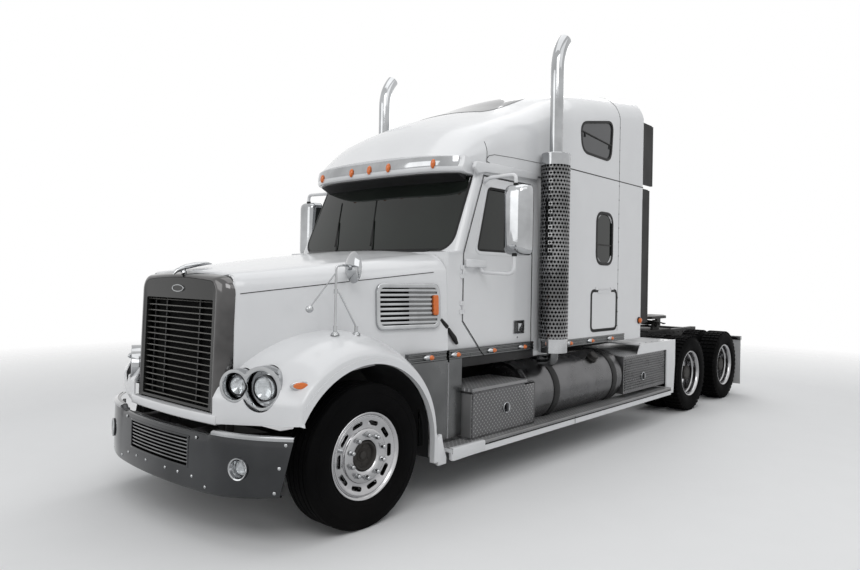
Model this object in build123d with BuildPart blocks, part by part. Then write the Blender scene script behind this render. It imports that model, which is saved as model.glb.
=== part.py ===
from build123d import *
import math
import os

os.makedirs("parts", exist_ok=True)

# Semi truck tractor unit, millimetres. Forward is -Y, the truck's left is +X, up is +Z, the ground is Z = 0.
# The origin is on the ground below the middle of the whole truck.

# ---- driving dimensions: layout ----
FRONT_OVERHANG = 900
FIRST_WHEELBASE = 5800
TANDEM_SPACING = 1320
REAR_OVERHANG = 780
OVERALL_LENGTH = FRONT_OVERHANG + FIRST_WHEELBASE + TANDEM_SPACING + REAR_OVERHANG
AXLE_Y = -OVERALL_LENGTH / 2 + FRONT_OVERHANG
DRIVE_Y = [AXLE_Y + FIRST_WHEELBASE, AXLE_Y + FIRST_WHEELBASE + TANDEM_SPACING]
REAR_Y = OVERALL_LENGTH / 2
BOGIE_Y = (DRIVE_Y[0] + DRIVE_Y[1]) / 2

# ---- driving dimensions: wheels and tyres ----
TYRE_R = 503
TYRE_W = 275
TREAD_W = 236
TYRE_SHOULDER_R = 478
SIDEWALL_R = 395
RIM_R = 286
RIM_FLANGE_R = 302
RIM_W = 234
RIM_WALL = 14
WHEEL_X = 1073
DUAL_SPACING = 338
DISC_T = 22
DISC_DEPTH = 26
HAND_HOLES = 10
HAND_HOLE_R = 27
HAND_HOLE_PCR = 212
HUB_R = 92
HUB_LENGTH = 75
DRUM_R = 205
DRUM_W = 170
SPINDLE_R = 40
SPINDLE_FIT = 0.05

# ---- driving dimensions: frame and running gear ----
RAIL_X = 432
RAIL_FLANGE = 90
RAIL_WEB = 10
RAIL_TOP_Z = 1000
RAIL_H = 270
RAIL_FRONT_Y = AXLE_Y - 640
CROSSMEMBER_T = 70
AXLE_BEAM_H = 110
AXLE_BEAM_W = 90
AXLE_DROP = 110
KINGPIN_X = 875
KINGPIN_R = 24
STEER_ARM_Y = 180
TIE_ROD_R = 20
TIE_BALL_R = 26
SPRING_W = 90
SPRING_T = 60
SPRING_HALF = 560
DIFF_R = 200
HOUSING_R = 75

# ---- driving dimensions: hood ----
HOOD_SKIN = 18
ARCH_R = 640
BELT_Z = 1170
# upper hood sections: y behind the axle, centre top z, shoulder x, shoulder z, side x, side z, foot x, foot z
HOOD_SECTIONS = [
    (-650, 1765, 520, 1742, 600, 1640, 622, 860),
    (120, 1878, 700, 1840, 865, 1722, 905, 1060),
    (925, 1968, 830, 1935, 1048, 1805, 1085, BELT_Z),
]
HOOD_BACK_Y = 925
# fender sections: x, front y, nose z, crown z, back y at hub height, low back y
FENDER_SECTIONS = [
    (590, -792, 930, 1372, 700, 770),
    (960, -680, 930, 1352, 700, 770),
    (1140, -615, 930, 1290, 690, 760),
    (1228, -580, 930, 1215, 675, 745),
]
FENDER_FRONT_Z = 762
FENDER_BACK_Z = 330
CROWN_Y = -10
VALANCE_Z = 752
HOOD_PIVOT = (-815, 620)
HOOD_PIN_R = 12
HOOD_LUG_X = (582, 598)
HOOD_LUG_W = 44
QUARTER_X = 1100
QUARTER_T = 12
QUARTER_Z = 445
SURROUND_X = 578
SURROUND_Z = (812, 1738)
SURROUND_FRONT_Y = (-806, -728)
SURROUND_BACK_Y = -652
GRILLE_X = 466
GRILLE_Z = (850, 1598)
GRILLE_BARS = 20
GRILLE_BAR_H = 17
GRILLE_BAR_D = 30
GRILLE_INSET = 38
LAMP_TURN = 23.2
# headlamps: x, y, z, bezel radius
HEADLAMPS = [(722, -722, 1018, 112), (905, -644, 1010, 150)]
LAMP_DEPTH = 70
VENT_Y = (170, 800)
VENT_Z = (1390, 1672)
VENT_FRAME = 34
VENT_BARS = 8

# ---- driving dimensions: front bumper ----
BUMPER_Z = (310, 738)
BUMPER_T = 14
BUMPER_X = 1222
INTAKE_X = 420
INTAKE_Z = (450, 640)
FOG_X = 850
FOG_Z = 512
FOG_R = 62

# ---- driving dimensions: cab ----
CAB_WALL = 45
# cab plan sections: z, front centre y, front corner y, half width, corner radius
CAB_SECTIONS = [
    (1010, 934, 937, 1056, 30),
    (1958, 934, 937, 1056, 30),
    (1974, 990, 1060, 1054, 70),
    (2660, 1270, 1345, 1022, 70),
    (2742, 1270, 1345, 1020, 70),
]
CAB_BACK_Y = 2468
CAB_FLOOR_Z = 1060
SCREEN_OUTLINE = [(-945, 1990), (945, 1990), (905, 2612), (-905, 2612)]
GLASS_INSET = 16
GLASS_T = 6
WINDOW_CORNER_R = 50
DOOR_GAP = 6
# door and window outlines: y behind the axle, z
DOOR_OUTLINE = [(1145, 1385), (1375, 1140), (2165, 1140), (2165, 2650), (1440, 2650), (1145, 1955)]
DOOR_WINDOW = [(1325, 1985), (2040, 1985), (2040, 2552), (1500, 2552)]
DOOR_REAR_GAP = 12

# ---- driving dimensions: sleeper and roof cap ----
SLEEPER_X = 1090
SLEEPER_Y = (2468, 4460)
SLEEPER_Z = (1060, 2886)
SLEEPER_WALL = 45
SLEEPER_CORNER_R = 26
BULKHEAD_X = 850
CAP_WALL = 40
CAP_FOOT_Z = 2742
# roof cap sections: y behind the axle, side x, side top z, top corner x, top corner z, centre z
CAP_SECTIONS = [
    (1050, 960, 2770, 900, 2790, 2815),
    (1450, 1030, 2870, 850, 3080, 3180),
    (2300, 1062, 3130, 860, 3430, 3540),
    (2950, 1088, 3400, 850, 3700, 3790),
    (4460, 1088, 3720, 800, 3990, 4040),
]
OVAL_WINDOW = (3335, 3690, 1928, 2489)
UPPER_WINDOW = [(3023, 3126), (3631, 3083), (3674, 3535), (2967, 3400)]
LUGGAGE_DOOR = (3231, 3818, 1190, 1641)
LUGGAGE_CORNER_R = 70
EXTENDER_T = 12
EXTENDER_X = 1062
# side extenders: front y, back y, foot z, top z
EXTENDERS = [(4460, 4650, 1230, 2880), (4460, 4740, 2930, 3690)]

# ---- driving dimensions: flank equipment ----
FRONT_BOX_Y = (1125, 1880)
FRONT_BOX_X = (760, 1195)
FRONT_BOX_Z = (414, 805)
BOX_WALL = 12
LID_T = 26
LID_GAP = 6
LID_OVERHANG = 14
TANK_R = 302
TANK_X = 893
TANK_Z = 664
TANK_Y = (1905, 3770)
REAR_BOX_Y = (3810, FIRST_WHEELBASE - 870)
REAR_BOX_Z = (460, 880)
BOARD_Y = (808, FIRST_WHEELBASE - 820)
BOARD_X = (1062, 1265)
BOARD_Z = (322, 410)
STACK_X = 1206
STACK_Y = 2315
STACK_SHIELD_R = 140
STACK_PIPE_R = 64
STACK_Z = (1050, 2950)
STACK_BRACKET_Z = (1300, 1860)
STACK_BEND_Z = 3760
STACK_BEND_R = 480
STACK_BEND_ANGLE = 42
MUDFLAP_GAP = 97
MUDFLAP_T = 10
HANGER_W = 40
HANGER_H = 60
MUDFLAP_X = (620, 1235)
MUDFLAP_Z = (150, 900)

# quarter fairing ahead of the drive tyres: y behind the axle
FAIRING_FRONT_Y = 4120
FAIRING_BACK_Y = FIRST_WHEELBASE - 600
FAIRING_TOP_Z = 1000
FAIRING_T = 14
FAIRING_INSET = 46
BOARD_T = 30
STEP_HANGER_Y = (1200, 1260)

# ---- driving dimensions: fifth wheel ----
PLATE_Y = BOGIE_Y - 60
PLATE_TOP_Z = 1225
PLATE_T = 40
PLATE_X = 455
PLATE_LENGTH = 880
JAW_R = 25.6
PIVOT_Z = 1120
PIVOT_R = 30
PIVOT_FIT = 0.05


AXLE_Z = TYRE_R


def station(y_behind_axle):
    return AXLE_Y + y_behind_axle


def save(part, name):
    part.label = name
    export_step(part, f"parts/{name}.step")


def front_plane(y):
    """Sketch plane across the truck: local x is X, local y is Z."""
    return Plane.XZ.offset(-y)


def side_plane(x):
    """Sketch plane along the truck: local x is the distance behind the front axle, local y is Z."""
    return Plane((x, AXLE_Y, 0), x_dir=(0, 1, 0), z_dir=(1, 0, 0))


def outline_face(plane, points, corner_r=0):
    with BuildSketch(plane, mode=Mode.PRIVATE) as outline:
        with BuildLine():
            Polyline(points, close=True)
        make_face()
        if corner_r:
            fillet(outline.vertices(), corner_r)
    return outline.sketch


def prism(plane, points, depth, corner_r=0, mode=Mode.ADD):
    """Extrude an outline from its plane along the plane's normal."""
    extrude(outline_face(plane, points, corner_r), amount=depth, mode=mode)


def block(x, y, z, mode=Mode.ADD):
    """Box between two limits on each axis."""
    with Locations(((x[0] + x[1]) / 2, (y[0] + y[1]) / 2, (z[0] + z[1]) / 2)):
        Box(abs(x[1] - x[0]), abs(y[1] - y[0]), abs(z[1] - z[0]), mode=mode)


def rod_x(x, y, z, radius, mode=Mode.ADD):
    """Cylinder along X between two limits."""
    with Locations(Location(((x[0] + x[1]) / 2, y, z), (0, 90, 0))):
        Cylinder(radius, abs(x[1] - x[0]), mode=mode)


def rod_y(x, y, z, radius, mode=Mode.ADD):
    """Cylinder along Y between two stations."""
    middle = (y[0] + y[1]) / 2
    with Locations(Location((x, station(middle), z), (90, 0, 0))):
        Cylinder(radius, y[1] - y[0], mode=mode)


def spans(y):
    return (station(y[0]), station(y[1]))


def rod_z(x, y, z, radius, mode=Mode.ADD):
    """Cylinder along Z between two limits."""
    with Locations((x, y, (z[0] + z[1]) / 2)):
        Cylinder(radius, z[1] - z[0], mode=mode)


def turned(y, points, mode=Mode.ADD):
    """Revolve an outline of (radius, x) about the axle line at y."""
    plane = Plane((0, y, AXLE_Z), x_dir=(1, 0, 0), z_dir=(0, -1, 0))
    profile = outline_face(plane, [(x, r) for r, x in points])
    revolve(profile, axis=Axis((0, y, AXLE_Z), (1, 0, 0)), mode=mode)


# ================= frame, axles and running gear =================

def rail_section(side):
    low = RAIL_TOP_Z - RAIL_H
    inner = RAIL_X - RAIL_FLANGE
    web = RAIL_X - RAIL_WEB
    return [
        (side * RAIL_X, RAIL_TOP_Z),
        (side * RAIL_X, low),
        (side * inner, low),
        (side * inner, low + RAIL_WEB),
        (side * web, low + RAIL_WEB),
        (side * web, RAIL_TOP_Z - RAIL_WEB),
        (side * inner, RAIL_TOP_Z - RAIL_WEB),
        (side * inner, RAIL_TOP_Z),
    ]


RAIL_LOW_Z = RAIL_TOP_Z - RAIL_H
CROSSMEMBER_Y = [RAIL_FRONT_Y + 60, station(2300), station(3600), station(4800), BOGIE_Y, REAR_Y - 60]

with BuildPart() as frame_rails:
    for side in (-1, 1):
        prism(front_plane(RAIL_FRONT_Y), rail_section(side), RAIL_FRONT_Y - REAR_Y)
    for y in CROSSMEMBER_Y:
        half = CROSSMEMBER_T / 2
        web = RAIL_X - RAIL_WEB
        block((-web, web), (y - half, y + half), (RAIL_LOW_Z + 2 * RAIL_WEB, RAIL_TOP_Z - 2 * RAIL_WEB))
save(frame_rails.part, "frame_rails")

BEAM_LOW_Z = AXLE_Z - AXLE_DROP
BEAM_TOP_Z = BEAM_LOW_Z + AXLE_BEAM_H
BEAM_EYE = (AXLE_Z - AXLE_BEAM_H / 2, AXLE_Z + AXLE_BEAM_H / 2)
SPRING_SEAT_X = 600
SPRING_RISE = 90
SPRING_X = RAIL_X - SPRING_W / 2
HANGER_T = 60
EYE_R = KINGPIN_R + 21

with BuildPart() as front_axle:
    beam = [
        (-SPRING_SEAT_X, BEAM_LOW_Z),
        (SPRING_SEAT_X, BEAM_LOW_Z),
        (KINGPIN_X - EYE_R, BEAM_EYE[0]),
        (KINGPIN_X, BEAM_EYE[0]),
        (KINGPIN_X, BEAM_EYE[1]),
        (KINGPIN_X - EYE_R, BEAM_EYE[1]),
        (SPRING_SEAT_X, BEAM_TOP_Z),
        (-SPRING_SEAT_X, BEAM_TOP_Z),
        (-KINGPIN_X + EYE_R, BEAM_EYE[1]),
        (-KINGPIN_X, BEAM_EYE[1]),
        (-KINGPIN_X, BEAM_EYE[0]),
        (-KINGPIN_X + EYE_R, BEAM_EYE[0]),
    ]
    prism(front_plane(AXLE_Y + AXLE_BEAM_W / 2), beam, AXLE_BEAM_W)
    for side in (-1, 1):
        rod_z(side * KINGPIN_X, AXLE_Y, BEAM_EYE, EYE_R)
    for side in (-1, 1):
        rod_z(side * KINGPIN_X, AXLE_Y, BEAM_EYE, KINGPIN_R + SPINDLE_FIT, mode=Mode.SUBTRACT)
save(front_axle.part, "front_axle")

SPRING_END_Z = BEAM_TOP_Z + SPRING_RISE
ARM_LENGTH = 560
ARM_T = 50
SEAT_Z = AXLE_Z + HOUSING_R

with BuildPart() as suspension:
    for side in (-1, 1):
        x = (side * (SPRING_X - SPRING_W / 2), side * (SPRING_X + SPRING_W / 2))
        with BuildSketch(side_plane(side * SPRING_X - SPRING_W / 2)):
            with BuildLine():
                ThreePointArc((-SPRING_HALF, SPRING_END_Z), (0, BEAM_TOP_Z), (SPRING_HALF, SPRING_END_Z))
                Line((SPRING_HALF, SPRING_END_Z), (SPRING_HALF, SPRING_END_Z + SPRING_T / 2))
                ThreePointArc(
                    (SPRING_HALF, SPRING_END_Z + SPRING_T / 2),
                    (0, BEAM_TOP_Z + SPRING_T),
                    (-SPRING_HALF, SPRING_END_Z + SPRING_T / 2),
                )
                Line((-SPRING_HALF, SPRING_END_Z + SPRING_T / 2), (-SPRING_HALF, SPRING_END_Z))
            make_face()
        extrude(amount=SPRING_W)
        for end in (-1, 1):
            root = AXLE_Y + end * (SPRING_HALF - 8)
            block(x, (root, root + end * HANGER_T), (SPRING_END_Z, RAIL_LOW_Z))
        for y in DRIVE_Y:
            block(x, (y - 75, y + 75), (SEAT_Z, RAIL_LOW_Z))
            block(x, (y - ARM_LENGTH, y), (SEAT_Z, SEAT_Z + ARM_T))
            block(x, (y - ARM_LENGTH - 40, y - ARM_LENGTH + 40), (SEAT_Z, RAIL_LOW_Z))
save(suspension.part, "suspension")

HOUSING_X = 520
DUAL_SPINDLE_X = 1100
with BuildPart() as drive_axles:
    for y in DRIVE_Y:
        half_axle = [
            (0, 0),
            (0, DUAL_SPINDLE_X),
            (SPINDLE_R, DUAL_SPINDLE_X),
            (SPINDLE_R, HOUSING_X),
            (HOUSING_R, HOUSING_X),
            (HOUSING_R, DIFF_R + 60),
            (DIFF_R, 110),
            (DIFF_R, 0),
        ]
        turned(y, half_axle)
        turned(y, [(r, -x) for r, x in half_axle])
save(drive_axles.part, "drive_axles")


# ================= steering knuckles and tie rod =================

YOKE_GAP = 2
YOKE_H = 40
YOKE_W = 84
FLANGE_X = (KINGPIN_X + 34, KINGPIN_X + 50)
SPINDLE_END_X = WHEEL_X + 60
PIN_R = 9
TIE_Z = BEAM_EYE[0] - YOKE_GAP - YOKE_H - TIE_BALL_R - 2

for side, name in ((1, "steering_knuckle_left"), (-1, "steering_knuckle_right")):
    with BuildPart() as knuckle:
        x = side * KINGPIN_X
        low_yoke = (BEAM_EYE[0] - YOKE_GAP - YOKE_H, BEAM_EYE[0] - YOKE_GAP)
        high_yoke = (BEAM_EYE[1] + YOKE_GAP, BEAM_EYE[1] + YOKE_GAP + YOKE_H)
        rod_z(x, AXLE_Y, (low_yoke[0], high_yoke[1]), KINGPIN_R)
        for yoke in (low_yoke, high_yoke):
            rod_z(x, AXLE_Y, yoke, YOKE_W / 2)
            block((x, side * FLANGE_X[1]), (AXLE_Y - YOKE_W / 2, AXLE_Y + YOKE_W / 2), yoke)
        flange_x = (side * (KINGPIN_X + EYE_R + 3), side * (KINGPIN_X + EYE_R + 17))
        block(flange_x, (AXLE_Y - YOKE_W / 2, AXLE_Y + YOKE_W / 2), (low_yoke[0], high_yoke[1]))
        rod_x((flange_x[0], side * SPINDLE_END_X), AXLE_Y, AXLE_Z, SPINDLE_R)
        block((x - 23, x + 23), (AXLE_Y, AXLE_Y + STEER_ARM_Y + 23), (low_yoke[0], low_yoke[0] + 24))
        rod_z(x, AXLE_Y + STEER_ARM_Y, (TIE_Z - TIE_BALL_R, low_yoke[0] + 24), PIN_R)
    save(knuckle.part, name)

with BuildPart() as tie_rod:
    y = AXLE_Y + STEER_ARM_Y
    rod_x((-KINGPIN_X, KINGPIN_X), y, TIE_Z, TIE_ROD_R)
    for side in (-1, 1):
        rod_z(side * KINGPIN_X, y, (TIE_Z - TIE_BALL_R, TIE_Z + TIE_BALL_R), TIE_BALL_R)
    for side, clearance in ((1, SPINDLE_FIT), (-1, 2)):
        hole = (TIE_Z - 2 * TIE_BALL_R, TIE_Z + 2 * TIE_BALL_R)
        rod_z(side * KINGPIN_X, y, hole, PIN_R + clearance, mode=Mode.SUBTRACT)
save(tie_rod.part, "tie_rod")


# ================= wheels and tyres =================

BEAD_FIT = 1


def tyre_profile(x):
    bead = RIM_R + BEAD_FIT
    return [
        (bead, x - RIM_W / 2 + 18),
        (RIM_FLANGE_R + 2, x - RIM_W / 2 + 11),
        (SIDEWALL_R, x - TYRE_W / 2),
        (TYRE_SHOULDER_R, x - TREAD_W / 2 - 6),
        (TYRE_R, x - TREAD_W / 2 + 12),
        (TYRE_R, x + TREAD_W / 2 - 12),
        (TYRE_SHOULDER_R, x + TREAD_W / 2 + 6),
        (SIDEWALL_R, x + TYRE_W / 2),
        (RIM_FLANGE_R + 2, x + RIM_W / 2 - 11),
        (bead, x + RIM_W / 2 - 18),
    ]


def rim_profile(x):
    half = RIM_W / 2
    well = RIM_R - 26
    return [
        (RIM_FLANGE_R, x - half),
        (RIM_FLANGE_R, x - half + 9),
        (RIM_R, x - half + 15),
        (RIM_R, x - half + 60),
        (well, x - half + 85),
        (well, x + half - 85),
        (RIM_R, x + half - 60),
        (RIM_R, x + half - 15),
        (RIM_FLANGE_R, x + half - 9),
        (RIM_FLANGE_R, x + half),
        (RIM_R - RIM_WALL, x + half - 14),
        (RIM_R - RIM_WALL, x + half - 58),
        (well - RIM_WALL, x + half - 85),
        (well - RIM_WALL, x - half + 85),
        (RIM_R - RIM_WALL, x - half + 58),
        (RIM_R - RIM_WALL, x - half + 14),
    ]


def hand_holes(x, y):
    with Locations(Location((x, y, AXLE_Z), (0, 90, 0))):
        with PolarLocations(HAND_HOLE_PCR, HAND_HOLES):
            Cylinder(HAND_HOLE_R, 3 * DISC_T, mode=Mode.SUBTRACT)


for side, end in ((1, "left"), (-1, "right")):
    rim_x = side * WHEEL_X
    disc_x = WHEEL_X + RIM_W / 2 - DISC_DEPTH
    disc_in_x = disc_x - DISC_T
    with BuildPart() as front_wheel:
        turned(AXLE_Y, rim_profile(rim_x))
        rod_x((side * disc_in_x, side * disc_x), AXLE_Y, AXLE_Z, RIM_R - RIM_WALL / 2)
        hand_holes(side * (disc_x - DISC_T / 2), AXLE_Y)
        rod_x((side * disc_in_x, side * (disc_x + HUB_LENGTH)), AXLE_Y, AXLE_Z, HUB_R)
        rod_x((side * (disc_in_x - DRUM_W + 30), side * disc_in_x), AXLE_Y, AXLE_Z, DRUM_R)
        bore_x = (side * (KINGPIN_X - 60), side * (SPINDLE_END_X + 4))
        rod_x(bore_x, AXLE_Y, AXLE_Z, SPINDLE_R + SPINDLE_FIT, mode=Mode.SUBTRACT)
    save(front_wheel.part, f"front_wheel_{end}")
    with BuildPart() as front_tyre:
        turned(AXLE_Y, tyre_profile(rim_x))
    save(front_tyre.part, f"front_tyre_{end}")

for axle, y in enumerate(DRIVE_Y, start=1):
    for side, end in ((1, "left"), (-1, "right")):
        outer_x = WHEEL_X
        inner_x = WHEEL_X - DUAL_SPACING
        mid_x = (outer_x + inner_x) / 2
        with BuildPart() as dual_wheels:
            turned(y, rim_profile(side * outer_x))
            turned(y, rim_profile(side * inner_x))
            spacer = DUAL_SPACING / 2 - RIM_W / 2 + 12
            rod_x((side * (mid_x - spacer), side * (mid_x + spacer)), y, AXLE_Z, RIM_R - RIM_WALL - 1)
            rod_x((side * (mid_x - spacer), side * (mid_x + spacer)), y, AXLE_Z, RIM_FLANGE_R - 4)
            hand_holes(side * mid_x, y)
            rod_x((side * mid_x, side * (outer_x + RIM_W / 2 - 30)), y, AXLE_Z, HUB_R)
            rod_x((side * (inner_x - 60), side * mid_x), y, AXLE_Z, DRUM_R)
            bore = (side * (HOUSING_X + 20), side * (DUAL_SPINDLE_X + 4))
            rod_x(bore, y, AXLE_Z, SPINDLE_R + SPINDLE_FIT, mode=Mode.SUBTRACT)
        save(dual_wheels.part, f"dual_wheels_{axle}_{end}")
        with BuildPart() as dual_tyres:
            turned(y, tyre_profile(side * outer_x))
            turned(y, tyre_profile(side * inner_x))
        save(dual_tyres.part, f"dual_tyres_{axle}_{end}")


# ================= engine, radiator, fifth wheel =================

ENGINE_X = 300
ENGINE_Y = (-100, 880)
ENGINE_Z = (RAIL_LOW_Z + 60, 1560)
ENGINE_MOUNT_Y = (300, 400)
ENGINE_MOUNT_Z = (RAIL_LOW_Z + 100, RAIL_LOW_Z + 180)
RADIATOR_X = 440
RADIATOR_Y = (-440, -320)
RADIATOR_TOP_Z = 1600

with BuildPart() as engine_block:
    block((-ENGINE_X, ENGINE_X), spans(ENGINE_Y), ENGINE_Z)
    mount_x = RAIL_X - RAIL_WEB
    block((-mount_x, mount_x), spans(ENGINE_MOUNT_Y), ENGINE_MOUNT_Z)
save(engine_block.part, "engine_block")

with BuildPart() as radiator:
    block((-RADIATOR_X, RADIATOR_X), spans(RADIATOR_Y), (RAIL_TOP_Z, RADIATOR_TOP_Z))
save(radiator.part, "radiator")

BASE_REACH = 400
BASE_T = 20
EAR_X = 385
EAR_T = 40
EAR_R = 45
PIVOT_REACH = 460
PLATE_FLANK = 250

with BuildPart() as fifth_wheel_base:
    base_x = RAIL_X + 38
    base_y = (PLATE_Y - BASE_REACH, PLATE_Y + BASE_REACH)
    block((-base_x, base_x), base_y, (RAIL_TOP_Z, RAIL_TOP_Z + BASE_T))
    for side in (-1, 1):
        ear = [
            (PLATE_Y - AXLE_Y - 120, RAIL_TOP_Z + BASE_T),
            (PLATE_Y - AXLE_Y + 120, RAIL_TOP_Z + BASE_T),
            (PLATE_Y - AXLE_Y + EAR_R, PIVOT_Z + EAR_R),
            (PLATE_Y - AXLE_Y - EAR_R, PIVOT_Z + EAR_R),
        ]
        prism(side_plane(side * EAR_X - EAR_T / 2), ear, EAR_T)
    rod_x((-PIVOT_REACH, PIVOT_REACH), PLATE_Y, PIVOT_Z, PIVOT_R)
save(fifth_wheel_base.part, "fifth_wheel_base")

with BuildPart() as fifth_wheel_plate:
    plate = [
        (-PLATE_X, -PLATE_FLANK),
        (-PLATE_X + 150, -PLATE_LENGTH / 2),
        (PLATE_X - 150, -PLATE_LENGTH / 2),
        (PLATE_X, -PLATE_FLANK),
        (PLATE_X, PLATE_FLANK),
        (PLATE_X - 130, PLATE_LENGTH / 2),
        (110, PLATE_LENGTH / 2),
        (JAW_R, 110),
        (JAW_R, 0),
        (-JAW_R, 0),
        (-JAW_R, 110),
        (-110, PLATE_LENGTH / 2),
        (-PLATE_X + 130, PLATE_LENGTH / 2),
        (-PLATE_X, PLATE_FLANK),
    ]
    prism(Plane((0, PLATE_Y, PLATE_TOP_Z - PLATE_T)), plate, PLATE_T)
    rod_z(0, PLATE_Y, (PLATE_TOP_Z - PLATE_T, PLATE_TOP_Z), JAW_R, mode=Mode.SUBTRACT)
    for side in (-1, 1):
        bracket_x = (side * 415, side * 450)
        block(bracket_x, (PLATE_Y - 60, PLATE_Y + 60), (PIVOT_Z - 55, PLATE_TOP_Z - PLATE_T))
    rod_x((-PIVOT_REACH - 20, PIVOT_REACH + 20), PLATE_Y, PIVOT_Z, PIVOT_R + PIVOT_FIT, mode=Mode.SUBTRACT)
save(fifth_wheel_plate.part, "fifth_wheel_plate")


# ================= hood =================

CORNER_SWELL = 0.16


def dome_face(y, half_width, foot_z, side_x, side_z, corner_x, corner_z, centre_z, skin=0):
    """Closed section across the truck: flat foot, straight sides, rounded corners and a crowned top."""
    across = side_x - corner_x
    rise = corner_z - side_z
    swell_x = (side_x + corner_x) / 2 + CORNER_SWELL * rise - skin
    swell_z = (side_z + corner_z) / 2 + CORNER_SWELL * across - skin
    half_width = half_width - skin
    side_x = side_x - skin
    corner_z = corner_z - skin
    with BuildSketch(front_plane(station(y)), mode=Mode.PRIVATE) as section:
        with BuildLine():
            Line((-half_width, foot_z), (half_width, foot_z))
            Line((half_width, foot_z), (side_x, side_z))
            ThreePointArc((side_x, side_z), (swell_x, swell_z), (corner_x, corner_z))
            ThreePointArc((corner_x, corner_z), (0, centre_z - skin), (-corner_x, corner_z))
            ThreePointArc((-corner_x, corner_z), (-swell_x, swell_z), (-side_x, side_z))
            Line((-side_x, side_z), (-half_width, foot_z))
        make_face()
    return section.sketch


def hood_face(row, skin=0):
    y, centre_z, shoulder_x, shoulder_z, side_x, side_z, foot_x, foot_z = row
    foot_z = foot_z - 60 if skin else foot_z
    return dome_face(y, foot_x, foot_z, side_x, side_z, shoulder_x, shoulder_z, centre_z, skin)


def fender_face(row, side, skin=0):
    x, front_y, nose_z, crown_z, back_y, low_y = row
    front_y = front_y + skin
    back_y = back_y - skin
    low_y = low_y - skin
    crown_z = crown_z - skin
    drop = 60 if skin else 0
    hip_z = AXLE_Z + 60
    swell = (front_y * 0.60 + CROWN_Y * 0.40, nose_z + (crown_z - nose_z) * 0.74)
    turn = (CROWN_Y + (back_y - CROWN_Y) * 0.76, hip_z + (crown_z - hip_z) * 0.64)
    with BuildSketch(side_plane(side * x), mode=Mode.PRIVATE) as section:
        with BuildLine():
            Line((front_y, FENDER_FRONT_Z - drop), (front_y, nose_z))
            ThreePointArc((front_y, nose_z), swell, (CROWN_Y, crown_z))
            ThreePointArc((CROWN_Y, crown_z), turn, (back_y, hip_z))
            Line((back_y, hip_z), (low_y, FENDER_BACK_Z - drop))
            Line((low_y, FENDER_BACK_Z - drop), (front_y, FENDER_FRONT_Z - drop))
        make_face()
    return section.sketch


def inner_fender_rows():
    rows = []
    for x, *rest in FENDER_SECTIONS:
        rows.append((min(x, FENDER_SECTIONS[-1][0] - HOOD_SKIN), *rest))
    rows[-2] = (rows[-2][0] - HOOD_SKIN, *rows[-2][1:])
    return rows


OUTER_FENDER_X = FENDER_SECTIONS[-1][0]
VENT_W = VENT_Y[1] - VENT_Y[0]
VENT_H = VENT_Z[1] - VENT_Z[0]
VENT_CORNER_R = 60
VENT_DEPTH = 44
VENT_BAR_H = 16
VENT_X = 984
LAMP_FIT = 0.3


def lamp_plane(side, x, y, z):
    """Headlamp face: turned outward from straight ahead by LAMP_TURN."""
    turn = math.radians(LAMP_TURN)
    return Plane((side * x, station(y), z), z_dir=(side * math.sin(turn), -math.cos(turn), 0))


def vent_plane(side):
    """Vent face: follows the hood side's taper, local x along the truck."""
    mid, back = HOOD_SECTIONS[1], HOOD_SECTIONS[2]
    turn = math.atan2(back[4] - mid[4], back[0] - mid[0])
    centre = (side * VENT_X, station((VENT_Y[0] + VENT_Y[1]) / 2), (VENT_Z[0] + VENT_Z[1]) / 2)
    along = (side * math.sin(turn), math.cos(turn), 0)
    outward = (side * math.cos(turn), -math.sin(turn), 0)
    return Plane(centre, x_dir=along, z_dir=outward)


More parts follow.
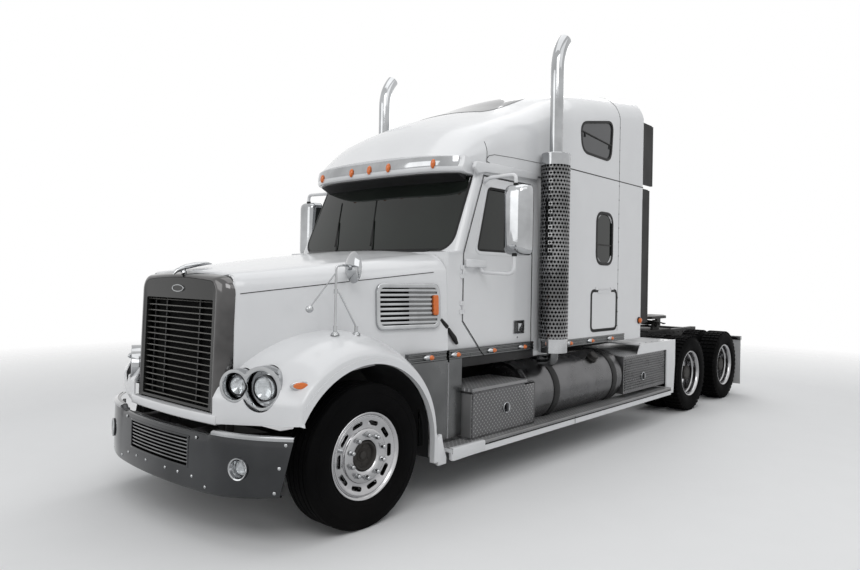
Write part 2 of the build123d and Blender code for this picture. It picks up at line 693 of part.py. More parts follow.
with BuildPart() as hood_shell:
    for side in (-1, 1):
        loft([fender_face(row, side) for row in FENDER_SECTIONS], ruled=True)
        loft([fender_face(row, side, HOOD_SKIN) for row in inner_fender_rows()], ruled=True, mode=Mode.SUBTRACT)
        arch = (side * (OUTER_FENDER_X - 160), side * (OUTER_FENDER_X + 20))
        rod_x(arch, AXLE_Y, AXLE_Z, ARCH_R, mode=Mode.SUBTRACT)
        block(arch, (AXLE_Y - ARCH_R, AXLE_Y + ARCH_R), (100, AXLE_Z), mode=Mode.SUBTRACT)
        block((side * 560, side * 905), (station(300), station(800)), (200, 1040), mode=Mode.SUBTRACT)
    loft([hood_face(row) for row in HOOD_SECTIONS], ruled=True)
    loft([hood_face(row, HOOD_SKIN) for row in HOOD_SECTIONS], ruled=True, mode=Mode.SUBTRACT)
    block((-600, 600), (station(-830), station(-780)), (VALANCE_Z, SURROUND_Z[0]))
    for side in (-1, 1):
        block((side * 580, side * 630), (station(-790), station(-640)), (VALANCE_Z, 930))
        lug = [
            (HOOD_PIVOT[0] - HOOD_LUG_W / 2, HOOD_PIVOT[1] - HOOD_LUG_W / 2),
            (HOOD_PIVOT[0] + 150, HOOD_PIVOT[1] - HOOD_LUG_W / 2),
            (HOOD_PIVOT[0] + 150, VALANCE_Z),
            (HOOD_PIVOT[0] + 150 - HOOD_LUG_W, VALANCE_Z),
            (HOOD_PIVOT[0] + 150 - HOOD_LUG_W, HOOD_PIVOT[1] + HOOD_LUG_W / 2),
            (HOOD_PIVOT[0] - HOOD_LUG_W / 2, HOOD_PIVOT[1] + HOOD_LUG_W / 2),
        ]
        prism(side_plane(min(side * HOOD_LUG_X[0], side * HOOD_LUG_X[1])), lug, HOOD_LUG_X[1] - HOOD_LUG_X[0])
        pin_x = (side * (HOOD_LUG_X[0] - 5), side * (HOOD_LUG_X[1] + 5))
        pin_hole_r = HOOD_PIN_R + SPINDLE_FIT
        rod_x(pin_x, station(HOOD_PIVOT[0]), HOOD_PIVOT[1], pin_hole_r, mode=Mode.SUBTRACT)
        quarter_x = (side * QUARTER_X, side * (QUARTER_X - QUARTER_T))
        block(quarter_x, (station(640), station(HOOD_BACK_Y)), (QUARTER_Z, BELT_Z - 60))
        block((side * (QUARTER_X - 40), quarter_x[0]), (station(640), station(HOOD_BACK_Y)), (BELT_Z - 60, BELT_Z + 2))
        for x, y, z, radius in HEADLAMPS:
            with Locations(lamp_plane(side, x, y, z)):
                Cylinder(radius + LAMP_FIT, 3 * LAMP_DEPTH, mode=Mode.SUBTRACT)
        with BuildSketch(vent_plane(side)):
            RectangleRounded(VENT_W, VENT_H, VENT_CORNER_R)
        extrude(amount=2 * VENT_DEPTH, both=True, mode=Mode.SUBTRACT)
save(hood_shell.part, "hood_shell")

SURROUND_R = 55

with BuildPart() as grille_surround:
    low_front, high_front = SURROUND_FRONT_Y
    ring = [
        (SURROUND_BACK_Y, SURROUND_Z[0]),
        (low_front, SURROUND_Z[0]),
        (high_front, SURROUND_Z[1]),
        (SURROUND_BACK_Y, SURROUND_Z[1]),
    ]
    prism(side_plane(-SURROUND_X), ring, 2 * SURROUND_X)
    sides = grille_surround.edges().filter_by(lambda edge: abs(edge.center().X) > GRILLE_X)
    front_corners = sides.filter_by(lambda edge: edge.center().Y < station(SURROUND_BACK_Y - 110))
    fillet(front_corners.filter_by(lambda edge: edge.length > SURROUND_X), SURROUND_R)
    block((-GRILLE_X, GRILLE_X), (station(-900), station(-600)), GRILLE_Z, mode=Mode.SUBTRACT)
save(grille_surround.part, "grille_surround")

POST_X = 155

with BuildPart() as grille_bars:
    pitch = (GRILLE_Z[1] - GRILLE_Z[0]) / GRILLE_BARS
    slope = (high_front - low_front) / (SURROUND_Z[1] - SURROUND_Z[0])
    for bar in range(GRILLE_BARS):
        z = GRILLE_Z[0] + (bar + 0.5) * pitch
        y = station(low_front + slope * (z - SURROUND_Z[0]) + GRILLE_INSET)
        block((-GRILLE_X, GRILLE_X), (y, y + GRILLE_BAR_D), (z - GRILLE_BAR_H / 2, z + GRILLE_BAR_H / 2))
    for x in (-POST_X, POST_X):
        post = [
            (low_front + GRILLE_INSET + 22, GRILLE_Z[0]),
            (low_front + GRILLE_INSET + 52, GRILLE_Z[0]),
            (high_front + GRILLE_INSET + 46, GRILLE_Z[1]),
            (high_front + GRILLE_INSET + 16, GRILLE_Z[1]),
        ]
        prism(side_plane(x - 10), post, 20)
save(grille_bars.part, "grille_bars")

with BuildPart() as headlamps:
    for side in (-1, 1):
        for x, y, z, radius in HEADLAMPS:
            with Locations(lamp_plane(side, x, y, z)):
                Cylinder(radius, LAMP_DEPTH)
save(headlamps.part, "headlamps")

with BuildPart() as side_vents:
    for side in (-1, 1):
        with BuildSketch(vent_plane(side)):
            RectangleRounded(VENT_W, VENT_H, VENT_CORNER_R)
            Rectangle(VENT_W - 2 * VENT_FRAME, VENT_H - 2 * VENT_FRAME, mode=Mode.SUBTRACT)
            with GridLocations(0, (VENT_H - 2 * VENT_FRAME) / VENT_BARS, 1, VENT_BARS):
                Rectangle(VENT_W - VENT_FRAME, VENT_BAR_H)
        extrude(amount=VENT_DEPTH / 2, both=True)
save(side_vents.part, "side_vents")

POST_R = 9
MIRROR_POST = (1000, -144)
MIRROR_POST_TOP_Z = 1800
MIRROR_STRUT_Y = 26
MIRROR_FOOT_R = 28
MIRROR_FOOT_Z = (1345, 1358)
MIRROR_DISC = (975, 0, 104, 34)
ARM_Y = (-150, 10)

with BuildPart() as hood_mirrors:
    post_x, post_y = MIRROR_POST
    disc_x, disc_y, disc_r, disc_t = MIRROR_DISC
    for side in (-1, 1):
        rod_z(side * post_x, station(post_y), (MIRROR_FOOT_Z[0] + 1, MIRROR_POST_TOP_Z), POST_R)
        for foot_y in (post_y, MIRROR_STRUT_Y):
            rod_z(side * post_x, station(foot_y), MIRROR_FOOT_Z, MIRROR_FOOT_R)
        strut = [
            (post_y - 6, 1640),
            (MIRROR_STRUT_Y - 12, MIRROR_FOOT_Z[0] + 4),
            (MIRROR_STRUT_Y + 12, MIRROR_FOOT_Z[0] + 4),
            (post_y + 6, 1662),
        ]
        prism(side_plane(side * post_x - 6), strut, 12)
        rod_y(side * (post_x - 10), ARM_Y, MIRROR_POST_TOP_Z - 10, POST_R)
        rod_y(side * disc_x, (disc_y - disc_t / 2, disc_y + disc_t / 2), MIRROR_POST_TOP_Z + 4, disc_r)
save(hood_mirrors.part, "hood_mirrors")


# ================= front bumper =================

# bumper plan, x and y behind the axle: where the long front arc ends, middle of the corner arc, start of the return
BUMPER_ARC_END = (1000, -790)
BUMPER_CORNER = (1150, -752)
BUMPER_CORNER_IN = (1144, -738)
BUMPER_RETURN_Y = -690
BUMPER_BACK_Y = -600
BUMPER_NOTCH = (640, 702)
PIVOT_EAR_R = 24
PIVOT_EAR_X = (HOOD_LUG_X[0] - 34, HOOD_LUG_X[0] - 6)
BUMPER_ARM_X = (330, 420)
BUMPER_ARM_Z = (660, 700)
BEAM_Y = (-878, -850)
BEAM_Z = (430, 660)


def bumper_half(side):
    """One side of the bumper's plan, from the middle of the outer face round to the middle of the inner face."""
    outer_x = side * BUMPER_X
    inner_x = side * (BUMPER_X - BUMPER_T)
    end = (side * BUMPER_ARC_END[0], BUMPER_ARC_END[1])
    end_in = (end[0], end[1] + BUMPER_T)
    corner = (side * BUMPER_CORNER[0], BUMPER_CORNER[1])
    corner_in = (side * BUMPER_CORNER_IN[0], BUMPER_CORNER_IN[1])
    return_in_y = BUMPER_RETURN_Y + 6
    ThreePointArc(end, corner, (outer_x, BUMPER_RETURN_Y))
    Line((outer_x, BUMPER_RETURN_Y), (outer_x, BUMPER_BACK_Y))
    Line((outer_x, BUMPER_BACK_Y), (inner_x, BUMPER_BACK_Y))
    Line((inner_x, BUMPER_BACK_Y), (inner_x, return_in_y))
    ThreePointArc((inner_x, return_in_y), corner_in, end_in)


with BuildPart() as front_bumper:
    with BuildSketch(Plane((0, AXLE_Y, BUMPER_Z[0]))):
        with BuildLine():
            end_x, end_y = BUMPER_ARC_END
            middle_y = -FRONT_OVERHANG
            ThreePointArc((-end_x, end_y), (0, middle_y), (end_x, end_y))
            for side in (1, -1):
                bumper_half(side)
            end_in_y = end_y + BUMPER_T
            ThreePointArc((end_x, end_in_y), (0, middle_y + BUMPER_T), (-end_x, end_in_y))
        make_face()
    extrude(amount=BUMPER_Z[1] - BUMPER_Z[0])
    block((-INTAKE_X, INTAKE_X), spans((-1000, -800)), INTAKE_Z, mode=Mode.SUBTRACT)
    for side in (-1, 1):
        rod_y(side * FOG_X, (-920, -720), FOG_Z, FOG_R, mode=Mode.SUBTRACT)
    notch_x, notch_z = BUMPER_NOTCH
    block((-notch_x, notch_x), spans((-1000, -780)), (notch_z, BUMPER_Z[1] + 60), mode=Mode.SUBTRACT)
    for side in (-1, 1):
        pin_y = station(HOOD_PIVOT[0])
        ear_x = (side * PIVOT_EAR_X[0], side * PIVOT_EAR_X[1])
        ear_z = (HOOD_PIVOT[1] - PIVOT_EAR_R, HOOD_PIVOT[1] + PIVOT_EAR_R)
        block(ear_x, (station(-854), pin_y + PIVOT_EAR_R), ear_z)
        rod_x((ear_x[0], side * (HOOD_LUG_X[1] + 2)), pin_y, HOOD_PIVOT[1], HOOD_PIN_R)
        arm_x = (side * BUMPER_ARM_X[0], side * BUMPER_ARM_X[1])
        block(arm_x, (station(-888), RAIL_FRONT_Y), BUMPER_ARM_Z)
        foot_x = (arm_x[0] + side * 15, arm_x[1])
        block(foot_x, (RAIL_FRONT_Y - 20, RAIL_FRONT_Y), (BUMPER_ARM_Z[0], RAIL_LOW_Z + 60))
    block((-RAIL_X, RAIL_X), spans(BEAM_Y), BEAM_Z)
save(front_bumper.part, "front_bumper")


# ================= cab =================

def cab_face(row, inset=0):
    z, centre_y, corner_y, half_width, corner_r = row
    half_width = half_width - inset
    centre_y = centre_y + inset
    corner_y = corner_y + inset
    bend = corner_r * (1 - math.sqrt(0.5))
    with BuildSketch(Plane((0, AXLE_Y, z)), mode=Mode.PRIVATE) as section:
        with BuildLine():
            Line((-half_width, CAB_BACK_Y), (half_width, CAB_BACK_Y))
            Line((half_width, CAB_BACK_Y), (half_width, corner_y + corner_r))
            ThreePointArc(
                (half_width, corner_y + corner_r),
                (half_width - bend, corner_y + bend),
                (half_width - corner_r, corner_y),
            )
            ThreePointArc(
                (half_width - corner_r, corner_y),
                (0, centre_y),
                (-half_width + corner_r, corner_y),
            )
            ThreePointArc(
                (-half_width + corner_r, corner_y),
                (-half_width + bend, corner_y + bend),
                (-half_width, corner_y + corner_r),
            )
            Line((-half_width, corner_y + corner_r), (-half_width, CAB_BACK_Y))
        make_face()
    return section.sketch


def cab_solid(inset=0):
    """The cab's outer form, shrunk all round by inset."""
    return loft([cab_face(row, inset) for row in CAB_SECTIONS], ruled=True, mode=Mode.PRIVATE)


def grown(points, margin):
    """Move each corner of an outline away from its middle by margin on both axes."""
    middle_y = sum(point[0] for point in points) / len(points)
    middle_z = sum(point[1] for point in points) / len(points)
    return [
        (y + math.copysign(margin, y - middle_y), z + math.copysign(margin, z - middle_z))
        for y, z in points
    ]


CAB_SIDE_X = CAB_SECTIONS[0][3]
CAB_MOUNT_Y = (1500, 2200)
MOUNT_W = 120
QUARTER_GAP = 16
QUARTER_BACK_Y = 1100
DOOR_AXIS = (CAB_SIDE_X + 9, DOOR_OUTLINE[0][0] - 3)
DOOR_HINGE_Z = (1500, 1800)
HINGE_H = 36
HINGE_R = 8
HINGE_PIN_R = 4
HINGE_LEAF = 34
MIRROR_HEAD_X = (1292, 1500)
MIRROR_HEAD_Y = (1400, 1500)
MIRROR_HEAD_Z = (1946, 2541)
MIRROR_BRACKET_Y = (1170, 1415)
MIRROR_BRACKET_Z = (1838, 1905)
MIRROR_ARM_X = 1400
MIRROR_ARM_R = 17
MIRROR_LOW_ARM = (1440, 1790)
MIRROR_HIGH_ARM = (1470, 2602)


def hinge_leaf(side, end, z):
    """Half of a door hinge: the barrel on the door axis and a leaf on the skin; end 1 is the door's side."""
    axis_x, axis_y = DOOR_AXIS
    rod_z(side * axis_x, station(axis_y), z, HINGE_R)
    leaf_y = (station(axis_y), station(axis_y + end * HINGE_LEAF))
    block((side * CAB_SIDE_X, side * axis_x), leaf_y, z)


with BuildPart() as cab_shell:
    add(cab_solid())
    add(cab_solid(CAB_WALL), mode=Mode.SUBTRACT)
    block((-1100, 1100), (station(900), station(CAB_BACK_Y)), (900, 1012), mode=Mode.SUBTRACT)
    prism(front_plane(station(1500)), SCREEN_OUTLINE, 600, WINDOW_CORNER_R, mode=Mode.SUBTRACT)
    for side in (-1, 1):
        start = 900 if side > 0 else -1200
        opening = grown(DOOR_OUTLINE, DOOR_GAP)
        prism(side_plane(start), opening, 300, mode=Mode.SUBTRACT)
    floor_x = CAB_SECTIONS[0][3] - CAB_WALL / 2
    block((-floor_x, floor_x), (station(1000), station(CAB_BACK_Y)), (CAB_FLOOR_Z - CAB_WALL, CAB_FLOOR_Z))
    for side in (-1, 1):
        for y in CAB_MOUNT_Y:
            mount_x = (side * (RAIL_X - RAIL_FLANGE), side * RAIL_X)
            block(mount_x, (station(y), station(y + MOUNT_W)), (RAIL_TOP_Z, CAB_FLOOR_Z - CAB_WALL))
        quarter_y = (station(HOOD_BACK_Y + QUARTER_GAP), station(QUARTER_BACK_Y))
        block((side * (QUARTER_X - QUARTER_T), side * QUARTER_X), quarter_y, (QUARTER_Z, BELT_Z - 110))
        block((side * 1000, side * QUARTER_X), (quarter_y[0] + 20, quarter_y[1]), (CAB_FLOOR_Z - 45, BELT_Z - 110))
        for z in DOOR_HINGE_Z:
            hinge_leaf(side, -1, (z - HINGE_H / 2 - HINGE_H, z + HINGE_H / 2 + HINGE_H))
            knuckle_z = (z - HINGE_H / 2 - 1, z + HINGE_H / 2 + 1)
            clear_x = (side * CAB_SIDE_X, side * (CAB_SIDE_X + 40))
            block(clear_x, (station(900), station(1300)), knuckle_z, mode=Mode.SUBTRACT)
            rod_z(side * DOOR_AXIS[0], station(DOOR_AXIS[1]), knuckle_z, HINGE_PIN_R)
save(cab_shell.part, "cab_shell")

with BuildPart() as windshield:
    add(cab_solid(GLASS_INSET))
    add(cab_solid(GLASS_INSET + GLASS_T), mode=Mode.SUBTRACT)
    prism(front_plane(station(1500)), SCREEN_OUTLINE, 600, WINDOW_CORNER_R, mode=Mode.INTERSECT)
save(windshield.part, "windshield")

for side, end in ((1, "left"), (-1, "right")):
    start = 900 if side > 0 else -1200
    with BuildPart() as door:
        add(cab_solid())
        add(cab_solid(CAB_WALL), mode=Mode.SUBTRACT)
        prism(side_plane(start), DOOR_OUTLINE, 300, mode=Mode.INTERSECT)
        prism(side_plane(start), DOOR_WINDOW, 300, WINDOW_CORNER_R, mode=Mode.SUBTRACT)
        door_end = DOOR_OUTLINE[2][0] - DOOR_REAR_GAP + DOOR_GAP
        block((side * 900, side * 1200), (station(door_end), station(2300)), (1100, 2700), mode=Mode.SUBTRACT)
        for z in DOOR_HINGE_Z:
            barrel_z = (z - HINGE_H / 2, z + HINGE_H / 2)
            hinge_leaf(side, 1, barrel_z)
            pin_hole_r = HINGE_PIN_R + SPINDLE_FIT
            rod_z(side * DOOR_AXIS[0], station(DOOR_AXIS[1]), barrel_z, pin_hole_r, mode=Mode.SUBTRACT)
    save(door.part, f"door_{end}")
    with BuildPart() as door_glass:
        add(cab_solid(GLASS_INSET))
        add(cab_solid(GLASS_INSET + GLASS_T), mode=Mode.SUBTRACT)
        prism(side_plane(start), DOOR_WINDOW, 300, WINDOW_CORNER_R, mode=Mode.INTERSECT)
    save(door_glass.part, f"door_glass_{end}")
    with BuildPart() as door_mirror:
        head_x = (side * MIRROR_HEAD_X[0], side * MIRROR_HEAD_X[1])
        block(head_x, spans(MIRROR_HEAD_Y), MIRROR_HEAD_Z)
        block((side * CAB_SIDE_X, side * (CAB_SIDE_X + 40)), spans(MIRROR_BRACKET_Y), MIRROR_BRACKET_Z)
        post_x = side * MIRROR_ARM_X
        low_y, low_z = MIRROR_LOW_ARM
        high_y, high_z = MIRROR_HIGH_ARM
        rod_x((side * (CAB_SIDE_X + 18), post_x + side * 8), station(low_y), low_z, MIRROR_ARM_R)
        rod_z(post_x, station(low_y), (low_z, MIRROR_HEAD_Z[0] + 4), MIRROR_ARM_R)
        rod_z(side * (CAB_SIDE_X + 31), station(low_y), (low_z, MIRROR_BRACKET_Z[0] - 3), MIRROR_ARM_R)
        rod_x((side * (CAB_SIDE_X - 24), post_x), station(high_y), high_z, MIRROR_ARM_R)
        rod_z(post_x, station(high_y), (MIRROR_HEAD_Z[1] - 3, high_z), MIRROR_ARM_R)
        joint_x = (side * (CAB_SIDE_X + 14), side * (CAB_SIDE_X + 48))
        block(joint_x, spans((low_y - 40, low_y + 17)), (MIRROR_BRACKET_Z[0] - 6, MIRROR_BRACKET_Z[0] + 22))
    save(door_mirror.part, f"door_mirror_{end}")


# ================= sleeper and roof cap =================

def slot_points(window):
    y0, y1, z0, z1 = window
    return [(y0, z0), (y1, z0), (y1, z1), (y0, z1)]


SLEEPER_MOUNT_Y = (2700, 4200)
BAGGAGE_AXIS = (SLEEPER_X + 7, LUGGAGE_DOOR[3])
BAGGAGE_HINGE_Y = ((3330, 3380), (3670, 3720))
OVAL_R = (OVAL_WINDOW[1] - OVAL_WINDOW[0]) / 2 - 4
UPPER_R = 70

with BuildPart() as sleeper_shell:
    y = (station(SLEEPER_Y[0]), station(SLEEPER_Y[1]))
    block((-SLEEPER_X, SLEEPER_X), y, SLEEPER_Z)
    fillet(sleeper_shell.edges().filter_by(Axis.Z).group_by(Axis.Y)[-1], SLEEPER_CORNER_R)
    inner_x = SLEEPER_X - SLEEPER_WALL
    inner_y = (y[0] + SLEEPER_WALL, y[1] - SLEEPER_WALL)
    block((-inner_x, inner_x), inner_y, (SLEEPER_Z[0] + SLEEPER_WALL, SLEEPER_Z[1] + 10), mode=Mode.SUBTRACT)
    bulkhead_y = (y[0] - 10, y[0] + SLEEPER_WALL + 10)
    door_z = (SLEEPER_Z[0] + SLEEPER_WALL, SLEEPER_Z[1] + 10)
    block((-BULKHEAD_X, BULKHEAD_X), bulkhead_y, door_z, mode=Mode.SUBTRACT)
    for side in (-1, 1):
        for mount_y in SLEEPER_MOUNT_Y:
            mount_x = (side * (RAIL_X - RAIL_FLANGE), side * RAIL_X)
            block(mount_x, (station(mount_y), station(mount_y + MOUNT_W)), (RAIL_TOP_Z, SLEEPER_Z[0]))
        for end_y in BAGGAGE_HINGE_Y:
            rod_y(side * BAGGAGE_AXIS[0], end_y, BAGGAGE_AXIS[1], HINGE_R - 2)
            block((side * SLEEPER_X, side * BAGGAGE_AXIS[0]), spans(end_y), (BAGGAGE_AXIS[1], BAGGAGE_AXIS[1] + 30))
        rod_y(side * BAGGAGE_AXIS[0], (BAGGAGE_HINGE_Y[0][1], BAGGAGE_HINGE_Y[1][0]), BAGGAGE_AXIS[1], HINGE_PIN_R - 1)
    across = 2 * SLEEPER_X + 100
    low_x = side_plane(-across / 2)
    prism(low_x, slot_points(OVAL_WINDOW), across, OVAL_R, mode=Mode.SUBTRACT)
    prism(low_x, slot_points(LUGGAGE_DOOR), across, LUGGAGE_CORNER_R, mode=Mode.SUBTRACT)
save(sleeper_shell.part, "sleeper_shell")


def cap_face(row, skin=0):
    y, side_x, side_z, corner_x, corner_z, centre_z = row
    foot_z = CAP_FOOT_Z - 60 if skin else CAP_FOOT_Z
    return dome_face(y, side_x, foot_z, side_x, side_z, corner_x, corner_z, centre_z, skin)


def inner_cap_rows():
    rows = [list(row) for row in CAP_SECTIONS]
    rows[0][0] += 2 * CAP_WALL
    rows[-1][0] -= CAP_WALL
    return rows


with BuildPart() as roof_cap:
    loft([cap_face(row) for row in CAP_SECTIONS], ruled=True)
    loft([cap_face(row, CAP_WALL) for row in inner_cap_rows()[1:]], ruled=True, mode=Mode.SUBTRACT)
    seam_y = (station(SLEEPER_Y[0] - 4), station(SLEEPER_Y[1] + 50))
    block((-1200, 1200), seam_y, (2600, SLEEPER_Z[1]), mode=Mode.SUBTRACT)
    brow = [(1050, 2690), (1120, 2668), (1268, 2668), (1268, CAP_FOOT_Z), (1050, CAP_FOOT_Z)]
    prism(side_plane(-960), brow, 1920)
    add(cab_solid(), mode=Mode.SUBTRACT)
    prism(side_plane(-1200), UPPER_WINDOW, 2400, UPPER_R, mode=Mode.SUBTRACT)
save(roof_cap.part, "roof_cap")

with BuildPart() as sleeper_windows:
    for side in (-1, 1):
        x = side * (SLEEPER_X - 22)
        low_x = min(x, x + side * 6)
        prism(side_plane(low_x), slot_points(OVAL_WINDOW), 6, OVAL_R)
        prism(side_plane(low_x - side * 6), UPPER_WINDOW, 6, UPPER_R)
save(sleeper_windows.part, "sleeper_windows")

for side, end in ((1, "left"), (-1, "right")):
    with BuildPart() as luggage_door:
        y0, y1, z0, z1 = LUGGAGE_DOOR
        panel = [(y0 + 8, z0 + 11), (y1 - 8, z0 + 11), (y1 - 8, z1 - 8), (y0 + 8, z1 - 8)]
        low_x = SLEEPER_X - SLEEPER_WALL if side > 0 else -SLEEPER_X
        prism(side_plane(low_x), panel, SLEEPER_WALL, LUGGAGE_CORNER_R - 8)
        barrel_y = (BAGGAGE_HINGE_Y[0][1] + 1, BAGGAGE_HINGE_Y[1][0] - 1)
        axis_x, axis_z = side * BAGGAGE_AXIS[0], BAGGAGE_AXIS[1]
        rod_y(axis_x, barrel_y, axis_z, HINGE_R - 2)
        block((side * SLEEPER_X, axis_x), spans(barrel_y), (axis_z - 34, axis_z))
        rod_y(axis_x, barrel_y, axis_z, HINGE_PIN_R - 1 + SPINDLE_FIT, mode=Mode.SUBTRACT)
    save(luggage_door.part, f"luggage_door_{end}")

with BuildPart() as side_extenders:
    for side in (-1, 1):
        for y0, y1, z0, z1 in EXTENDERS:
            block((side * (EXTENDER_X - EXTENDER_T), side * EXTENDER_X), (station(y0), station(y1)), (z0, z1))
save(side_extenders.part, "side_extenders")


# ================= cab inside =================

SEAT_X = 480
SEAT_HALF_W = 260
SEAT_Y = (1560, 2080)
SEAT_Z_OVER_FLOOR = (260, 400)
# seat back outline: y behind the axle, z
SEAT_BACK = [(2000, CAB_FLOOR_Z + 400), (2120, CAB_FLOOR_Z + 400), (2240, 2180), (2140, 2180)]
BUNK_X = 1000
BUNK_Y = (3620, 4380)
BUNK_TOP_Z = 1500
# dashboard outline: y behind the axle, z
DASHBOARD = [(982, 1600), (1330, 1500), (1400, 1760), (1330, 1880), (982, 1900)]
DASHBOARD_X = 975
COLUMN_PLACE = (1440, 1728)
COLUMN_TILT = 60
COLUMN_R = 28
COLUMN_LENGTH = 200
STEERING_PLACE = (1560, 1800)
STEERING_TILT = 30
STEERING_R = 215
STEERING_HUB = (60, 50)


def steering_plane():
    tilt = math.radians(STEERING_TILT)
    y, z = STEERING_PLACE
    return Plane((SEAT_X, station(y), z), z_dir=(0, math.sin(tilt), math.cos(tilt)))


with BuildPart() as seats:
    low_z, high_z = (CAB_FLOOR_Z + z for z in SEAT_Z_OVER_FLOOR)
    for side in (-1, 1):
        x = (side * (SEAT_X - SEAT_HALF_W), side * (SEAT_X + SEAT_HALF_W))
        block(x, spans(SEAT_Y), (low_z, high_z))
        prism(side_plane(side * SEAT_X - SEAT_HALF_W + 20), SEAT_BACK, 2 * SEAT_HALF_W - 40)
        block((x[0] * 0.8, x[1] * 0.8), spans((SEAT_Y[0] + 80, SEAT_Y[1] - 80)), (CAB_FLOOR_Z, low_z))
    block((-BUNK_X, BUNK_X), spans(BUNK_Y), (SLEEPER_Z[0] + SLEEPER_WALL, BUNK_TOP_Z))
save(seats.part, "seats")

with BuildPart() as dashboard:
    prism(side_plane(-DASHBOARD_X), DASHBOARD, 2 * DASHBOARD_X)
    with Locations(Location((SEAT_X, station(COLUMN_PLACE[0]), COLUMN_PLACE[1]), (-COLUMN_TILT, 0, 0))):
        Cylinder(COLUMN_R, COLUMN_LENGTH)
    with Locations(steering_plane()):
        Cylinder(STEERING_HUB[0] + SPINDLE_FIT, STEERING_HUB[1] + 2 * SPINDLE_FIT, mode=Mode.SUBTRACT)
save(dashboard.part, "dashboard")

with BuildPart() as steering_wheel:
    with Locations(steering_plane()):
        Torus(STEERING_R, 17)
        Box(2 * STEERING_R - 10, 34, 16)
        Cylinder(*STEERING_HUB)
save(steering_wheel.part, "steering_wheel")


# ================= flank equipment =================

with BuildPart() as exhaust_stacks:
    for side in (-1, 1):
        x = side * STACK_X
        y = station(STACK_Y)
        rod_z(x, y, STACK_Z, STACK_SHIELD_R)
        rod_z(x, y, (STACK_Z[1], STACK_BEND_Z), STACK_PIPE_R)
        for z in STACK_BRACKET_Z:
            block((side * CAB_SIDE_X, x), (y - 25, y + 25), (z, z + 60))
        rod_z(x, y, (STACK_Z[0] - 135, STACK_Z[0]), STACK_PIPE_R - 6)
        rod_x((side * (CAB_SECTIONS[0][3] + 14), x), y, STACK_Z[0] - 92, STACK_PIPE_R - 24)
        with BuildSketch(Plane((x, y, STACK_BEND_Z)), mode=Mode.PRIVATE) as mouth:
            Circle(STACK_PIPE_R)
        bend_axis = Axis((x, y + STACK_BEND_R, STACK_BEND_Z), (-1, 0, 0))
        revolve(mouth.sketch, axis=bend_axis, revolution_arc=STACK_BEND_ANGLE)
save(exhaust_stacks.part, "exhaust_stacks")

LID_AXIS = (FRONT_BOX_X[0] - 9, FRONT_BOX_Z[1] + 4)
LID_HINGE_Y = (FRONT_BOX_Y[0] + 120, FRONT_BOX_Y[1] - 120)

with BuildPart() as side_boxes:
    for side in (-1, 1):
        x = (side * FRONT_BOX_X[0], side * FRONT_BOX_X[1])
        y = (station(FRONT_BOX_Y[0]), station(FRONT_BOX_Y[1]))
        block(x, y, FRONT_BOX_Z)
        inner_x = (side * (FRONT_BOX_X[0] + BOX_WALL), side * (FRONT_BOX_X[1] - BOX_WALL))
        inner_y = (y[0] + BOX_WALL, y[1] - BOX_WALL)
        block(inner_x, inner_y, (FRONT_BOX_Z[0] + BOX_WALL, FRONT_BOX_Z[1] + 10), mode=Mode.SUBTRACT)
        block(x, (station(REAR_BOX_Y[0]), station(REAR_BOX_Y[1])), REAR_BOX_Z)
        for ear_y in ((LID_HINGE_Y[0] - 30, LID_HINGE_Y[0] - 1), (LID_HINGE_Y[1] + 1, LID_HINGE_Y[1] + 30)):
            ear_x = (side * (LID_AXIS[0] - HINGE_R), side * FRONT_BOX_X[0])
            block(ear_x, spans(ear_y), (FRONT_BOX_Z[1] - 40, FRONT_BOX_Z[1]))
            rod_y(side * LID_AXIS[0], ear_y, LID_AXIS[1], HINGE_R)
        rod_y(side * LID_AXIS[0], (LID_HINGE_Y[0] - 1, LID_HINGE_Y[1] + 1), LID_AXIS[1], HINGE_PIN_R)
        block((side * RAIL_X, x[0]), (y[0] + 100, y[0] + 180), (FRONT_BOX_Z[1] - 120, FRONT_BOX_Z[1] - 60))
        block((side * RAIL_X, x[0]), (station(4300), station(4380)), (REAR_BOX_Z[1] - 60, REAR_BOX_Z[1]))
save(side_boxes.part, "side_boxes")

for side, end in ((1, "left"), (-1, "right")):
    with BuildPart() as toolbox_lid:
        x = (side * LID_AXIS[0], side * (FRONT_BOX_X[1] + LID_OVERHANG))
        y = (station(FRONT_BOX_Y[0] - LID_OVERHANG), station(FRONT_BOX_Y[1] + LID_OVERHANG))
        block(x, y, (FRONT_BOX_Z[1] + LID_GAP, FRONT_BOX_Z[1] + LID_GAP + LID_T))
        for end_y in ((FRONT_BOX_Y[0] - 60, LID_HINGE_Y[0]), (LID_HINGE_Y[1], FRONT_BOX_Y[1] + 60)):
            notch_x = (side * (LID_AXIS[0] - 20), side * (LID_AXIS[0] + HINGE_R + 4))
            block(notch_x, spans(end_y), (FRONT_BOX_Z[1], FRONT_BOX_Z[1] + 60), mode=Mode.SUBTRACT)
        rod_y(side * LID_AXIS[0], LID_HINGE_Y, LID_AXIS[1], HINGE_R)
        rod_y(side * LID_AXIS[0], LID_HINGE_Y, LID_AXIS[1], HINGE_PIN_R + SPINDLE_FIT, mode=Mode.SUBTRACT)
    save(toolbox_lid.part, f"toolbox_lid_{end}")

TANK_BRACKET_Y = ((2320, 2400), (3480, 3560))
TANK_BRACKET_Z = (740, 860)
TANK_BRACKET_REACH = 240

with BuildPart() as fuel_tanks:
    for side in (-1, 1):
        with Locations(Location((side * TANK_X, station((TANK_Y[0] + TANK_Y[1]) / 2), TANK_Z), (90, 0, 0))):
            Cylinder(TANK_R, TANK_Y[1] - TANK_Y[0])
        for y in TANK_BRACKET_Y:
            block((side * RAIL_X, side * (TANK_X - TANK_BRACKET_REACH)), spans(y), TANK_BRACKET_Z)
save(fuel_tanks.part, "fuel_tanks")

FAIRING_BOX_GAP = 8
SHELF_X = 700

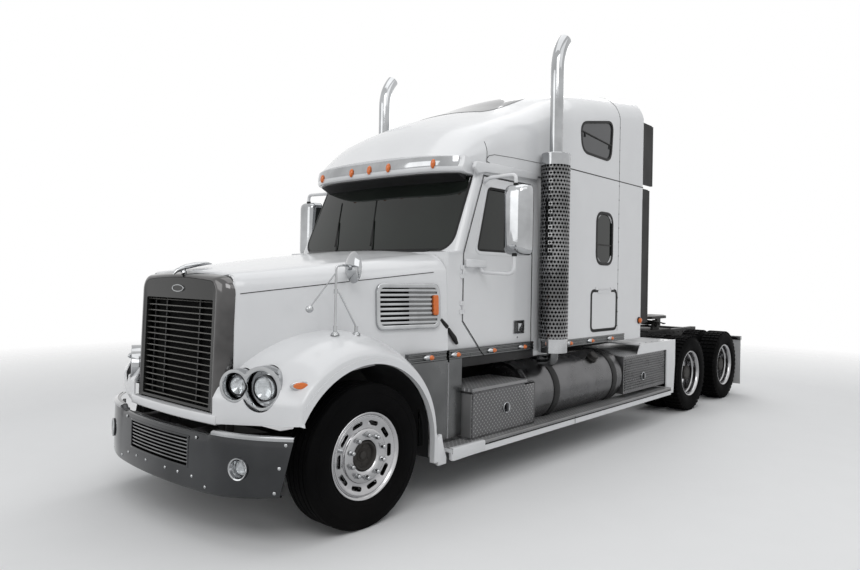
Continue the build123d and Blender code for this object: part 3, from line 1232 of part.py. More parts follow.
with BuildPart() as side_fairings:
    for side in (-1, 1):
        x = (side * BOARD_X[0], side * BOARD_X[1])
        block(x, spans(BOARD_Y), (BOARD_Z[1] - BOARD_T, BOARD_Z[1]))
        block((x[1] - side * FAIRING_T, x[1]), spans(BOARD_Y), BOARD_Z)
        box_edge_y = REAR_BOX_Y[1] + FAIRING_BOX_GAP
        box_edge_z = REAR_BOX_Z[1] + FAIRING_BOX_GAP
        fairing = [
            (box_edge_y, BOARD_Z[0]),
            (FAIRING_BACK_Y - 40, BOARD_Z[0]),
            (FAIRING_BACK_Y, FAIRING_TOP_Z - 300),
            (FAIRING_BACK_Y, FAIRING_TOP_Z),
            (FAIRING_FRONT_Y + 80, FAIRING_TOP_Z),
            (FAIRING_FRONT_Y, box_edge_z),
            (box_edge_y, box_edge_z),
        ]
        outer_x = BOARD_X[1] - FAIRING_INSET
        prism(side_plane(outer_x - FAIRING_T if side > 0 else -outer_x), fairing, FAIRING_T)
        shelf_y = spans((FAIRING_FRONT_Y + 80, FAIRING_BACK_Y - 60))
        block((side * SHELF_X, side * (outer_x - 4)), shelf_y, (FAIRING_TOP_Z - FAIRING_T, FAIRING_TOP_Z))
        hanger_x = (side * (BOARD_X[0] + 18), x[1] - side * 80)
        block(hanger_x, spans(STEP_HANGER_Y), (BOARD_Z[1], FRONT_BOX_Z[0]))
save(side_fairings.part, "side_fairings")

with BuildPart() as mudflaps:
    for side in (-1, 1):
        x = (side * MUDFLAP_X[0], side * MUDFLAP_X[1])
        y = DRIVE_Y[1] + TYRE_R + MUDFLAP_GAP
        block(x, (y, y + MUDFLAP_T), MUDFLAP_Z)
        hanger_y = (y + MUDFLAP_T, y + MUDFLAP_T + HANGER_W)
        block((side * RAIL_X, x[1]), hanger_y, (MUDFLAP_Z[1] - HANGER_H, MUDFLAP_Z[1]))
save(mudflaps.part, "mudflaps")
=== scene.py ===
"""Looks of the semi truck tractor unit, in metres. Forward is -Y, the truck's left is +X, up is +Z."""
from math import atan2, ceil, cos, hypot, pi, radians, sin, sqrt, tan

import bmesh
import bpy
from mathutils import Matrix, Vector
from mathutils.bvhtree import BVHTree


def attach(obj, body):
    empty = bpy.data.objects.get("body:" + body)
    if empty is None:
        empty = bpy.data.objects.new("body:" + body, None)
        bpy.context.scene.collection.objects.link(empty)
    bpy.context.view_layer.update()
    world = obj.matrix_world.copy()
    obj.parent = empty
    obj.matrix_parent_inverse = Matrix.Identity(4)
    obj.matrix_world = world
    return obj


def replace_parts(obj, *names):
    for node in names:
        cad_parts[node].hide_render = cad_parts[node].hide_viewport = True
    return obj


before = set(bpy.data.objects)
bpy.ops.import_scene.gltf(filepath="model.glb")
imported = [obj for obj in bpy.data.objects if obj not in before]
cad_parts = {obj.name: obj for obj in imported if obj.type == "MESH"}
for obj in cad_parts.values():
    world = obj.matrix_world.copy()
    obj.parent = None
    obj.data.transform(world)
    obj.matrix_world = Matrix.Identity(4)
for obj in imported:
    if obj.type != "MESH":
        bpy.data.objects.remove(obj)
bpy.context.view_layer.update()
scene = bpy.context.scene
SIDES = ((1, "left"), (-1, "right"))
AXLE_Y = -3.5
AXLE_Z = 0.503


def station(y):
    """Row-frame Y of a distance behind the front axle."""
    return AXLE_Y + y


def mm(rows):
    """A table given in millimetres, in metres."""
    return [tuple(round(value / 1000, 6) for value in row) for row in rows]


def placed(rows):
    """Points from rows of x, distance behind the front axle and z, in millimetres."""
    return [(x, station(y), z) for x, y, z in mm(rows)]


def box_line(x0, y0, x1, y1):
    """Rectangle between two corners given in millimetres."""
    return mm([(x0, y0), (x1, y0), (x1, y1), (x0, y1)])


# ==== shader node groups ====

def socket(tree, name, kind, way, value=None):
    made = tree.interface.new_socket(name=name, in_out=way, socket_type="NodeSocket" + kind)
    if value is not None:
        made.default_value = value
    return made


def shader_group(name, inputs, outputs):
    """Empty group with named float, colour or vector sockets; returns tree, input node and output node."""
    tree = bpy.data.node_groups.new(name, "ShaderNodeTree")
    for label, kind, value in inputs:
        socket(tree, label, kind, "INPUT", value)
    for label, kind in outputs:
        socket(tree, label, kind, "OUTPUT")
    return tree, tree.nodes.new("NodeGroupInput"), tree.nodes.new("NodeGroupOutput")


def add_node(tree, kind, links=None, **settings):
    """Node with settings, and links of input name or number to an output socket or a plain value."""
    made = tree.nodes.new(kind)
    for key, value in settings.items():
        setattr(made, key, value)
    for key, value in (links or {}).items():
        if isinstance(value, bpy.types.NodeSocket):
            tree.links.new(value, made.inputs[key])
        else:
            made.inputs[key].default_value = value
    return made


def map_range(tree, value, low, high, out_low, out_high):
    limits = {"From Min": low, "From Max": high, "To Min": out_low, "To Max": out_high}
    return add_node(tree, "ShaderNodeMapRange", {"Value": value, **limits}).outputs["Result"]


def maths(tree, operation, a, b=0.0):
    return add_node(tree, "ShaderNodeMath", {0: a, 1: b}, operation=operation).outputs[0]


def object_place(tree):
    return add_node(tree, "ShaderNodeTexCoord").outputs["Object"]


def noise_node(tree, place, scale, detail):
    links = {"Vector": place, "Scale": scale, "Detail": detail}
    return add_node(tree, "ShaderNodeTexNoise", links).outputs["Fac"]


def mottle_group():
    """Soft patches that vary a finish's roughness and shade; on the chrome, stainless and tank finishes the
    darker patches are painted reflection.
    """
    inputs = [
        ("Scale", "Float", 3.0), ("Low", "Float", 0.2), ("High", "Float", 0.3), ("Shade", "Float", 0.06)
    ]
    tree, into, out = shader_group("Mottle", inputs, [("Roughness", "Float"), ("Tone", "Float")])
    place = object_place(tree)
    noise = noise_node(tree, place, into.outputs["Scale"], 5.0)
    rough = map_range(tree, noise, 0.3, 0.7, into.outputs["Low"], into.outputs["High"])
    floor = maths(tree, "SUBTRACT", 1.0, into.outputs["Shade"])
    tone = map_range(tree, noise, 0.35, 0.65, floor, 1.0)
    tree.links.new(rough, out.inputs["Roughness"])
    tree.links.new(tone, out.inputs["Tone"])
    return tree


def road_film_group():
    """Mask of road film: strongest near the ground, broken up by noise."""
    inputs = [("Reach", "Float", 1.2), ("Amount", "Float", 0.4), ("Scale", "Float", 4.0)]
    tree, into, out = shader_group("Road film", inputs, [("Mask", "Float")])
    place = object_place(tree)
    height = add_node(tree, "ShaderNodeSeparateXYZ", {"Vector": place}).outputs["Z"]
    fade = map_range(tree, height, 0.0, into.outputs["Reach"], 1.0, 0.0)
    patch = map_range(tree, noise_node(tree, place, into.outputs["Scale"], 8.0), 0.35, 0.7, 0.2, 1.0)
    mask = maths(tree, "MULTIPLY", maths(tree, "MULTIPLY", fade, patch), into.outputs["Amount"])
    tree.links.new(mask, out.inputs["Mask"])
    return tree


def grain_group():
    """Fine brushed lines: noise drawn out along one axis by the stretch vector."""
    inputs = [("Stretch", "Vector", (4.0, 400.0, 400.0)), ("Depth", "Float", 0.2)]
    tree, into, out = shader_group("Brushed grain", inputs, [("Height", "Float"), ("Streak", "Float")])
    place = object_place(tree)
    drawn = add_node(
        tree, "ShaderNodeVectorMath", {0: place, 1: into.outputs["Stretch"]}, operation="MULTIPLY"
    )
    noise = noise_node(tree, drawn.outputs[0], 1.0, 4.0)
    height = maths(tree, "MULTIPLY", noise, into.outputs["Depth"])
    tree.links.new(height, out.inputs["Height"])
    tree.links.new(noise, out.inputs["Streak"])
    return tree


def orange_peel_group():
    """Faint ripple of sprayed paint."""
    tree, into, out = shader_group("Orange peel", [("Scale", "Float", 260.0)], [("Height", "Float")])
    place = object_place(tree)
    tree.links.new(noise_node(tree, place, into.outputs["Scale"], 2.0), out.inputs["Height"])
    return tree


def tread_plate_group():
    """Raised lozenges in alternate directions on a square grid laid in the plane of two axes."""
    inputs = [
        ("Across", "Vector", (1.0, 0.0, 0.0)), ("Along", "Vector", (0.0, 1.0, 0.0)),
        ("Pitch", "Float", 0.03)
    ]
    tree, into, out = shader_group("Tread plate", inputs, [("Height", "Float")])
    place = object_place(tree)
    cells = []
    for label in ("Across", "Along"):
        axes = {0: place, 1: into.outputs[label]}
        dot = add_node(tree, "ShaderNodeVectorMath", axes, operation="DOT_PRODUCT")
        cells.append(maths(tree, "DIVIDE", dot.outputs["Value"], into.outputs["Pitch"]))
    diagonal = maths(tree, "ADD", cells[0], cells[1])
    contrary = maths(tree, "SUBTRACT", cells[0], cells[1])
    floors = maths(tree, "ADD", maths(tree, "FLOOR", diagonal), maths(tree, "FLOOR", contrary))
    parity = maths(tree, "PINGPONG", floors, 1.0)
    local_a = maths(tree, "ABSOLUTE", maths(tree, "SUBTRACT", maths(tree, "FRACT", diagonal), 0.5))
    local_b = maths(tree, "ABSOLUTE", maths(tree, "SUBTRACT", maths(tree, "FRACT", contrary), 0.5))
    flat = maths(tree, "ADD", maths(tree, "MULTIPLY", local_a, 5.5), maths(tree, "MULTIPLY", local_b, 2.3))
    tall = maths(tree, "ADD", maths(tree, "MULTIPLY", local_a, 2.3), maths(tree, "MULTIPLY", local_b, 5.5))
    chosen = add_node(tree, "ShaderNodeMix", {0: parity, 2: flat, 3: tall}).outputs[0]
    height = map_range(tree, chosen, 0.75, 1.05, 1.0, 0.0)
    tree.links.new(height, out.inputs["Height"])
    return tree


MOTTLE = mottle_group()
ROAD_FILM = road_film_group()
GRAIN = grain_group()
ORANGE_PEEL = orange_peel_group()
TREAD_PLATE = tread_plate_group()
FILM_COLOUR = (0.16, 0.14, 0.12, 1.0)


# ==== materials ====

def grouped(tree, group, **values):
    made = tree.nodes.new("ShaderNodeGroup")
    made.node_tree = group
    for key, value in values.items():
        made.inputs[key].default_value = value
    return made


def bumped(tree, shader, height, strength, distance):
    links = {"Strength": strength, "Distance": distance, "Height": height}
    bump = add_node(tree, "ShaderNodeBump", links)
    tree.links.new(bump.outputs["Normal"], shader.inputs["Normal"])


def colour_mix(tree, share, low, high, way="MIX"):
    links = {0: share, 6: low, 7: high}
    return add_node(tree, "ShaderNodeMix", links, data_type="RGBA", blend_type=way).outputs[2]


def finish(
    name, colour, low, high, metallic=0.0, film=0.0, reach=1.2, shade=0.06, coat=0.0, scale=3.0,
    height=None, gloss=0.5, raised=None
):
    """Mottled principled material; film adds road film, and height gives an output, a strength and a
    distance for the bump; raised is the colour of what the height lifts, a painted highlight. On the
    chrome, stainless and tank metals the mottle's darker patches are painted reflection."""
    made = bpy.data.materials.new(name)
    made.use_nodes = True
    made.diffuse_color = (*colour, 1.0)
    tree = made.node_tree
    shader = tree.nodes["Principled BSDF"]
    shader.inputs["Metallic"].default_value = metallic
    shader.inputs["Coat Weight"].default_value = coat
    shader.inputs["Specular IOR Level"].default_value = gloss
    shader.inputs["Coat Roughness"].default_value = 0.04
    mottle = grouped(tree, MOTTLE, Scale=scale, Low=low, High=high, Shade=shade)
    tree.links.new(mottle.outputs["Roughness"], shader.inputs["Roughness"])
    result = colour_mix(tree, 1.0, (*colour, 1.0), mottle.outputs["Tone"], "MULTIPLY")
    if film:
        mask = grouped(tree, ROAD_FILM, Reach=reach, Amount=film)
        result = colour_mix(tree, mask.outputs["Mask"], result, FILM_COLOUR)
    if height:
        source, strength, distance = height(tree)
        if raised:
            result = colour_mix(tree, source, result, (*raised, 1.0))
        bumped(tree, shader, source, strength, distance)
    tree.links.new(result, shader.inputs["Base Color"])
    return made


def peel(tree):
    return grouped(tree, ORANGE_PEEL).outputs["Height"], 0.04, 0.0005


def brushed(stretch, strength=0.12):
    def build(tree):
        return grouped(tree, GRAIN, Stretch=stretch, Depth=1.0).outputs["Height"], strength, 0.0006
    return build


def plated(across, along, pitch, strength=0.9):
    def build(tree):
        made = grouped(tree, TREAD_PLATE, Across=across, Along=along, Pitch=pitch)
        return made.outputs["Height"], strength, 0.003
    return build


def noisy(scale, strength, distance):
    def build(tree):
        return grouped(tree, ORANGE_PEEL, Scale=scale).outputs["Height"], strength, distance
    return build


PAINT = finish(
    "gloss_white_paint", (0.715, 0.72, 0.73), 0.16, 0.26, coat=0.3, shade=0.03, film=0.05, reach=1.0,
    height=peel
)
CHASSIS = finish(
    "chassis_black_paint", (0.012, 0.012, 0.013), 0.4, 0.6, film=0.25, reach=1.2, gloss=0.25,
    height=noisy(120.0, 0.2, 0.001)
)
CAST = finish(
    "cast_steel", (0.035, 0.034, 0.033), 0.5, 0.75, metallic=0.4, film=0.25, gloss=0.3,
    height=noisy(220.0, 0.35, 0.0015)
)
# chrome whose large darker patches stand in for reflection streaks: painted reflection
CHROME = finish("chrome_painted_reflection_streaks", (0.47, 0.48, 0.49), 0.05, 0.1, metallic=1.0, shade=0.3)
# chrome darkened to the dark reflections it shows, with large darker patches: painted dark reflection
CHROME_DARK_REFLECTION = finish("chrome_painted_dark_reflection", (0.075, 0.077, 0.08), 0.05, 0.12, metallic=1.0, shade=0.35, scale=1.6)
# chrome at a middle darkness with large darker patches: painted reflection
FLANK_CHROME = finish("chrome_painted_mid_reflection", (0.27, 0.272, 0.275), 0.06, 0.12, metallic=1.0, shade=0.55, scale=2.2)
# chrome of the grille shell darkened, with large darker patches: painted dark reflection
SHELL_DARK_REFLECTION = finish(
    "shell_chrome_painted_dark_reflection", (0.12, 0.118, 0.118), 0.06, 0.12, metallic=1.0, shade=0.6, scale=2.2
)
BLACK_GLOSS = finish("black_gloss_panel", (0.014, 0.014, 0.013), 0.12, 0.2, gloss=0.3)
BAR_STEEL = finish("grille_bar_steel", (0.11, 0.108, 0.1), 0.22, 0.34, metallic=0.9, shade=0.1)
# stainless darkened to the dark reflections it shows, with large darker patches: painted dark reflection; the
# road film is dirt
STAINLESS = finish(
    "stainless_painted_dark_reflection", (0.155, 0.158, 0.16), 0.16, 0.3, metallic=1.0, shade=0.3, film=0.15, reach=1.0
)
WHEEL_ALLOY = finish(
    "polished_wheel_alloy", (0.52, 0.52, 0.53), 0.12, 0.24, metallic=1.0, shade=0.22, film=0.1, reach=1.0
)
# tank alloy darkened, with large darker patches: painted shade and dark reflection; its brushed grain and
# road film are real
TANK_ALLOY = finish(
    "tank_alloy_painted_shade_and_reflection", (0.15, 0.15, 0.154), 0.2, 0.34, metallic=1.0, shade=0.35, film=0.1,
    height=brushed((500.0, 6.0, 500.0))
)
# the side copy of the tread plate, darker than the top copy: painted shade; its lighter raised lozenges are a
# painted highlight
PLATE_IN_SHADE = finish(
    "tread_plate_shaded_side", (0.14, 0.14, 0.143), 0.28, 0.4, metallic=0.7, shade=0.12, film=0.1,
    raised=(0.34, 0.34, 0.345), height=plated((0, 1, 0), (0, 0, 1), 0.046)
)
# the top copy of the tread plate, lighter than the side copy: painted light from above; its lighter raised
# lozenges are a painted highlight
PLATE_LIT_FROM_ABOVE = finish(
    "tread_plate_lit_top", (0.26, 0.26, 0.263), 0.3, 0.45, metallic=0.35, shade=0.12, film=0.1,
    raised=(0.6, 0.6, 0.605), height=plated((1, 0, 0), (0, 1, 0), 0.046)
)
BOX_ALLOY = finish("box_panel_alloy", (0.26, 0.26, 0.262), 0.28, 0.4, metallic=0.6, shade=0.15, film=0.12)
TYRE = finish(
    "tyre_rubber", (0.0028, 0.0028, 0.003), 0.6, 0.85, film=0.02, reach=0.5, gloss=0.04,
    height=noisy(300.0, 0.15, 0.001)
)
RUBBER = finish("black_rubber", (0.01, 0.01, 0.01), 0.45, 0.6, shade=0.1, gloss=0.25)
FLAP_WHITE = finish("pale_mudflap", (0.5, 0.505, 0.51), 0.4, 0.55, film=0.3, reach=1.0)
PLASTIC = finish(
    "black_plastic", (0.015, 0.015, 0.016), 0.35, 0.5, gloss=0.3, height=noisy(400.0, 0.15, 0.0006)
)
DARK = finish("shadow_black", (0.003, 0.003, 0.003), 0.7, 0.9, gloss=0.1)
AMBER = finish(
    "amber_lens", (0.72, 0.145, 0.003), 0.12, 0.2, coat=0.4, shade=0.15, scale=40.0,
    height=noisy(160.0, 0.3, 0.001)
)
RED_LENS = finish("red_lens", (0.4, 0.01, 0.012), 0.12, 0.2, coat=0.4, shade=0.15, scale=40.0)
DARK_GLASS = finish(
    "tinted_glass", (0.011, 0.015, 0.012), 0.02, 0.05, coat=0.0, shade=0.4, scale=1.6, gloss=0.36
)
SKYLIGHT = finish("grey_tinted_glass", (0.055, 0.056, 0.06), 0.04, 0.1, coat=0.0, shade=0.1)
MIRROR = finish("mirror_glass", (0.7, 0.71, 0.72), 0.02, 0.04, metallic=1.0, shade=0.03)
FABRIC = finish("seat_fabric_grey", (0.09, 0.09, 0.095), 0.8, 0.95, height=noisy(900.0, 0.4, 0.001))
GREASE = finish(
    "greased_plate", (0.02, 0.019, 0.018), 0.25, 0.6, metallic=0.6, film=0.2, gloss=0.3,
    height=noisy(60.0, 0.4, 0.002)
)


def lens_material():
    """Clear moulded lamp lens with a faint ripple."""
    made = bpy.data.materials.new("clear_lamp_lens")
    made.use_nodes = True
    tree = made.node_tree
    shader = tree.nodes["Principled BSDF"]
    shader.inputs["Base Color"].default_value = (0.9, 0.92, 0.93, 1.0)
    shader.inputs["Roughness"].default_value = 0.03
    shader.inputs["IOR"].default_value = 1.45
    shader.inputs["Transmission Weight"].default_value = 0.85
    fine = grouped(tree, ORANGE_PEEL, Scale=60.0)
    bumped(tree, shader, fine.outputs["Height"], 0.1, 0.001)
    return made


LENS = lens_material()


# ==== mesh helpers ====

def mesh_from(verts, faces, name="part"):
    """Mesh with doubles merged and faces turned outwards."""
    mesh = bpy.data.meshes.new(name)
    mesh.from_pydata([tuple(v) for v in verts], [], faces)
    work = bmesh.new()
    work.from_mesh(mesh)
    bmesh.ops.remove_doubles(work, verts=work.verts, dist=1e-5)
    bmesh.ops.recalc_face_normals(work, faces=work.faces)
    work.to_mesh(mesh)
    work.free()
    return mesh


def joined(meshes, name="part"):
    """One mesh from several."""
    work = bmesh.new()
    for mesh in meshes:
        work.from_mesh(mesh)
    whole = bpy.data.meshes.new(name)
    work.to_mesh(whole)
    work.free()
    return whole


def moved(mesh, matrix):
    """A copy of a mesh put through a matrix, with its faces still outwards."""
    copy = mesh.copy()
    copy.transform(matrix)
    if matrix.determinant() < 0:
        copy.flip_normals()
    return copy


def shift(x, y, z):
    return Matrix.Translation((x, y, z))


def along_axes(x, y, z):
    """Turn that takes the axes to three directions."""
    return Matrix((x, y, z)).transposed().to_4x4()


def mirrored(mesh):
    return moved(mesh, Matrix.Diagonal((-1, 1, 1, 1)))


def linked(name, data):
    """A new object of the scene."""
    made = bpy.data.objects.new(name, data)
    scene.collection.objects.link(made)
    return made


def shaped(mesh, kind, inputs=None, **settings):
    """What a modifier makes of a mesh; inputs are a node tree's sockets."""
    made = linked("shaped", mesh)
    step = made.modifiers.new("step", kind)
    for key, value in settings.items():
        setattr(step, key, value)
    for key, value in (inputs or {}).items():
        step[key] = value
    view = bpy.context.evaluated_depsgraph_get()
    result = bpy.data.meshes.new_from_object(made.evaluated_get(view))
    bpy.data.objects.remove(made)
    return result


def softened(mesh, width, segments=2, angle=50):
    """A mesh with its sharp edges beveled."""
    return shaped(mesh, "BEVEL", width=width, segments=segments, angle_limit=radians(angle))


def piece(name, mesh, material, body="chassis", angle=32, bevel=0.0, segments=2):
    """Show a mesh as a named piece that rides on a body, its edges under the angle shaded smooth."""
    made = linked(name, softened(mesh, bevel, segments, 35) if bevel else mesh)
    made.data.materials.clear()
    made.data.materials.append(material)
    made.data.polygons.foreach_set("material_index", [0] * len(made.data.polygons))
    made.data.polygons.foreach_set("use_smooth", [True] * len(made.data.polygons))
    made.data.set_sharp_from_angle(angle=radians(angle))
    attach(made, body)
    return made


def pair(name, mesh, material, bodies="chassis", **settings):
    """A left piece and its mirrored right one; {side} in the body's name stands for each side."""
    made = []
    for side, end in SIDES:
        body = bodies.format(side=end)
        made.append(piece(f"{name}_{end}", mesh if side > 0 else mirrored(mesh), material, body, **settings))
    return made


def circle_through(a, b, c):
    """Centre and radius of the circle through three points."""
    d = 2 * (a[0] * (b[1] - c[1]) + b[0] * (c[1] - a[1]) + c[0] * (a[1] - b[1]))
    squares = [p[0] ** 2 + p[1] ** 2 for p in (a, b, c)]
    x = (squares[0] * (b[1] - c[1]) + squares[1] * (c[1] - a[1]) + squares[2] * (a[1] - b[1])) / d
    y = (squares[0] * (c[0] - b[0]) + squares[1] * (a[0] - c[0]) + squares[2] * (b[0] - a[0])) / d
    return x, y, hypot(a[0] - x, a[1] - y)


def arc3(a, b, c, count):
    """Points along the circular arc through three 2-D points."""
    ux, uy, radius = circle_through(a, b, c)
    start = atan2(a[1] - uy, a[0] - ux)
    turn_b = (atan2(b[1] - uy, b[0] - ux) - start) % (2 * pi)
    turn_c = (atan2(c[1] - uy, c[0] - ux) - start) % (2 * pi)
    sweep = turn_c if turn_b < turn_c else turn_c - 2 * pi
    return [
        (ux + radius * cos(start + sweep * i / count), uy + radius * sin(start + sweep * i / count))
        for i in range(count + 1)
    ]


def turned_corner(before, corner, after, radius, steps):
    """Points that round the corner between two straight runs."""
    before, after = before - corner, after - corner
    reach = min(radius, before.length * 0.49, after.length * 0.49)
    a = corner + before.normalized() * reach
    b = corner + after.normalized() * reach
    return [
        a * (1 - t) ** 2 + corner * 2 * t * (1 - t) + b * t**2
        for t in (k / steps for k in range(steps + 1))
    ]


def rounded(points, radius, steps=5):
    """A closed 2-D outline with each corner rounded."""
    made = []
    points = [Vector(p) for p in points]
    for i, corner in enumerate(points):
        made += turned_corner(points[i - 1], corner, points[(i + 1) % len(points)], radius, steps)
    return [tuple(p) for p in made]


def finer(line, count):
    """An open line's points with each run between them divided into equal parts."""
    made = []
    for (x0, y0), (x1, y1) in zip(line, line[1:]):
        made += [(x0 + (x1 - x0) * k / count, y0 + (y1 - y0) * k / count) for k in range(count)]
    return made


def loft(rings, closed=True, cap=True):
    """Skin between rings of equal length; closed rings may be capped at both ends."""
    count = len(rings[0])
    verts = [p for ring in rings for p in ring]
    faces = []
    for r in range(len(rings) - 1):
        for i in range(count if closed else count - 1):
            j = (i + 1) % count
            faces.append((r * count + i, r * count + j, (r + 1) * count + j, (r + 1) * count + i))
    if cap and closed:
        faces.append(tuple(range(count)))
        faces.append(tuple((len(rings) - 1) * count + i for i in range(count)))
    return mesh_from(verts, faces)


def side_slab(outline, x0, x1):
    """Prism along X of an outline of (distance behind the front axle, z)."""
    return loft([[(x, station(y), z) for y, z in outline] for x in (x0, x1)])


def plate(outline, z0, z1):
    """Prism along Z of an outline of (x, row Y)."""
    return loft([[(x, y, z) for x, y in outline] for z in (z0, z1)])


def front_slab(outline, y0, y1):
    """Prism along Y of an outline of (x, z), between two distances behind the front axle."""
    return loft([[(x, station(y), z) for x, z in outline] for y in (y0, y1)])


def brick(x, y, z):
    """Box between limits, y in the row frame."""
    return plate([(x[0], y[0]), (x[1], y[0]), (x[1], y[1]), (x[0], y[1])], *z)


def block(x, y, z):
    """Box between limits, y behind the front axle."""
    return brick(x, (station(y[0]), station(y[1])), z)


def lathe(profile, count=48, closed=True):
    """Turn an outline of (radius, height) about Z."""
    rings = []
    for i in range(count):
        turn = 2 * pi * i / count
        rings.append([(r * cos(turn), r * sin(turn), h) for r, h in profile])
    rings.append(rings[0])
    verts = [p for ring in rings for p in ring]
    size = len(profile)
    faces = []
    for r in range(count):
        for i in range(size if closed else size - 1):
            j = (i + 1) % size
            faces.append((r * size + i, r * size + j, (r + 1) * size + j, (r + 1) * size + i))
    return mesh_from(verts, faces)


def pointing(place, direction, up=(0, 0, 1)):
    """Matrix that takes +Z to a direction, at a place."""
    ahead = Vector(direction).normalized()
    across = Vector(up).cross(ahead)
    if across.length < 1e-4:
        across = Vector((1, 0, 0)) if abs(ahead.x) < 0.9 else Vector((0, 1, 0))
    across.normalize()
    above = ahead.cross(across)
    return shift(*place) @ along_axes(across, above, ahead)


def tube(points, radius, sides=14, bend=0.0, steps=6):
    """Round bar through points, its corners bent to a radius."""
    path = [Vector(p) for p in points]
    if bend:
        soft = [path[0]]
        for before, corner, after in zip(path, path[1:], path[2:]):
            soft += turned_corner(before, corner, after, bend, steps)
        path = soft + [path[-1]]
    rings = []
    across = None
    for i, p in enumerate(path):
        ahead = (path[min(i + 1, len(path) - 1)] - path[max(i - 1, 0)]).normalized()
        if across is None:
            across = ahead.orthogonal().normalized()
        across = (across - ahead * across.dot(ahead)).normalized()
        above = ahead.cross(across)
        size = radius[i] if isinstance(radius, (list, tuple)) else radius
        rings.append([
            tuple(p + across * size * cos(2 * pi * k / sides) + above * size * sin(2 * pi * k / sides))
            for k in range(sides)
        ])
    return loft(rings)


# ==== geometry node repeats ====

def geometry_tree(name, inputs):
    tree = bpy.data.node_groups.new(name, "GeometryNodeTree")
    socket(tree, "Geometry", "Geometry", "INPUT")
    for label, kind, value in inputs:
        socket(tree, label, kind, "INPUT", value)
    socket(tree, "Material", "Material", "INPUT")
    socket(tree, "Geometry", "Geometry", "OUTPUT")
    return tree, tree.nodes.new("NodeGroupInput"), tree.nodes.new("NodeGroupOutput")


def close_tree(tree, into, out, instances):
    real = add_node(tree, "GeometryNodeRealizeInstances", {"Geometry": instances})
    painted = add_node(
        tree, "GeometryNodeSetMaterial", {"Geometry": real.outputs[0], "Material": into.outputs["Material"]}
    )
    tree.links.new(painted.outputs[0], out.inputs["Geometry"])


def row_tree():
    """Copies along a straight step."""
    tree, into, out = geometry_tree(
        "Row of copies", [("Count", "Int", 4), ("Step", "Vector", (0.1, 0.0, 0.0))]
    )
    index = add_node(tree, "GeometryNodeInputIndex").outputs[0]
    place = add_node(tree, "ShaderNodeVectorMath", {0: into.outputs["Step"]}, operation="SCALE")
    tree.links.new(index, place.inputs["Scale"])
    points = add_node(
        tree, "GeometryNodePoints", {"Count": into.outputs["Count"], "Position": place.outputs[0]}
    )
    copies = add_node(
        tree, "GeometryNodeInstanceOnPoints",
        {"Points": points.outputs[0], "Instance": into.outputs["Geometry"]}
    )
    close_tree(tree, into, out, copies.outputs[0])
    return tree


def ring_tree():
    """Copies in rows about an axis through the origin, each row a step along it, odd rows staggered."""
    inputs = [
        ("Count", "Int", 10),
        ("Rows", "Int", 1),
        ("Axis", "Vector", (0.0, 0.0, 1.0)),
        ("Pitch", "Float", 0.0),
        ("Stagger", "Float", 0.0),
    ]
    tree, into, out = geometry_tree("Ring of copies", inputs)
    index = add_node(tree, "GeometryNodeInputIndex").outputs[0]
    count = into.outputs["Count"]
    total = add_node(tree, "ShaderNodeMath", {0: count, 1: into.outputs["Rows"]}, operation="MULTIPLY")
    row = maths(tree, "FLOOR", maths(tree, "DIVIDE", maths(tree, "ADD", index, 0.5), count))
    odd = maths(tree, "MODULO", row, 2.0)
    slot = maths(tree, "ADD", index, maths(tree, "MULTIPLY", odd, into.outputs["Stagger"]))
    turn = maths(tree, "MULTIPLY", maths(tree, "DIVIDE", slot, count), 2 * pi)
    rotation = add_node(
        tree, "FunctionNodeAxisAngleToRotation", {"Axis": into.outputs["Axis"], "Angle": turn}
    )
    climb = maths(tree, "MULTIPLY", row, into.outputs["Pitch"])
    place = add_node(tree, "ShaderNodeVectorMath", {0: into.outputs["Axis"]}, operation="SCALE")
    tree.links.new(climb, place.inputs["Scale"])
    points = add_node(tree, "GeometryNodePoints", {"Count": total.outputs[0], "Position": place.outputs[0]})
    copies = add_node(
        tree,
        "GeometryNodeInstanceOnPoints",
        {"Points": points.outputs[0], "Instance": into.outputs["Geometry"], "Rotation": rotation.outputs[0]},
    )
    close_tree(tree, into, out, copies.outputs[0])
    return tree


ROW = row_tree()
RING = ring_tree()


def repeated(mesh, tree, material, **values):
    """Run a repeat tree on a mesh and return the plain mesh."""
    values["Material"] = material
    sockets = [item for item in tree.interface.items_tree if item.in_out == "INPUT"]
    inputs = {item.identifier: values[item.name] for item in sockets if item.name in values}
    return shaped(mesh, "NODES", inputs, node_group=tree)


def row(mesh, count, stride, material):
    return repeated(mesh, ROW, material, Count=count, Step=stride)


def ring(mesh, count, material, rows=1, pitch=0.0, stagger=0.0):
    values = {"Count": count, "Rows": rows, "Axis": (0.0, 0.0, 1.0), "Pitch": pitch, "Stagger": stagger}
    return repeated(mesh, RING, material, **values)


def cut(mesh, cutters):
    """A mesh with closed cutter meshes taken out of it."""
    tool = linked("cut_tool", joined(cutters))
    result = shaped(mesh, "BOOLEAN", operation="DIFFERENCE", solver="EXACT", use_self=True, object=tool)
    bpy.data.objects.remove(tool)
    return result


def walled(mesh, thickness):
    """A skin given a wall on its inner side."""
    return shaped(mesh, "SOLIDIFY", thickness=thickness, offset=-1)


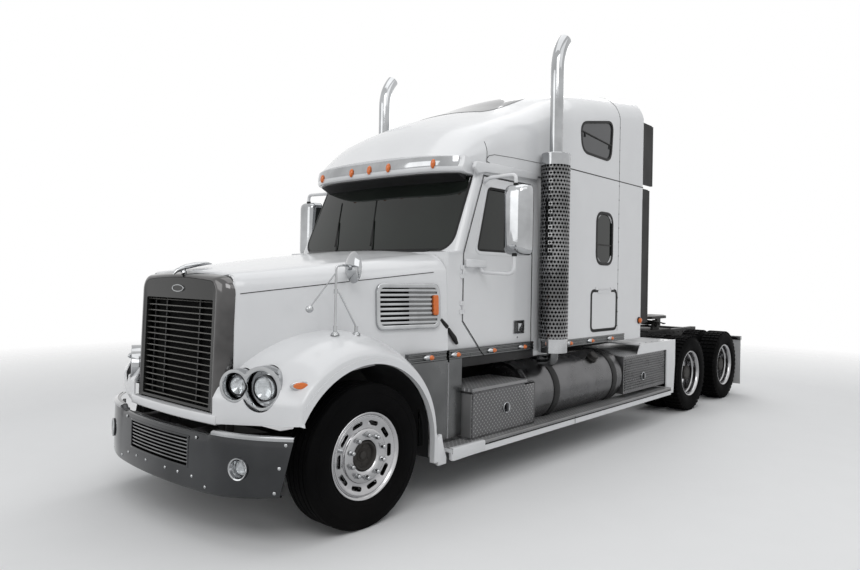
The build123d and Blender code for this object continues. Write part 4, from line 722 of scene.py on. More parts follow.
def smooth_rows(rows, place):
    """A table's columns at a place in its first column, on a smooth curve that doesn't overshoot."""
    keys = [r[0] for r in rows]
    place = min(max(place, keys[0]), keys[-1])
    i = max(k for k in range(len(keys) - 1) if keys[k] <= place)
    span = keys[i + 1] - keys[i]
    t = (place - keys[i]) / span
    made = []
    for column in range(1, len(rows[0])):
        slope = [
            (rows[k + 1][column] - rows[k][column]) / (keys[k + 1] - keys[k]) for k in range(len(rows) - 1)
        ]
        ends = []
        for k in (i, i + 1):
            if k == 0:
                ends.append(slope[0])
            elif k == len(rows) - 1:
                ends.append(slope[-1])
            else:
                a, b = slope[k - 1], slope[k]
                ends.append(0.0 if a * b <= 0 else 2 * a * b / (a + b))
        h00, h10 = 2 * t**3 - 3 * t**2 + 1, t**3 - 2 * t**2 + t
        h01, h11 = -2 * t**3 + 3 * t**2, t**3 - t**2
        low, high = rows[i][column], rows[i + 1][column]
        made.append(h00 * low + h10 * span * ends[0] + h01 * high + h11 * span * ends[1])
    return made


# ==== finishes of the carried-over CAD nodes ====

NODE_FINISH = {
    CHASSIS: ["frame_rails", "suspension", "front_axle", "drive_axles", "tie_rod"],
    CAST: ["engine_block", "fifth_wheel_base", "steering_knuckle_left", "steering_knuckle_right"],
    GREASE: ["fifth_wheel_plate"],
    # the radiator in shadow black: painted shade behind the grille
    DARK: ["radiator"],
    TANK_ALLOY: ["fuel_tanks"],
    PLATE_IN_SHADE: ["side_boxes"],
    PLATE_LIT_FROM_ABOVE: ["toolbox_lid_left", "toolbox_lid_right"],
    PAINT: [
        "side_fairings", "cab_shell", "sleeper_shell", "door_left", "door_right", "luggage_door_left",
        "luggage_door_right"
    ],
    DARK_GLASS: ["windshield", "door_glass_left", "door_glass_right"],
    SKYLIGHT: ["sleeper_windows"],
    RUBBER: ["side_extenders"],
    FLAP_WHITE: ["mudflaps"],
    PLASTIC: ["dashboard", "steering_wheel"],
    CHROME_DARK_REFLECTION: ["grille_surround"],
    FABRIC: ["seats"],
}
for material, names in NODE_FINISH.items():
    for name in names:
        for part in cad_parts[name].material_slots:
            part.material = material


# ==== hood ====

# hood sections: y behind the axle, centre top z, shoulder x, shoulder z, side x, side z, foot x, foot z
HOOD_ROWS = mm([
    (-650, 1765, 520, 1742, 600, 1640, 622, 860), (120, 1878, 700, 1840, 865, 1722, 905, 1060),
    (925, 1968, 830, 1935, 1048, 1805, 1085, 1162)
])
# fender sections: x, front y, nose z, crown z, back y at hub height, low back y
FENDER_ROWS = mm([
    (590, -792, 930, 1372, 700, 770), (960, -680, 930, 1352, 700, 770), (1140, -615, 930, 1290, 690, 760),
    (1228, -580, 930, 1215, 675, 745)
])
FENDER_FRONT_Z = 0.762
FENDER_BACK_Z = 0.33
HIP_Z = 0.563
ARCH_R = 0.64
FENDER_X = 1.228


def shoulder(side_x, side_z, top_x, top_z, count):
    """Swelling arc from the top of a flank to the edge of the crown."""
    swell_x = (side_x + top_x) / 2 + 0.16 * (top_z - side_z)
    swell_z = (side_z + top_z) / 2 + 0.16 * (side_x - top_x)
    return arc3((side_x, side_z), (swell_x, swell_z), (top_x, top_z), count)


def dome_ring(y, half_x, foot_z, side_x, side_z, top_x, top_z, centre_z, shrink=0.0):
    """Open section across the truck from the left foot over the top to the right foot."""
    half = [(half_x + (side_x - half_x) * k / 6, foot_z + (side_z - foot_z) * k / 6) for k in range(6)]
    half += shoulder(side_x, side_z, top_x, top_z, 9)
    crown = arc3((top_x, top_z), (0.0, centre_z), (-top_x, top_z), 22)
    half += crown[1:12]
    outline = half + [(-x, z) for x, z in reversed(half[:-1])]
    return [(x * (1 - shrink), station(y), z - shrink * 0.4) for x, z in outline]


def hood_skin():
    rings = []
    low, high = HOOD_ROWS[0][0], HOOD_ROWS[-1][0]
    for k in range(25):
        y = low + (high - low) * k / 24
        centre_z, top_x, top_z, side_x, side_z, foot_x, foot_z = smooth_rows(HOOD_ROWS, y)
        rings.append(dome_ring(y, foot_x, foot_z, side_x, side_z, top_x, top_z, centre_z))
    first = rings[0]
    lip = [(x * 0.985, y - 0.012, z - 0.006) for x, y, z in first]
    flange = [(max(-0.572, min(0.572, x)), y - 0.016, min(1.732, z)) for x, y, z in first]
    rings = [flange, lip] + rings
    back = [(x * 0.975, station(0.928), z - 0.02) for x, y, z in rings[-1]]
    return loft(rings + [back], closed=False)


def fender_profile(x):
    """Fender section at an x: from the front foot over the crown to the rear foot."""
    front_y, nose_z, crown_z, back_y, low_y = smooth_rows(FENDER_ROWS, x)
    swell = (front_y * 0.6 - 0.004, nose_z + (crown_z - nose_z) * 0.74)
    turn = (-0.01 + (back_y + 0.01) * 0.76, HIP_Z + (crown_z - HIP_Z) * 0.64)
    front_z = FENDER_FRONT_Z + 0.04 * max(0.0, min(1.0, (x - 0.59) / 0.638))
    front = [(front_y, front_z + (nose_z - front_z) * k / 6) for k in range(6)]
    rise = arc3((front_y, nose_z), swell, (-0.01, crown_z), 22)
    fall = arc3((-0.01, crown_z), turn, (back_y, HIP_Z), 26)[1:]
    foot = [(back_y + (low_y - back_y) * k / 6, HIP_Z + (FENDER_BACK_Z - HIP_Z) * k / 6) for k in range(1, 7)]
    return front + rise + fall + foot


def arch_point(y, z, radius=ARCH_R):
    """Nearest point of the wheel arch's edge to a point of the fender's outline."""
    if z < AXLE_Z and y > 0:
        return radius, z
    reach = hypot(y, z - AXLE_Z)
    scale = min(radius, reach - 0.002) / reach
    return y * scale, AXLE_Z + (z - AXLE_Z) * scale


def drawn_in(outline, amount):
    """An outline's points moved toward the wheel's centre."""
    made = []
    for y, z in outline:
        reach = hypot(y, z - AXLE_Z)
        scale = (reach - amount) / reach
        made.append((y * scale, AXLE_Z + (z - AXLE_Z) * scale))
    return made


def fender_skin():
    rings = []
    for x in (0.56, 0.62, 0.7, 0.78, 0.86, 0.92, 0.97, 1.02, 1.06, 1.1, 1.135, 1.165, 1.19, 1.208):
        rings.append([(x, station(y), z) for y, z in fender_profile(max(x, 0.59))])
    edge = fender_profile(FENDER_X)
    rings.append([(1.219, station(y), z) for y, z in drawn_in(edge, -0.002)])
    rings.append([(1.2265, station(y), z) for y, z in drawn_in(edge, 0.006)])
    rings.append([(1.2285, station(y), z) for y, z in drawn_in(edge, 0.016)])
    lip = []
    for y, z in drawn_in(edge, 0.016):
        inner_y, inner_z = arch_point(y, z, ARCH_R + 0.045)
        lip.append((1.229, station(inner_y), inner_z))
    rings.append(lip)
    rings.append([(1.2345, y, z - 0.001) for x, y, z in lip])
    rim = []
    for y, z in edge:
        inner_y, inner_z = arch_point(y, z)
        rim.append((1.2345, station(inner_y), inner_z))
    rings.append(rim)
    rings.append([(1.228, y, z) for x, y, z in rim])
    rings.append([(1.185, y, z) for x, y, z in rim])
    return loft(rings, closed=False)


# headlamps: x, y behind the axle, z, bezel radius, bowl radius, lens radius
LAMPS = [(0.722, -0.722, 1.018, 0.11, 0.084, 0.058), (0.905, -0.644, 1.01, 0.148, 0.114, 0.076)]
LAMP_TURN = radians(23.2)
LAMP_AHEAD = (sin(LAMP_TURN), -cos(LAMP_TURN), 0.0)


def lamp_place(row, proud=0.0):
    x, y, z = row[:3]
    return pointing((x + LAMP_AHEAD[0] * proud, station(y) + LAMP_AHEAD[1] * proud, z), LAMP_AHEAD)


def disc(radius, z0, z1, count=48):
    return lathe([(0.0, z0), (radius, z0), (radius, z1), (0.0, z1)], count)


hood_top = hood_skin()
fender = fender_skin()
lamp_cutters = [moved(disc(row[3] - 0.004, -0.3, 0.3), lamp_place(row)) for row in LAMPS]
fender_wall = cut(walled(fender, 0.01), lamp_cutters)
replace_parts(piece("hood_top", walled(hood_top, 0.012), PAINT, "hood", angle=40), "hood_shell")
pair("fender", fender_wall, PAINT, "hood", angle=38)

chin_front = arc3((-0.6, -0.795), (0.0, -0.826), (0.6, -0.795), 20)
chin = [(x, station(y)) for x, y in chin_front] + [(0.6, station(-0.7)), (-0.6, station(-0.7))]
piece("grille_chin", plate(chin, 0.752, 0.816), PAINT, "hood", bevel=0.01, segments=3)

liner_arc = [(ARCH_R + 0.006, 0.36), (ARCH_R + 0.006, AXLE_Z)]
liner_arc += [
    ((ARCH_R + 0.006) * cos(radians(a)), AXLE_Z + (ARCH_R + 0.006) * sin(radians(a)))
    for a in range(6, 156, 6)
]
liner = loft([[(x, station(y), z) for y, z in liner_arc] for x in (0.62, 0.9, 1.16)], closed=False)
pair("wheel_arch_liner", walled(liner, -0.004), PLASTIC, "hood")

LOUVRE_TURN = atan2(0.183, 0.805)
VENT_AHEAD = (cos(LOUVRE_TURN), -sin(LOUVRE_TURN), 0.055)
VENT_MIDDLE = (0.976, station(0.485), 1.531)


def vent_matrix():
    """Local x runs rearward along the hood's side, local y is up and local z faces out."""
    ahead = Vector(VENT_AHEAD).normalized()
    up = (Vector((0, 0, 1)) - ahead * ahead.z).normalized()
    along = up.cross(ahead)
    return shift(*VENT_MIDDLE) @ along_axes(along, up, ahead)


VENT = vent_matrix() @ shift(0.084, -0.012, 0.0) @ Matrix.Diagonal((0.915, 1.26, 1.0, 1.0))


def ring_plate(outer, inner, z0, z1):
    """Flat ring between two outlines of equal length, from z0 to z1."""
    count = len(outer)
    verts = []
    for z in (z0, z1):
        verts += [(x, y, z) for x, y in outer] + [(x, y, z) for x, y in inner]
    faces = []
    for i in range(count):
        j = (i + 1) % count
        faces.append((i, j, count + j, count + i))
        faces.append((2 * count + i, 2 * count + j, 3 * count + j, 3 * count + i))
        faces.append((i, j, 2 * count + j, 2 * count + i))
        faces.append((count + i, count + j, 3 * count + j, 3 * count + i))
    return mesh_from(verts, faces)


def rect(half_x, half_y):
    return [(-half_x, -half_y), (half_x, -half_y), (half_x, half_y), (-half_x, half_y)]


vent_outer = rounded(rect(0.315, 0.141), 0.062, 8)
vent_inner = rounded(rect(0.281, 0.112), 0.04, 8)
frames = pair(
    "vent_frame", moved(ring_plate(vent_outer, vent_inner, -0.006, 0.03), VENT), CHROME, "hood",
    bevel=0.009, segments=3
)
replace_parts(frames[0], "side_vents")
pair("vent_shadow", moved(plate(rounded(rect(0.292, 0.122), 0.045, 6), 0.0, 0.006), VENT), DARK, "hood")
back_board = plate(box_line(0, -118, 283, 118), 0.004, 0.016)
pair("vent_back_board", moved(back_board, VENT), STAINLESS, "hood")
slat = plate(box_line(-285, -7.5, 285, 7.5), 0.008, 0.028)
slats = row(moved(slat, shift(0, -0.0985, 0)), 8, (0.0, 0.0281, 0.0), CHROME)
pair("vent_slats", moved(slats, VENT), CHROME, "hood", bevel=0.003)
vent_lamp = plate(rounded(rect(0.026, 0.064), 0.018, 5), 0.012, 0.044)
pair(
    "vent_lamp", moved(moved(vent_lamp, shift(0.262, 0.006, 0)), VENT), AMBER, "hood", bevel=0.008,
    segments=3
)


def hood_side_x(y, z):
    """Outer x of the hood's flank at a height."""
    _, _, _, side_x, side_z, foot_x, foot_z = smooth_rows(HOOD_ROWS, y)
    return foot_x + (side_x - foot_x) * (z - foot_z) / (side_z - foot_z)


seam_line = []
for k in range(13):
    y = -0.63 + 1.54 * k / 12
    z = 1.6 + 0.205 * (k / 12)
    z = min(z, smooth_rows(HOOD_ROWS, y)[4] - 0.004)
    seam_line.append((hood_side_x(y, z) + 0.0002, station(y), z))
pair("hood_seam", tube(seam_line, 0.0022, 6), RUBBER, "hood")


def ellipse(half_x, half_y, count=28):
    return [(half_x * cos(2 * pi * k / count), half_y * sin(2 * pi * k / count)) for k in range(count)]


# ---- headlamps ----
def union_outline(rows, grow, count=48):
    """Outline around two overlapping circles, in the lamps' common plane."""
    near, far = rows
    gap = hypot(far[0] - near[0], far[1] - near[1])
    drop = far[2] - near[2]
    circles = [(0.0, 0.0, near[3] + grow), (gap, drop, far[3] + grow)]
    points = []
    for index, (cx, cy, radius) in enumerate(circles):
        ox, oy, other = circles[1 - index]
        for k in range(count):
            a = 2 * pi * k / count
            p = (cx + radius * cos(a), cy + radius * sin(a))
            if hypot(p[0] - ox, p[1] - oy) > other + 0.001:
                points.append(p)
    middle = (gap * 0.45, drop / 2)
    return sorted(points, key=lambda p: atan2(p[1] - middle[1], p[0] - middle[0]))


def lamp_frame():
    """Local x runs outward along the lamps' plane, local y is up and local z faces ahead."""
    ahead = Vector(LAMP_AHEAD)
    along = Vector((cos(LAMP_TURN), sin(LAMP_TURN), 0.0))
    x, y, z = LAMPS[0][:3]
    return shift(x, station(y), z) @ along_axes(along, Vector((0, 0, 1)), ahead)


LAMP_FRAME = lamp_frame()
lamp_gap = hypot(LAMPS[1][0] - LAMPS[0][0], LAMPS[1][1] - LAMPS[0][1])
lamp_drop = LAMPS[1][2] - LAMPS[0][2]
lamp_centres = [(0.0, 0.0), (lamp_gap, lamp_drop)]
bezel = plate(union_outline(LAMPS, 0.0), -0.06, 0.02)
bowl_holes = []
for (cx, cy), lamp in zip(lamp_centres, LAMPS):
    hole = lathe([
        (0.0, -0.2), (lamp[4] - 0.012, -0.2), (lamp[4] - 0.012, -0.05), (lamp[4] + 0.006, 0.022),
        (lamp[4] + 0.006, 0.2), (0.0, 0.2)
    ], 48)
    bowl_holes.append(moved(hole, shift(cx, cy, 0)))
bezels = pair(
    "headlamp_bezel", moved(cut(bezel, bowl_holes), LAMP_FRAME), CHROME, "hood", bevel=0.007, segments=3
)
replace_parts(bezels[0], "headlamps")
for number, ((cx, cy), lamp) in enumerate(zip(lamp_centres, LAMPS), start=1):
    at = LAMP_FRAME @ shift(cx, cy, 0)
    lens_r = lamp[5]
    shell = lathe([
        (lamp[4] - 0.004, -0.05), (lens_r + 0.012, -0.044), (lens_r + 0.004, -0.052),
        (lens_r + 0.004, -0.07), (lamp[4] - 0.004, -0.07)
    ], 48)
    pair(f"headlamp_pan_{number}", moved(shell, at), CHROME, "hood")
    gasket = lathe([
        (lens_r + 0.012, -0.048), (lens_r + 0.009, -0.018), (lens_r, -0.016), (lens_r - 0.001, -0.06),
        (lens_r + 0.01, -0.06)
    ], 48)
    pair(f"headlamp_ring_{number}", moved(gasket, at), CHROME_DARK_REFLECTION, "hood")
    bowl = lathe([
        (0.001, -0.062), (lens_r * 0.5, -0.056), (lens_r - 0.001, -0.026), (lens_r - 0.001, -0.066),
        (0.001, -0.068)
    ], 48)
    pair(f"headlamp_reflector_{number}", moved(bowl, at), MIRROR, "hood")
    glass = [(lens_r * cos(radians(a)), -0.022 + 0.016 * sin(radians(a))) for a in range(0, 91, 15)]
    glass += [(max(r - 0.001, 0.0), h - 0.003) for r, h in reversed(glass)]
    pair(f"headlamp_lens_{number}", moved(lathe(glass, 40), at), LENS, "hood")

# ---- grille ----
FACE_LOW_Z, FACE_HIGH_Z = 0.812, 1.755
OPENING_LOW_Z, OPENING_HIGH_Z = 0.846, 1.568
OPENING_X = 0.47
BAR_COUNT = 17


def face_y(z, back=0.0):
    """Row Y at a height on the grille's face, or a distance behind it."""
    return station(-0.774 + 0.026 * (z - FACE_LOW_Z) / (FACE_HIGH_Z - FACE_LOW_Z) + back)


def shield_outline(half_x, low, high, low_r, high_r, crown):
    """Closed (x, z) outline with rounded corners and a crowned top, of as many points for any size."""
    flank = []
    for centre_z, radius, start in ((low + low_r, low_r, -90), (high - crown - high_r, high_r, 0)):
        for k in range(9):
            a = radians(start + 90 * k / 8)
            flank.append((half_x - radius + radius * cos(a), centre_z + radius * sin(a)))
    reach = half_x - high_r
    top = [(reach * t, high - crown * t * t) for t in (0.75, 0.5, 0.25, 0.0, -0.25, -0.5, -0.75)]
    return flank + top + [(-x, z) for x, z in reversed(flank)]


def shield_ring(inset_x, inset_top, back):
    """Ring of the grille shell: how far it is drawn in at the sides and top, and how far behind the face."""
    outline = shield_outline(
        0.604 - inset_x, FACE_LOW_Z + inset_top * 0.3, FACE_HIGH_Z - inset_top, 0.02,
        0.118 - inset_x * 0.35, 0.018
    )
    return [(x, face_y(z, back), z) for x, z in outline]


hood_edge = [(x, station(-0.646), z) for x, y, z in shield_ring(0.0, 0.0, 0.0)]
shell_rings = [hood_edge]
for k in range(8):
    a = radians(90 * k / 7)
    shell_rings.append(shield_ring(0.1 * (1 - cos(a)), 0.034 * (1 - cos(a)), 0.085 * (1 - sin(a))))
shell_rings += [shield_ring(0.106, 0.038, 0.004), shield_ring(0.106, 0.038, 0.03)]
shell_rings += [[(x * 0.97, station(-0.646), 1.2 + (z - 1.2) * 0.975) for x, y, z in hood_edge], hood_edge]
shell = piece("grille_shell", loft(shell_rings, cap=False), SHELL_DARK_REFLECTION, "hood", angle=40)
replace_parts(shell, "grille_surround")
panel_out = shield_outline(0.499, FACE_LOW_Z + 0.016, FACE_HIGH_Z - 0.038, 0.012, 0.08, 0.018)
panel_in = shield_outline(OPENING_X, OPENING_LOW_Z, OPENING_HIGH_Z, 0.012, 0.014, 0.0)
panel_rings = []
for outline, back in (
    (panel_out, 0.0015), (panel_out, 0.016), (panel_in, 0.045), (panel_in, 0.0035), (panel_out, 0.0015)
):
    panel_rings.append([(x, face_y(z, back), z) for x, z in outline])
piece("grille_face_panel", loft(panel_rings, cap=False), BLACK_GLOSS, "hood", angle=40)
bar = loft([
    [(x, face_y(OPENING_LOW_Z, 0.01) + y, z) for y, z in mm([(0, 0), (4, 5), (32, 3), (32, -6), (4, -5)])]
    for x in (-OPENING_X, OPENING_X)
])
pitch_z = (OPENING_HIGH_Z - OPENING_LOW_Z - 0.033) / (BAR_COUNT - 1)
lean = (face_y(OPENING_HIGH_Z) - face_y(OPENING_LOW_Z)) / (OPENING_HIGH_Z - OPENING_LOW_Z)
bars = row(moved(bar, shift(0, 0, 0.864)), BAR_COUNT, (0.0, lean * pitch_z, pitch_z), BAR_STEEL)
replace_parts(piece("grille_louvres", bars, BAR_STEEL, "hood", angle=50), "grille_bars")
for number, x in enumerate((-0.405, -0.235, 0.235, 0.405)):
    line = [(0.042, OPENING_LOW_Z), (0.058, OPENING_LOW_Z), (0.058, OPENING_HIGH_Z), (0.042, OPENING_HIGH_Z)]
    post = loft([[(px, face_y(z, back), z) for back, z in line] for px in (x - 0.007, x + 0.007)])
    piece(f"grille_post_{number}", post, PLASTIC, "hood")
# dark sheet behind the grille bars in shadow black: painted shade
line = [
    (0.062, OPENING_LOW_Z - 0.02), (0.068, OPENING_LOW_Z - 0.02), (0.068, OPENING_HIGH_Z + 0.02),
    (0.062, OPENING_HIGH_Z + 0.02)
]
piece(
    "grille_shade_backing", loft([[(px, face_y(z, back), z) for back, z in line] for px in (-0.485, 0.485)]),
    DARK, "hood"
)
badge_at = shift(0, face_y(1.64), 1.64) @ Matrix.Rotation(pi / 2 - 0.028, 4, "X")
badge_rim = ring_plate(ellipse(0.082, 0.027, 40), ellipse(0.073, 0.0195, 40), -0.006, 0.006)
piece("badge_rim", moved(badge_rim, badge_at), CHROME, "hood", bevel=0.002)
piece("badge_blank", moved(plate(ellipse(0.074, 0.0205, 40), -0.006, 0.002), badge_at), BLACK_GLOSS, "hood")
ornament_path = placed([
    (0, -790, 1738), (0, -765, 1764), (0, -700, 1792), (0, -620, 1812), (0, -540, 1822), (0, -500, 1820)
])
piece("hood_ornament", tube(ornament_path, [0.006, 0.014, 0.019, 0.018, 0.012, 0.004], 14), CHROME, "hood")
foot = lathe(mm([(0, 0), (24, 0), (20, 12), (10, 26), (0, 30)]), 20)
piece("hood_ornament_foot", moved(foot, shift(0, station(-0.715), 1.752)), CHROME, "hood")
wing = loft([[(x, station(y), z) for x, y, z in ring] for ring in (
    mm([(-85, -600, 1822), (-85, -565, 1826), (-83, -565, 1831), (-83, -600, 1828)]),
    mm([(0, -740, 1786), (0, -580, 1812), (0, -580, 1826), (0, -740, 1796)]),
    mm([(85, -600, 1822), (85, -565, 1826), (83, -565, 1831), (83, -600, 1828)]),
)])
piece("hood_ornament_wing", wing, CHROME, "hood", bevel=0.002)

# ---- hood mirrors ----
# the right mirror's head, and its arm above a height, stand lower than the left one's
MIRROR_DROP = 0.105
ARM_HEAD_Z = 1.66
POST = (1.0, station(-0.144))
STRUT = (1.03, station(0.02))
mirror_turn = pointing((0.95, station(0.054), 1.81), (0.203, 0.979, 0.0))
shell_profile = mm([(0, -36), (46, -32), (88, -22), (110, -6), (116, 0), (115, 4), (110, 4), (0, 3)])
mirror_shells = pair("hood_mirror_shell", moved(lathe(shell_profile, 48), mirror_turn), CHROME, "hood")
mirror_bowl = lathe(mm([(0, 2), (109, 2), (101, 8), (56, 14), (0, 16)]), 40)
mirror_faces = pair("hood_mirror_face", moved(mirror_bowl, mirror_turn), MIRROR, "hood")
arm_foot = lathe(mm([(0, 0), (32, 0), (26, 12), (12, 24), (0, 26)]), 24)
clamp = joined([
    moved(disc(0.022, -0.052, -0.026, 20), mirror_turn),
    tube([
        (0.946, station(0.01), 1.818), (0.975, station(-0.02), 1.822), (1.0, station(-0.1), 1.822),
        (*POST, 1.815), (*POST, 1.77)
    ], 0.0085, 12, 0.03),
    tube([(*POST, 1.78), (*POST, 1.352)], 0.0085, 12),
    tube([(*POST, 1.4), (*POST, 1.352)], 0.014, 12),
    tube([(*POST, 1.655), (*POST, 1.625)], 0.014, 12),
    tube([(*POST, 1.64), (1.01, station(-0.118), 1.625), (*STRUT, 1.385)], 0.0065, 10),
    tube([(*STRUT, 1.392), (*STRUT, 1.34)], 0.013, 12),
    moved(arm_foot, shift(*POST, 1.337)),
    moved(arm_foot, shift(*STRUT, 1.33)),
])
mounts = pair("hood_mirror_arm", clamp, CHROME, "hood")
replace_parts(mounts[0], "hood_mirrors")
for made in (mirror_shells[1], mirror_faces[1]):
    made.data.transform(shift(0, 0, -MIRROR_DROP))
for corner in mounts[1].data.vertices:
    if corner.co.z > ARM_HEAD_Z:
        corner.co.z -= MIRROR_DROP
ball = lathe([(0.026 * cos(radians(a)), 0.026 * sin(radians(a))) for a in range(-90, 91, 15)], 20)
spot = joined([
    tube([(1.0, station(-0.15), 1.765), (1.0, station(-0.352), 1.54)], 0.0045, 8),
    moved(ball, shift(1.0, station(-0.362), 1.522)),
])
pair("hood_spot_mirror", spot, CHROME, "hood")

# ---- seam along the hood's shoulder ----
seam_line = mm([(-640, 1615), (-450, 1640), (-250, 1665), (100, 1709), (520, 1757), (880, 1797)])
hood_mesh = bpy.data.objects["hood_top"].data
hood_tree = BVHTree.FromPolygons(
    [v.co for v in hood_mesh.vertices], [tuple(p.vertices) for p in hood_mesh.polygons]
)


def on_hood(y, z):
    """The hood's outer face on the left at a distance behind the axle and a height."""
    return hood_tree.ray_cast(Vector((2.0, station(y), z)), Vector((-1.0, 0.0, 0.0)))[0]


seam_points = [on_hood(y, z) + Vector((0.0004, 0.0, 0.0)) for y, z in finer(seam_line, 5)]
pair("hood_shoulder_seam", tube(seam_points, 0.003, 6), RUBBER, "hood")

# ---- marker lamp, hood latch ----
marker_at = pointing((1.1535, station(-0.535), 1.046), (0.86, -0.48, 0.14))
marker_rim = plate(ellipse(0.066, 0.029), -0.012, 0.01)
marker_lens = plate(ellipse(0.046, 0.021), 0.0, 0.02)
pair("fender_marker_bezel", moved(marker_rim, marker_at), CHROME, "hood", bevel=0.006, segments=3)
pair("fender_marker_lens", moved(marker_lens, marker_at), AMBER, "hood", bevel=0.006, segments=3)
latch_line = [(1.066, station(0.868), 1.412), (1.074, station(0.905), 1.372)]
pair(
    "hood_latch_strap", tube(latch_line + [(1.079, station(0.932), 1.346)], [0.013, 0.018, 0.018], 8),
    RUBBER, "hood"
)
catch = tube(placed([(1074, 950, 1330), (1080, 1020, 1252), (1074, 1062, 1205)]), [0.016, 0.023, 0.014], 10)
pair("hood_latch_handle", catch, RUBBER)


# ==== front bumper ====

FRONT_EDGE = mm([(-620, -852), (0, -892), (620, -852)])
SWEPT_EDGE = mm([(620, -852), (950, -768), (1215, -610)])


def front_y(x):
    """Bumper face's y behind the axle at an x."""
    centre_x, centre_y, radius = circle_through(*(FRONT_EDGE if abs(x) <= 0.62 else SWEPT_EDGE))
    return centre_y - sqrt(radius**2 - (abs(x) - centre_x) ** 2)


def face_turn(x):
    """Outward direction of the bumper's face in plan at an x."""
    rise = (front_y(x + 0.004) - front_y(x - 0.004)) / 0.008
    size = hypot(rise, 1.0)
    return rise / size, -1.0 / size


def bumper_plan(reach):
    """Plan outline from the right end round the front to the left end: (x, y, outward x, outward y)."""
    return [(x, front_y(x), *face_turn(x)) for x in (reach * (k / 60 - 1) for k in range(121))]


def top_edge(x):
    t = min(1.0, max(0.0, (abs(x) - 0.6) / 0.055))
    return 0.702 + 0.036 * t * t * (3 - 2 * t)


def low_edge(x):
    return 0.322 + 0.044 * max(0.0, (abs(x) - 0.6) / 0.61) ** 1.5


BUMPER_PLAN = bumper_plan(1.21)
# rows of the bumper's face: share of its height, how far it stands in from the plan outline
FACE_ROWS = [
    (0.0, 0.04), (0.0, 0.014), (0.01, 0.004), (0.035, 0.001), (0.3, 0.0), (0.55, 0.0), (0.8, 0.002),
    (0.94, 0.005), (0.985, 0.01), (1.0, 0.02), (1.0, 0.046)
]
rings = []
for share, inset in FACE_ROWS:
    ring_points = []
    for x, y, out_x, out_y in bumper_plan(1.14 + 0.07 * share):
        low, high = low_edge(x), top_edge(x)
        ring_points.append((x - out_x * inset, station(y - out_y * inset), low + (high - low) * share))
    rings.append(ring_points)
bumper = walled(loft(rings, closed=False), 0.006)
intake = front_slab(rounded(box_line(-405, 468, 405, 662), 0.03, 4), -1.0, -0.8)
FOG_X = 0.885
fog_at = pointing((FOG_X, station(front_y(FOG_X) - 0.006), 0.522), (0.33, -1.0, 0.0))
fog_holes = [moved(disc(0.062, -0.2, 0.2, 32), fog_at)]
fog_holes.append(mirrored(fog_holes[0]))
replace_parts(piece("bumper_face", cut(bumper, [intake] + fog_holes), CHROME_DARK_REFLECTION, angle=35), "front_bumper")
PIVOT_LUG = mm([(-828, 604), (-665, 604), (-665, 752), (-709, 752), (-709, 636), (-828, 636)])
# mounts that carry the bumper and the hood's pivots
for side, end in SIDES:
    arm = joined([
        block((side * 0.33, side * 0.42), (-0.85, -0.64), (0.64, 0.696)),
        block((side * 0.345, side * 0.425), (-0.662, -0.6), (0.66, 0.8)),
        block((side * 0.548, side * 0.576), (-0.836, -0.791), (0.596, 0.644)),
    ])
    piece(f"bumper_arm_{end}", arm, CHASSIS, bevel=0.004)
    lug = side_slab(PIVOT_LUG, side * 0.582, side * 0.598)
    piece(f"hood_pivot_lug_{end}", lug, CHASSIS, "hood", bevel=0.003)
    pin = tube([(side * 0.548, station(-0.815), 0.62), (side * 0.6, station(-0.815), 0.62)], 0.01, 16)
    piece(f"hood_pivot_pin_{end}", pin, CAST)


def shadow_slab(low, high):
    """Dark shelf behind the bumper's top edge between two x."""
    plan = [p for p in BUMPER_PLAN if low <= p[0] <= high]
    line = [(x - ox * 0.05, station(y - oy * 0.05)) for x, y, ox, oy in plan]
    line += [(x - ox * 0.07, station(y - oy * 0.07)) for x, y, ox, oy in reversed(plan)]
    return plate(line, 0.66, 0.7)


piece("bumper_shadow_strip", shadow_slab(-0.54, 0.54), PLASTIC)
pair("bumper_shadow_end", shadow_slab(0.65, 1.12), PLASTIC)
# dark plate behind the bumper's intake in shadow black: painted shade
intake_plan = [(x, station(y + 0.03)) for x, y in arc3(*FRONT_EDGE, 64) if abs(x) < 0.47]
intake_plan += [(x, y + 0.008) for x, y in reversed(intake_plan)]
piece("intake_shade_backing", plate(intake_plan, 0.445, 0.685), DARK)


def bent_bar(half_x, z, depth, tall, proud):
    """Bar that follows the bumper's plan curve."""
    steps = [half_x * (2 * k / 24 - 1) for k in range(25)]
    rings = []
    for x in steps:
        y = front_y(x) - proud
        rings.append([
            (x, station(y), z - tall / 2), (x, station(y), z + tall / 2),
            (x, station(y + depth), z + tall / 2), (x, station(y + depth), z - tall / 2)
        ])
    return loft(rings)


slat_rows = joined([bent_bar(0.404, 0.492 + 0.0245 * k, 0.022, 0.01, -0.002) for k in range(7)])
piece("intake_slats", slat_rows, FLANK_CHROME, bevel=0.003)
frame_bars = joined([bent_bar(0.418, 0.665, 0.02, 0.014, 0.003), bent_bar(0.418, 0.465, 0.02, 0.014, 0.003)])
frame_ends = [
    block((side * 0.4, side * 0.416), (front_y(0.41) - 0.003, front_y(0.41) + 0.02), (0.459, 0.671))
    for side, _ in SIDES
]
piece("intake_frame", joined([frame_bars] + frame_ends), CHROME_DARK_REFLECTION, bevel=0.004)
fog_bowl = lathe(mm([(62, 4), (70, 8), (72, 2), (64, -12), (52, -50), (0, -62), (0, -52), (46, -40)]), 36)
pair("fog_lamp_bowl", moved(fog_bowl, fog_at), CHROME)
fog_lens = lathe(mm([(0, -18), (18, -20), (38, -28), (42, -36), (36, -40), (0, -44)]), 32)
pair("fog_lamp_lens", moved(fog_lens, fog_at), LENS)
bolt = lathe(mm([(0, 0), (11, 0), (10.5, 3), (6, 6.2), (0, 7)]), 12)
bolts = []
BOLT_PLACES = mm([(140, 415), (300, 415), (460, 412), (600, 365), (1112, 390)])
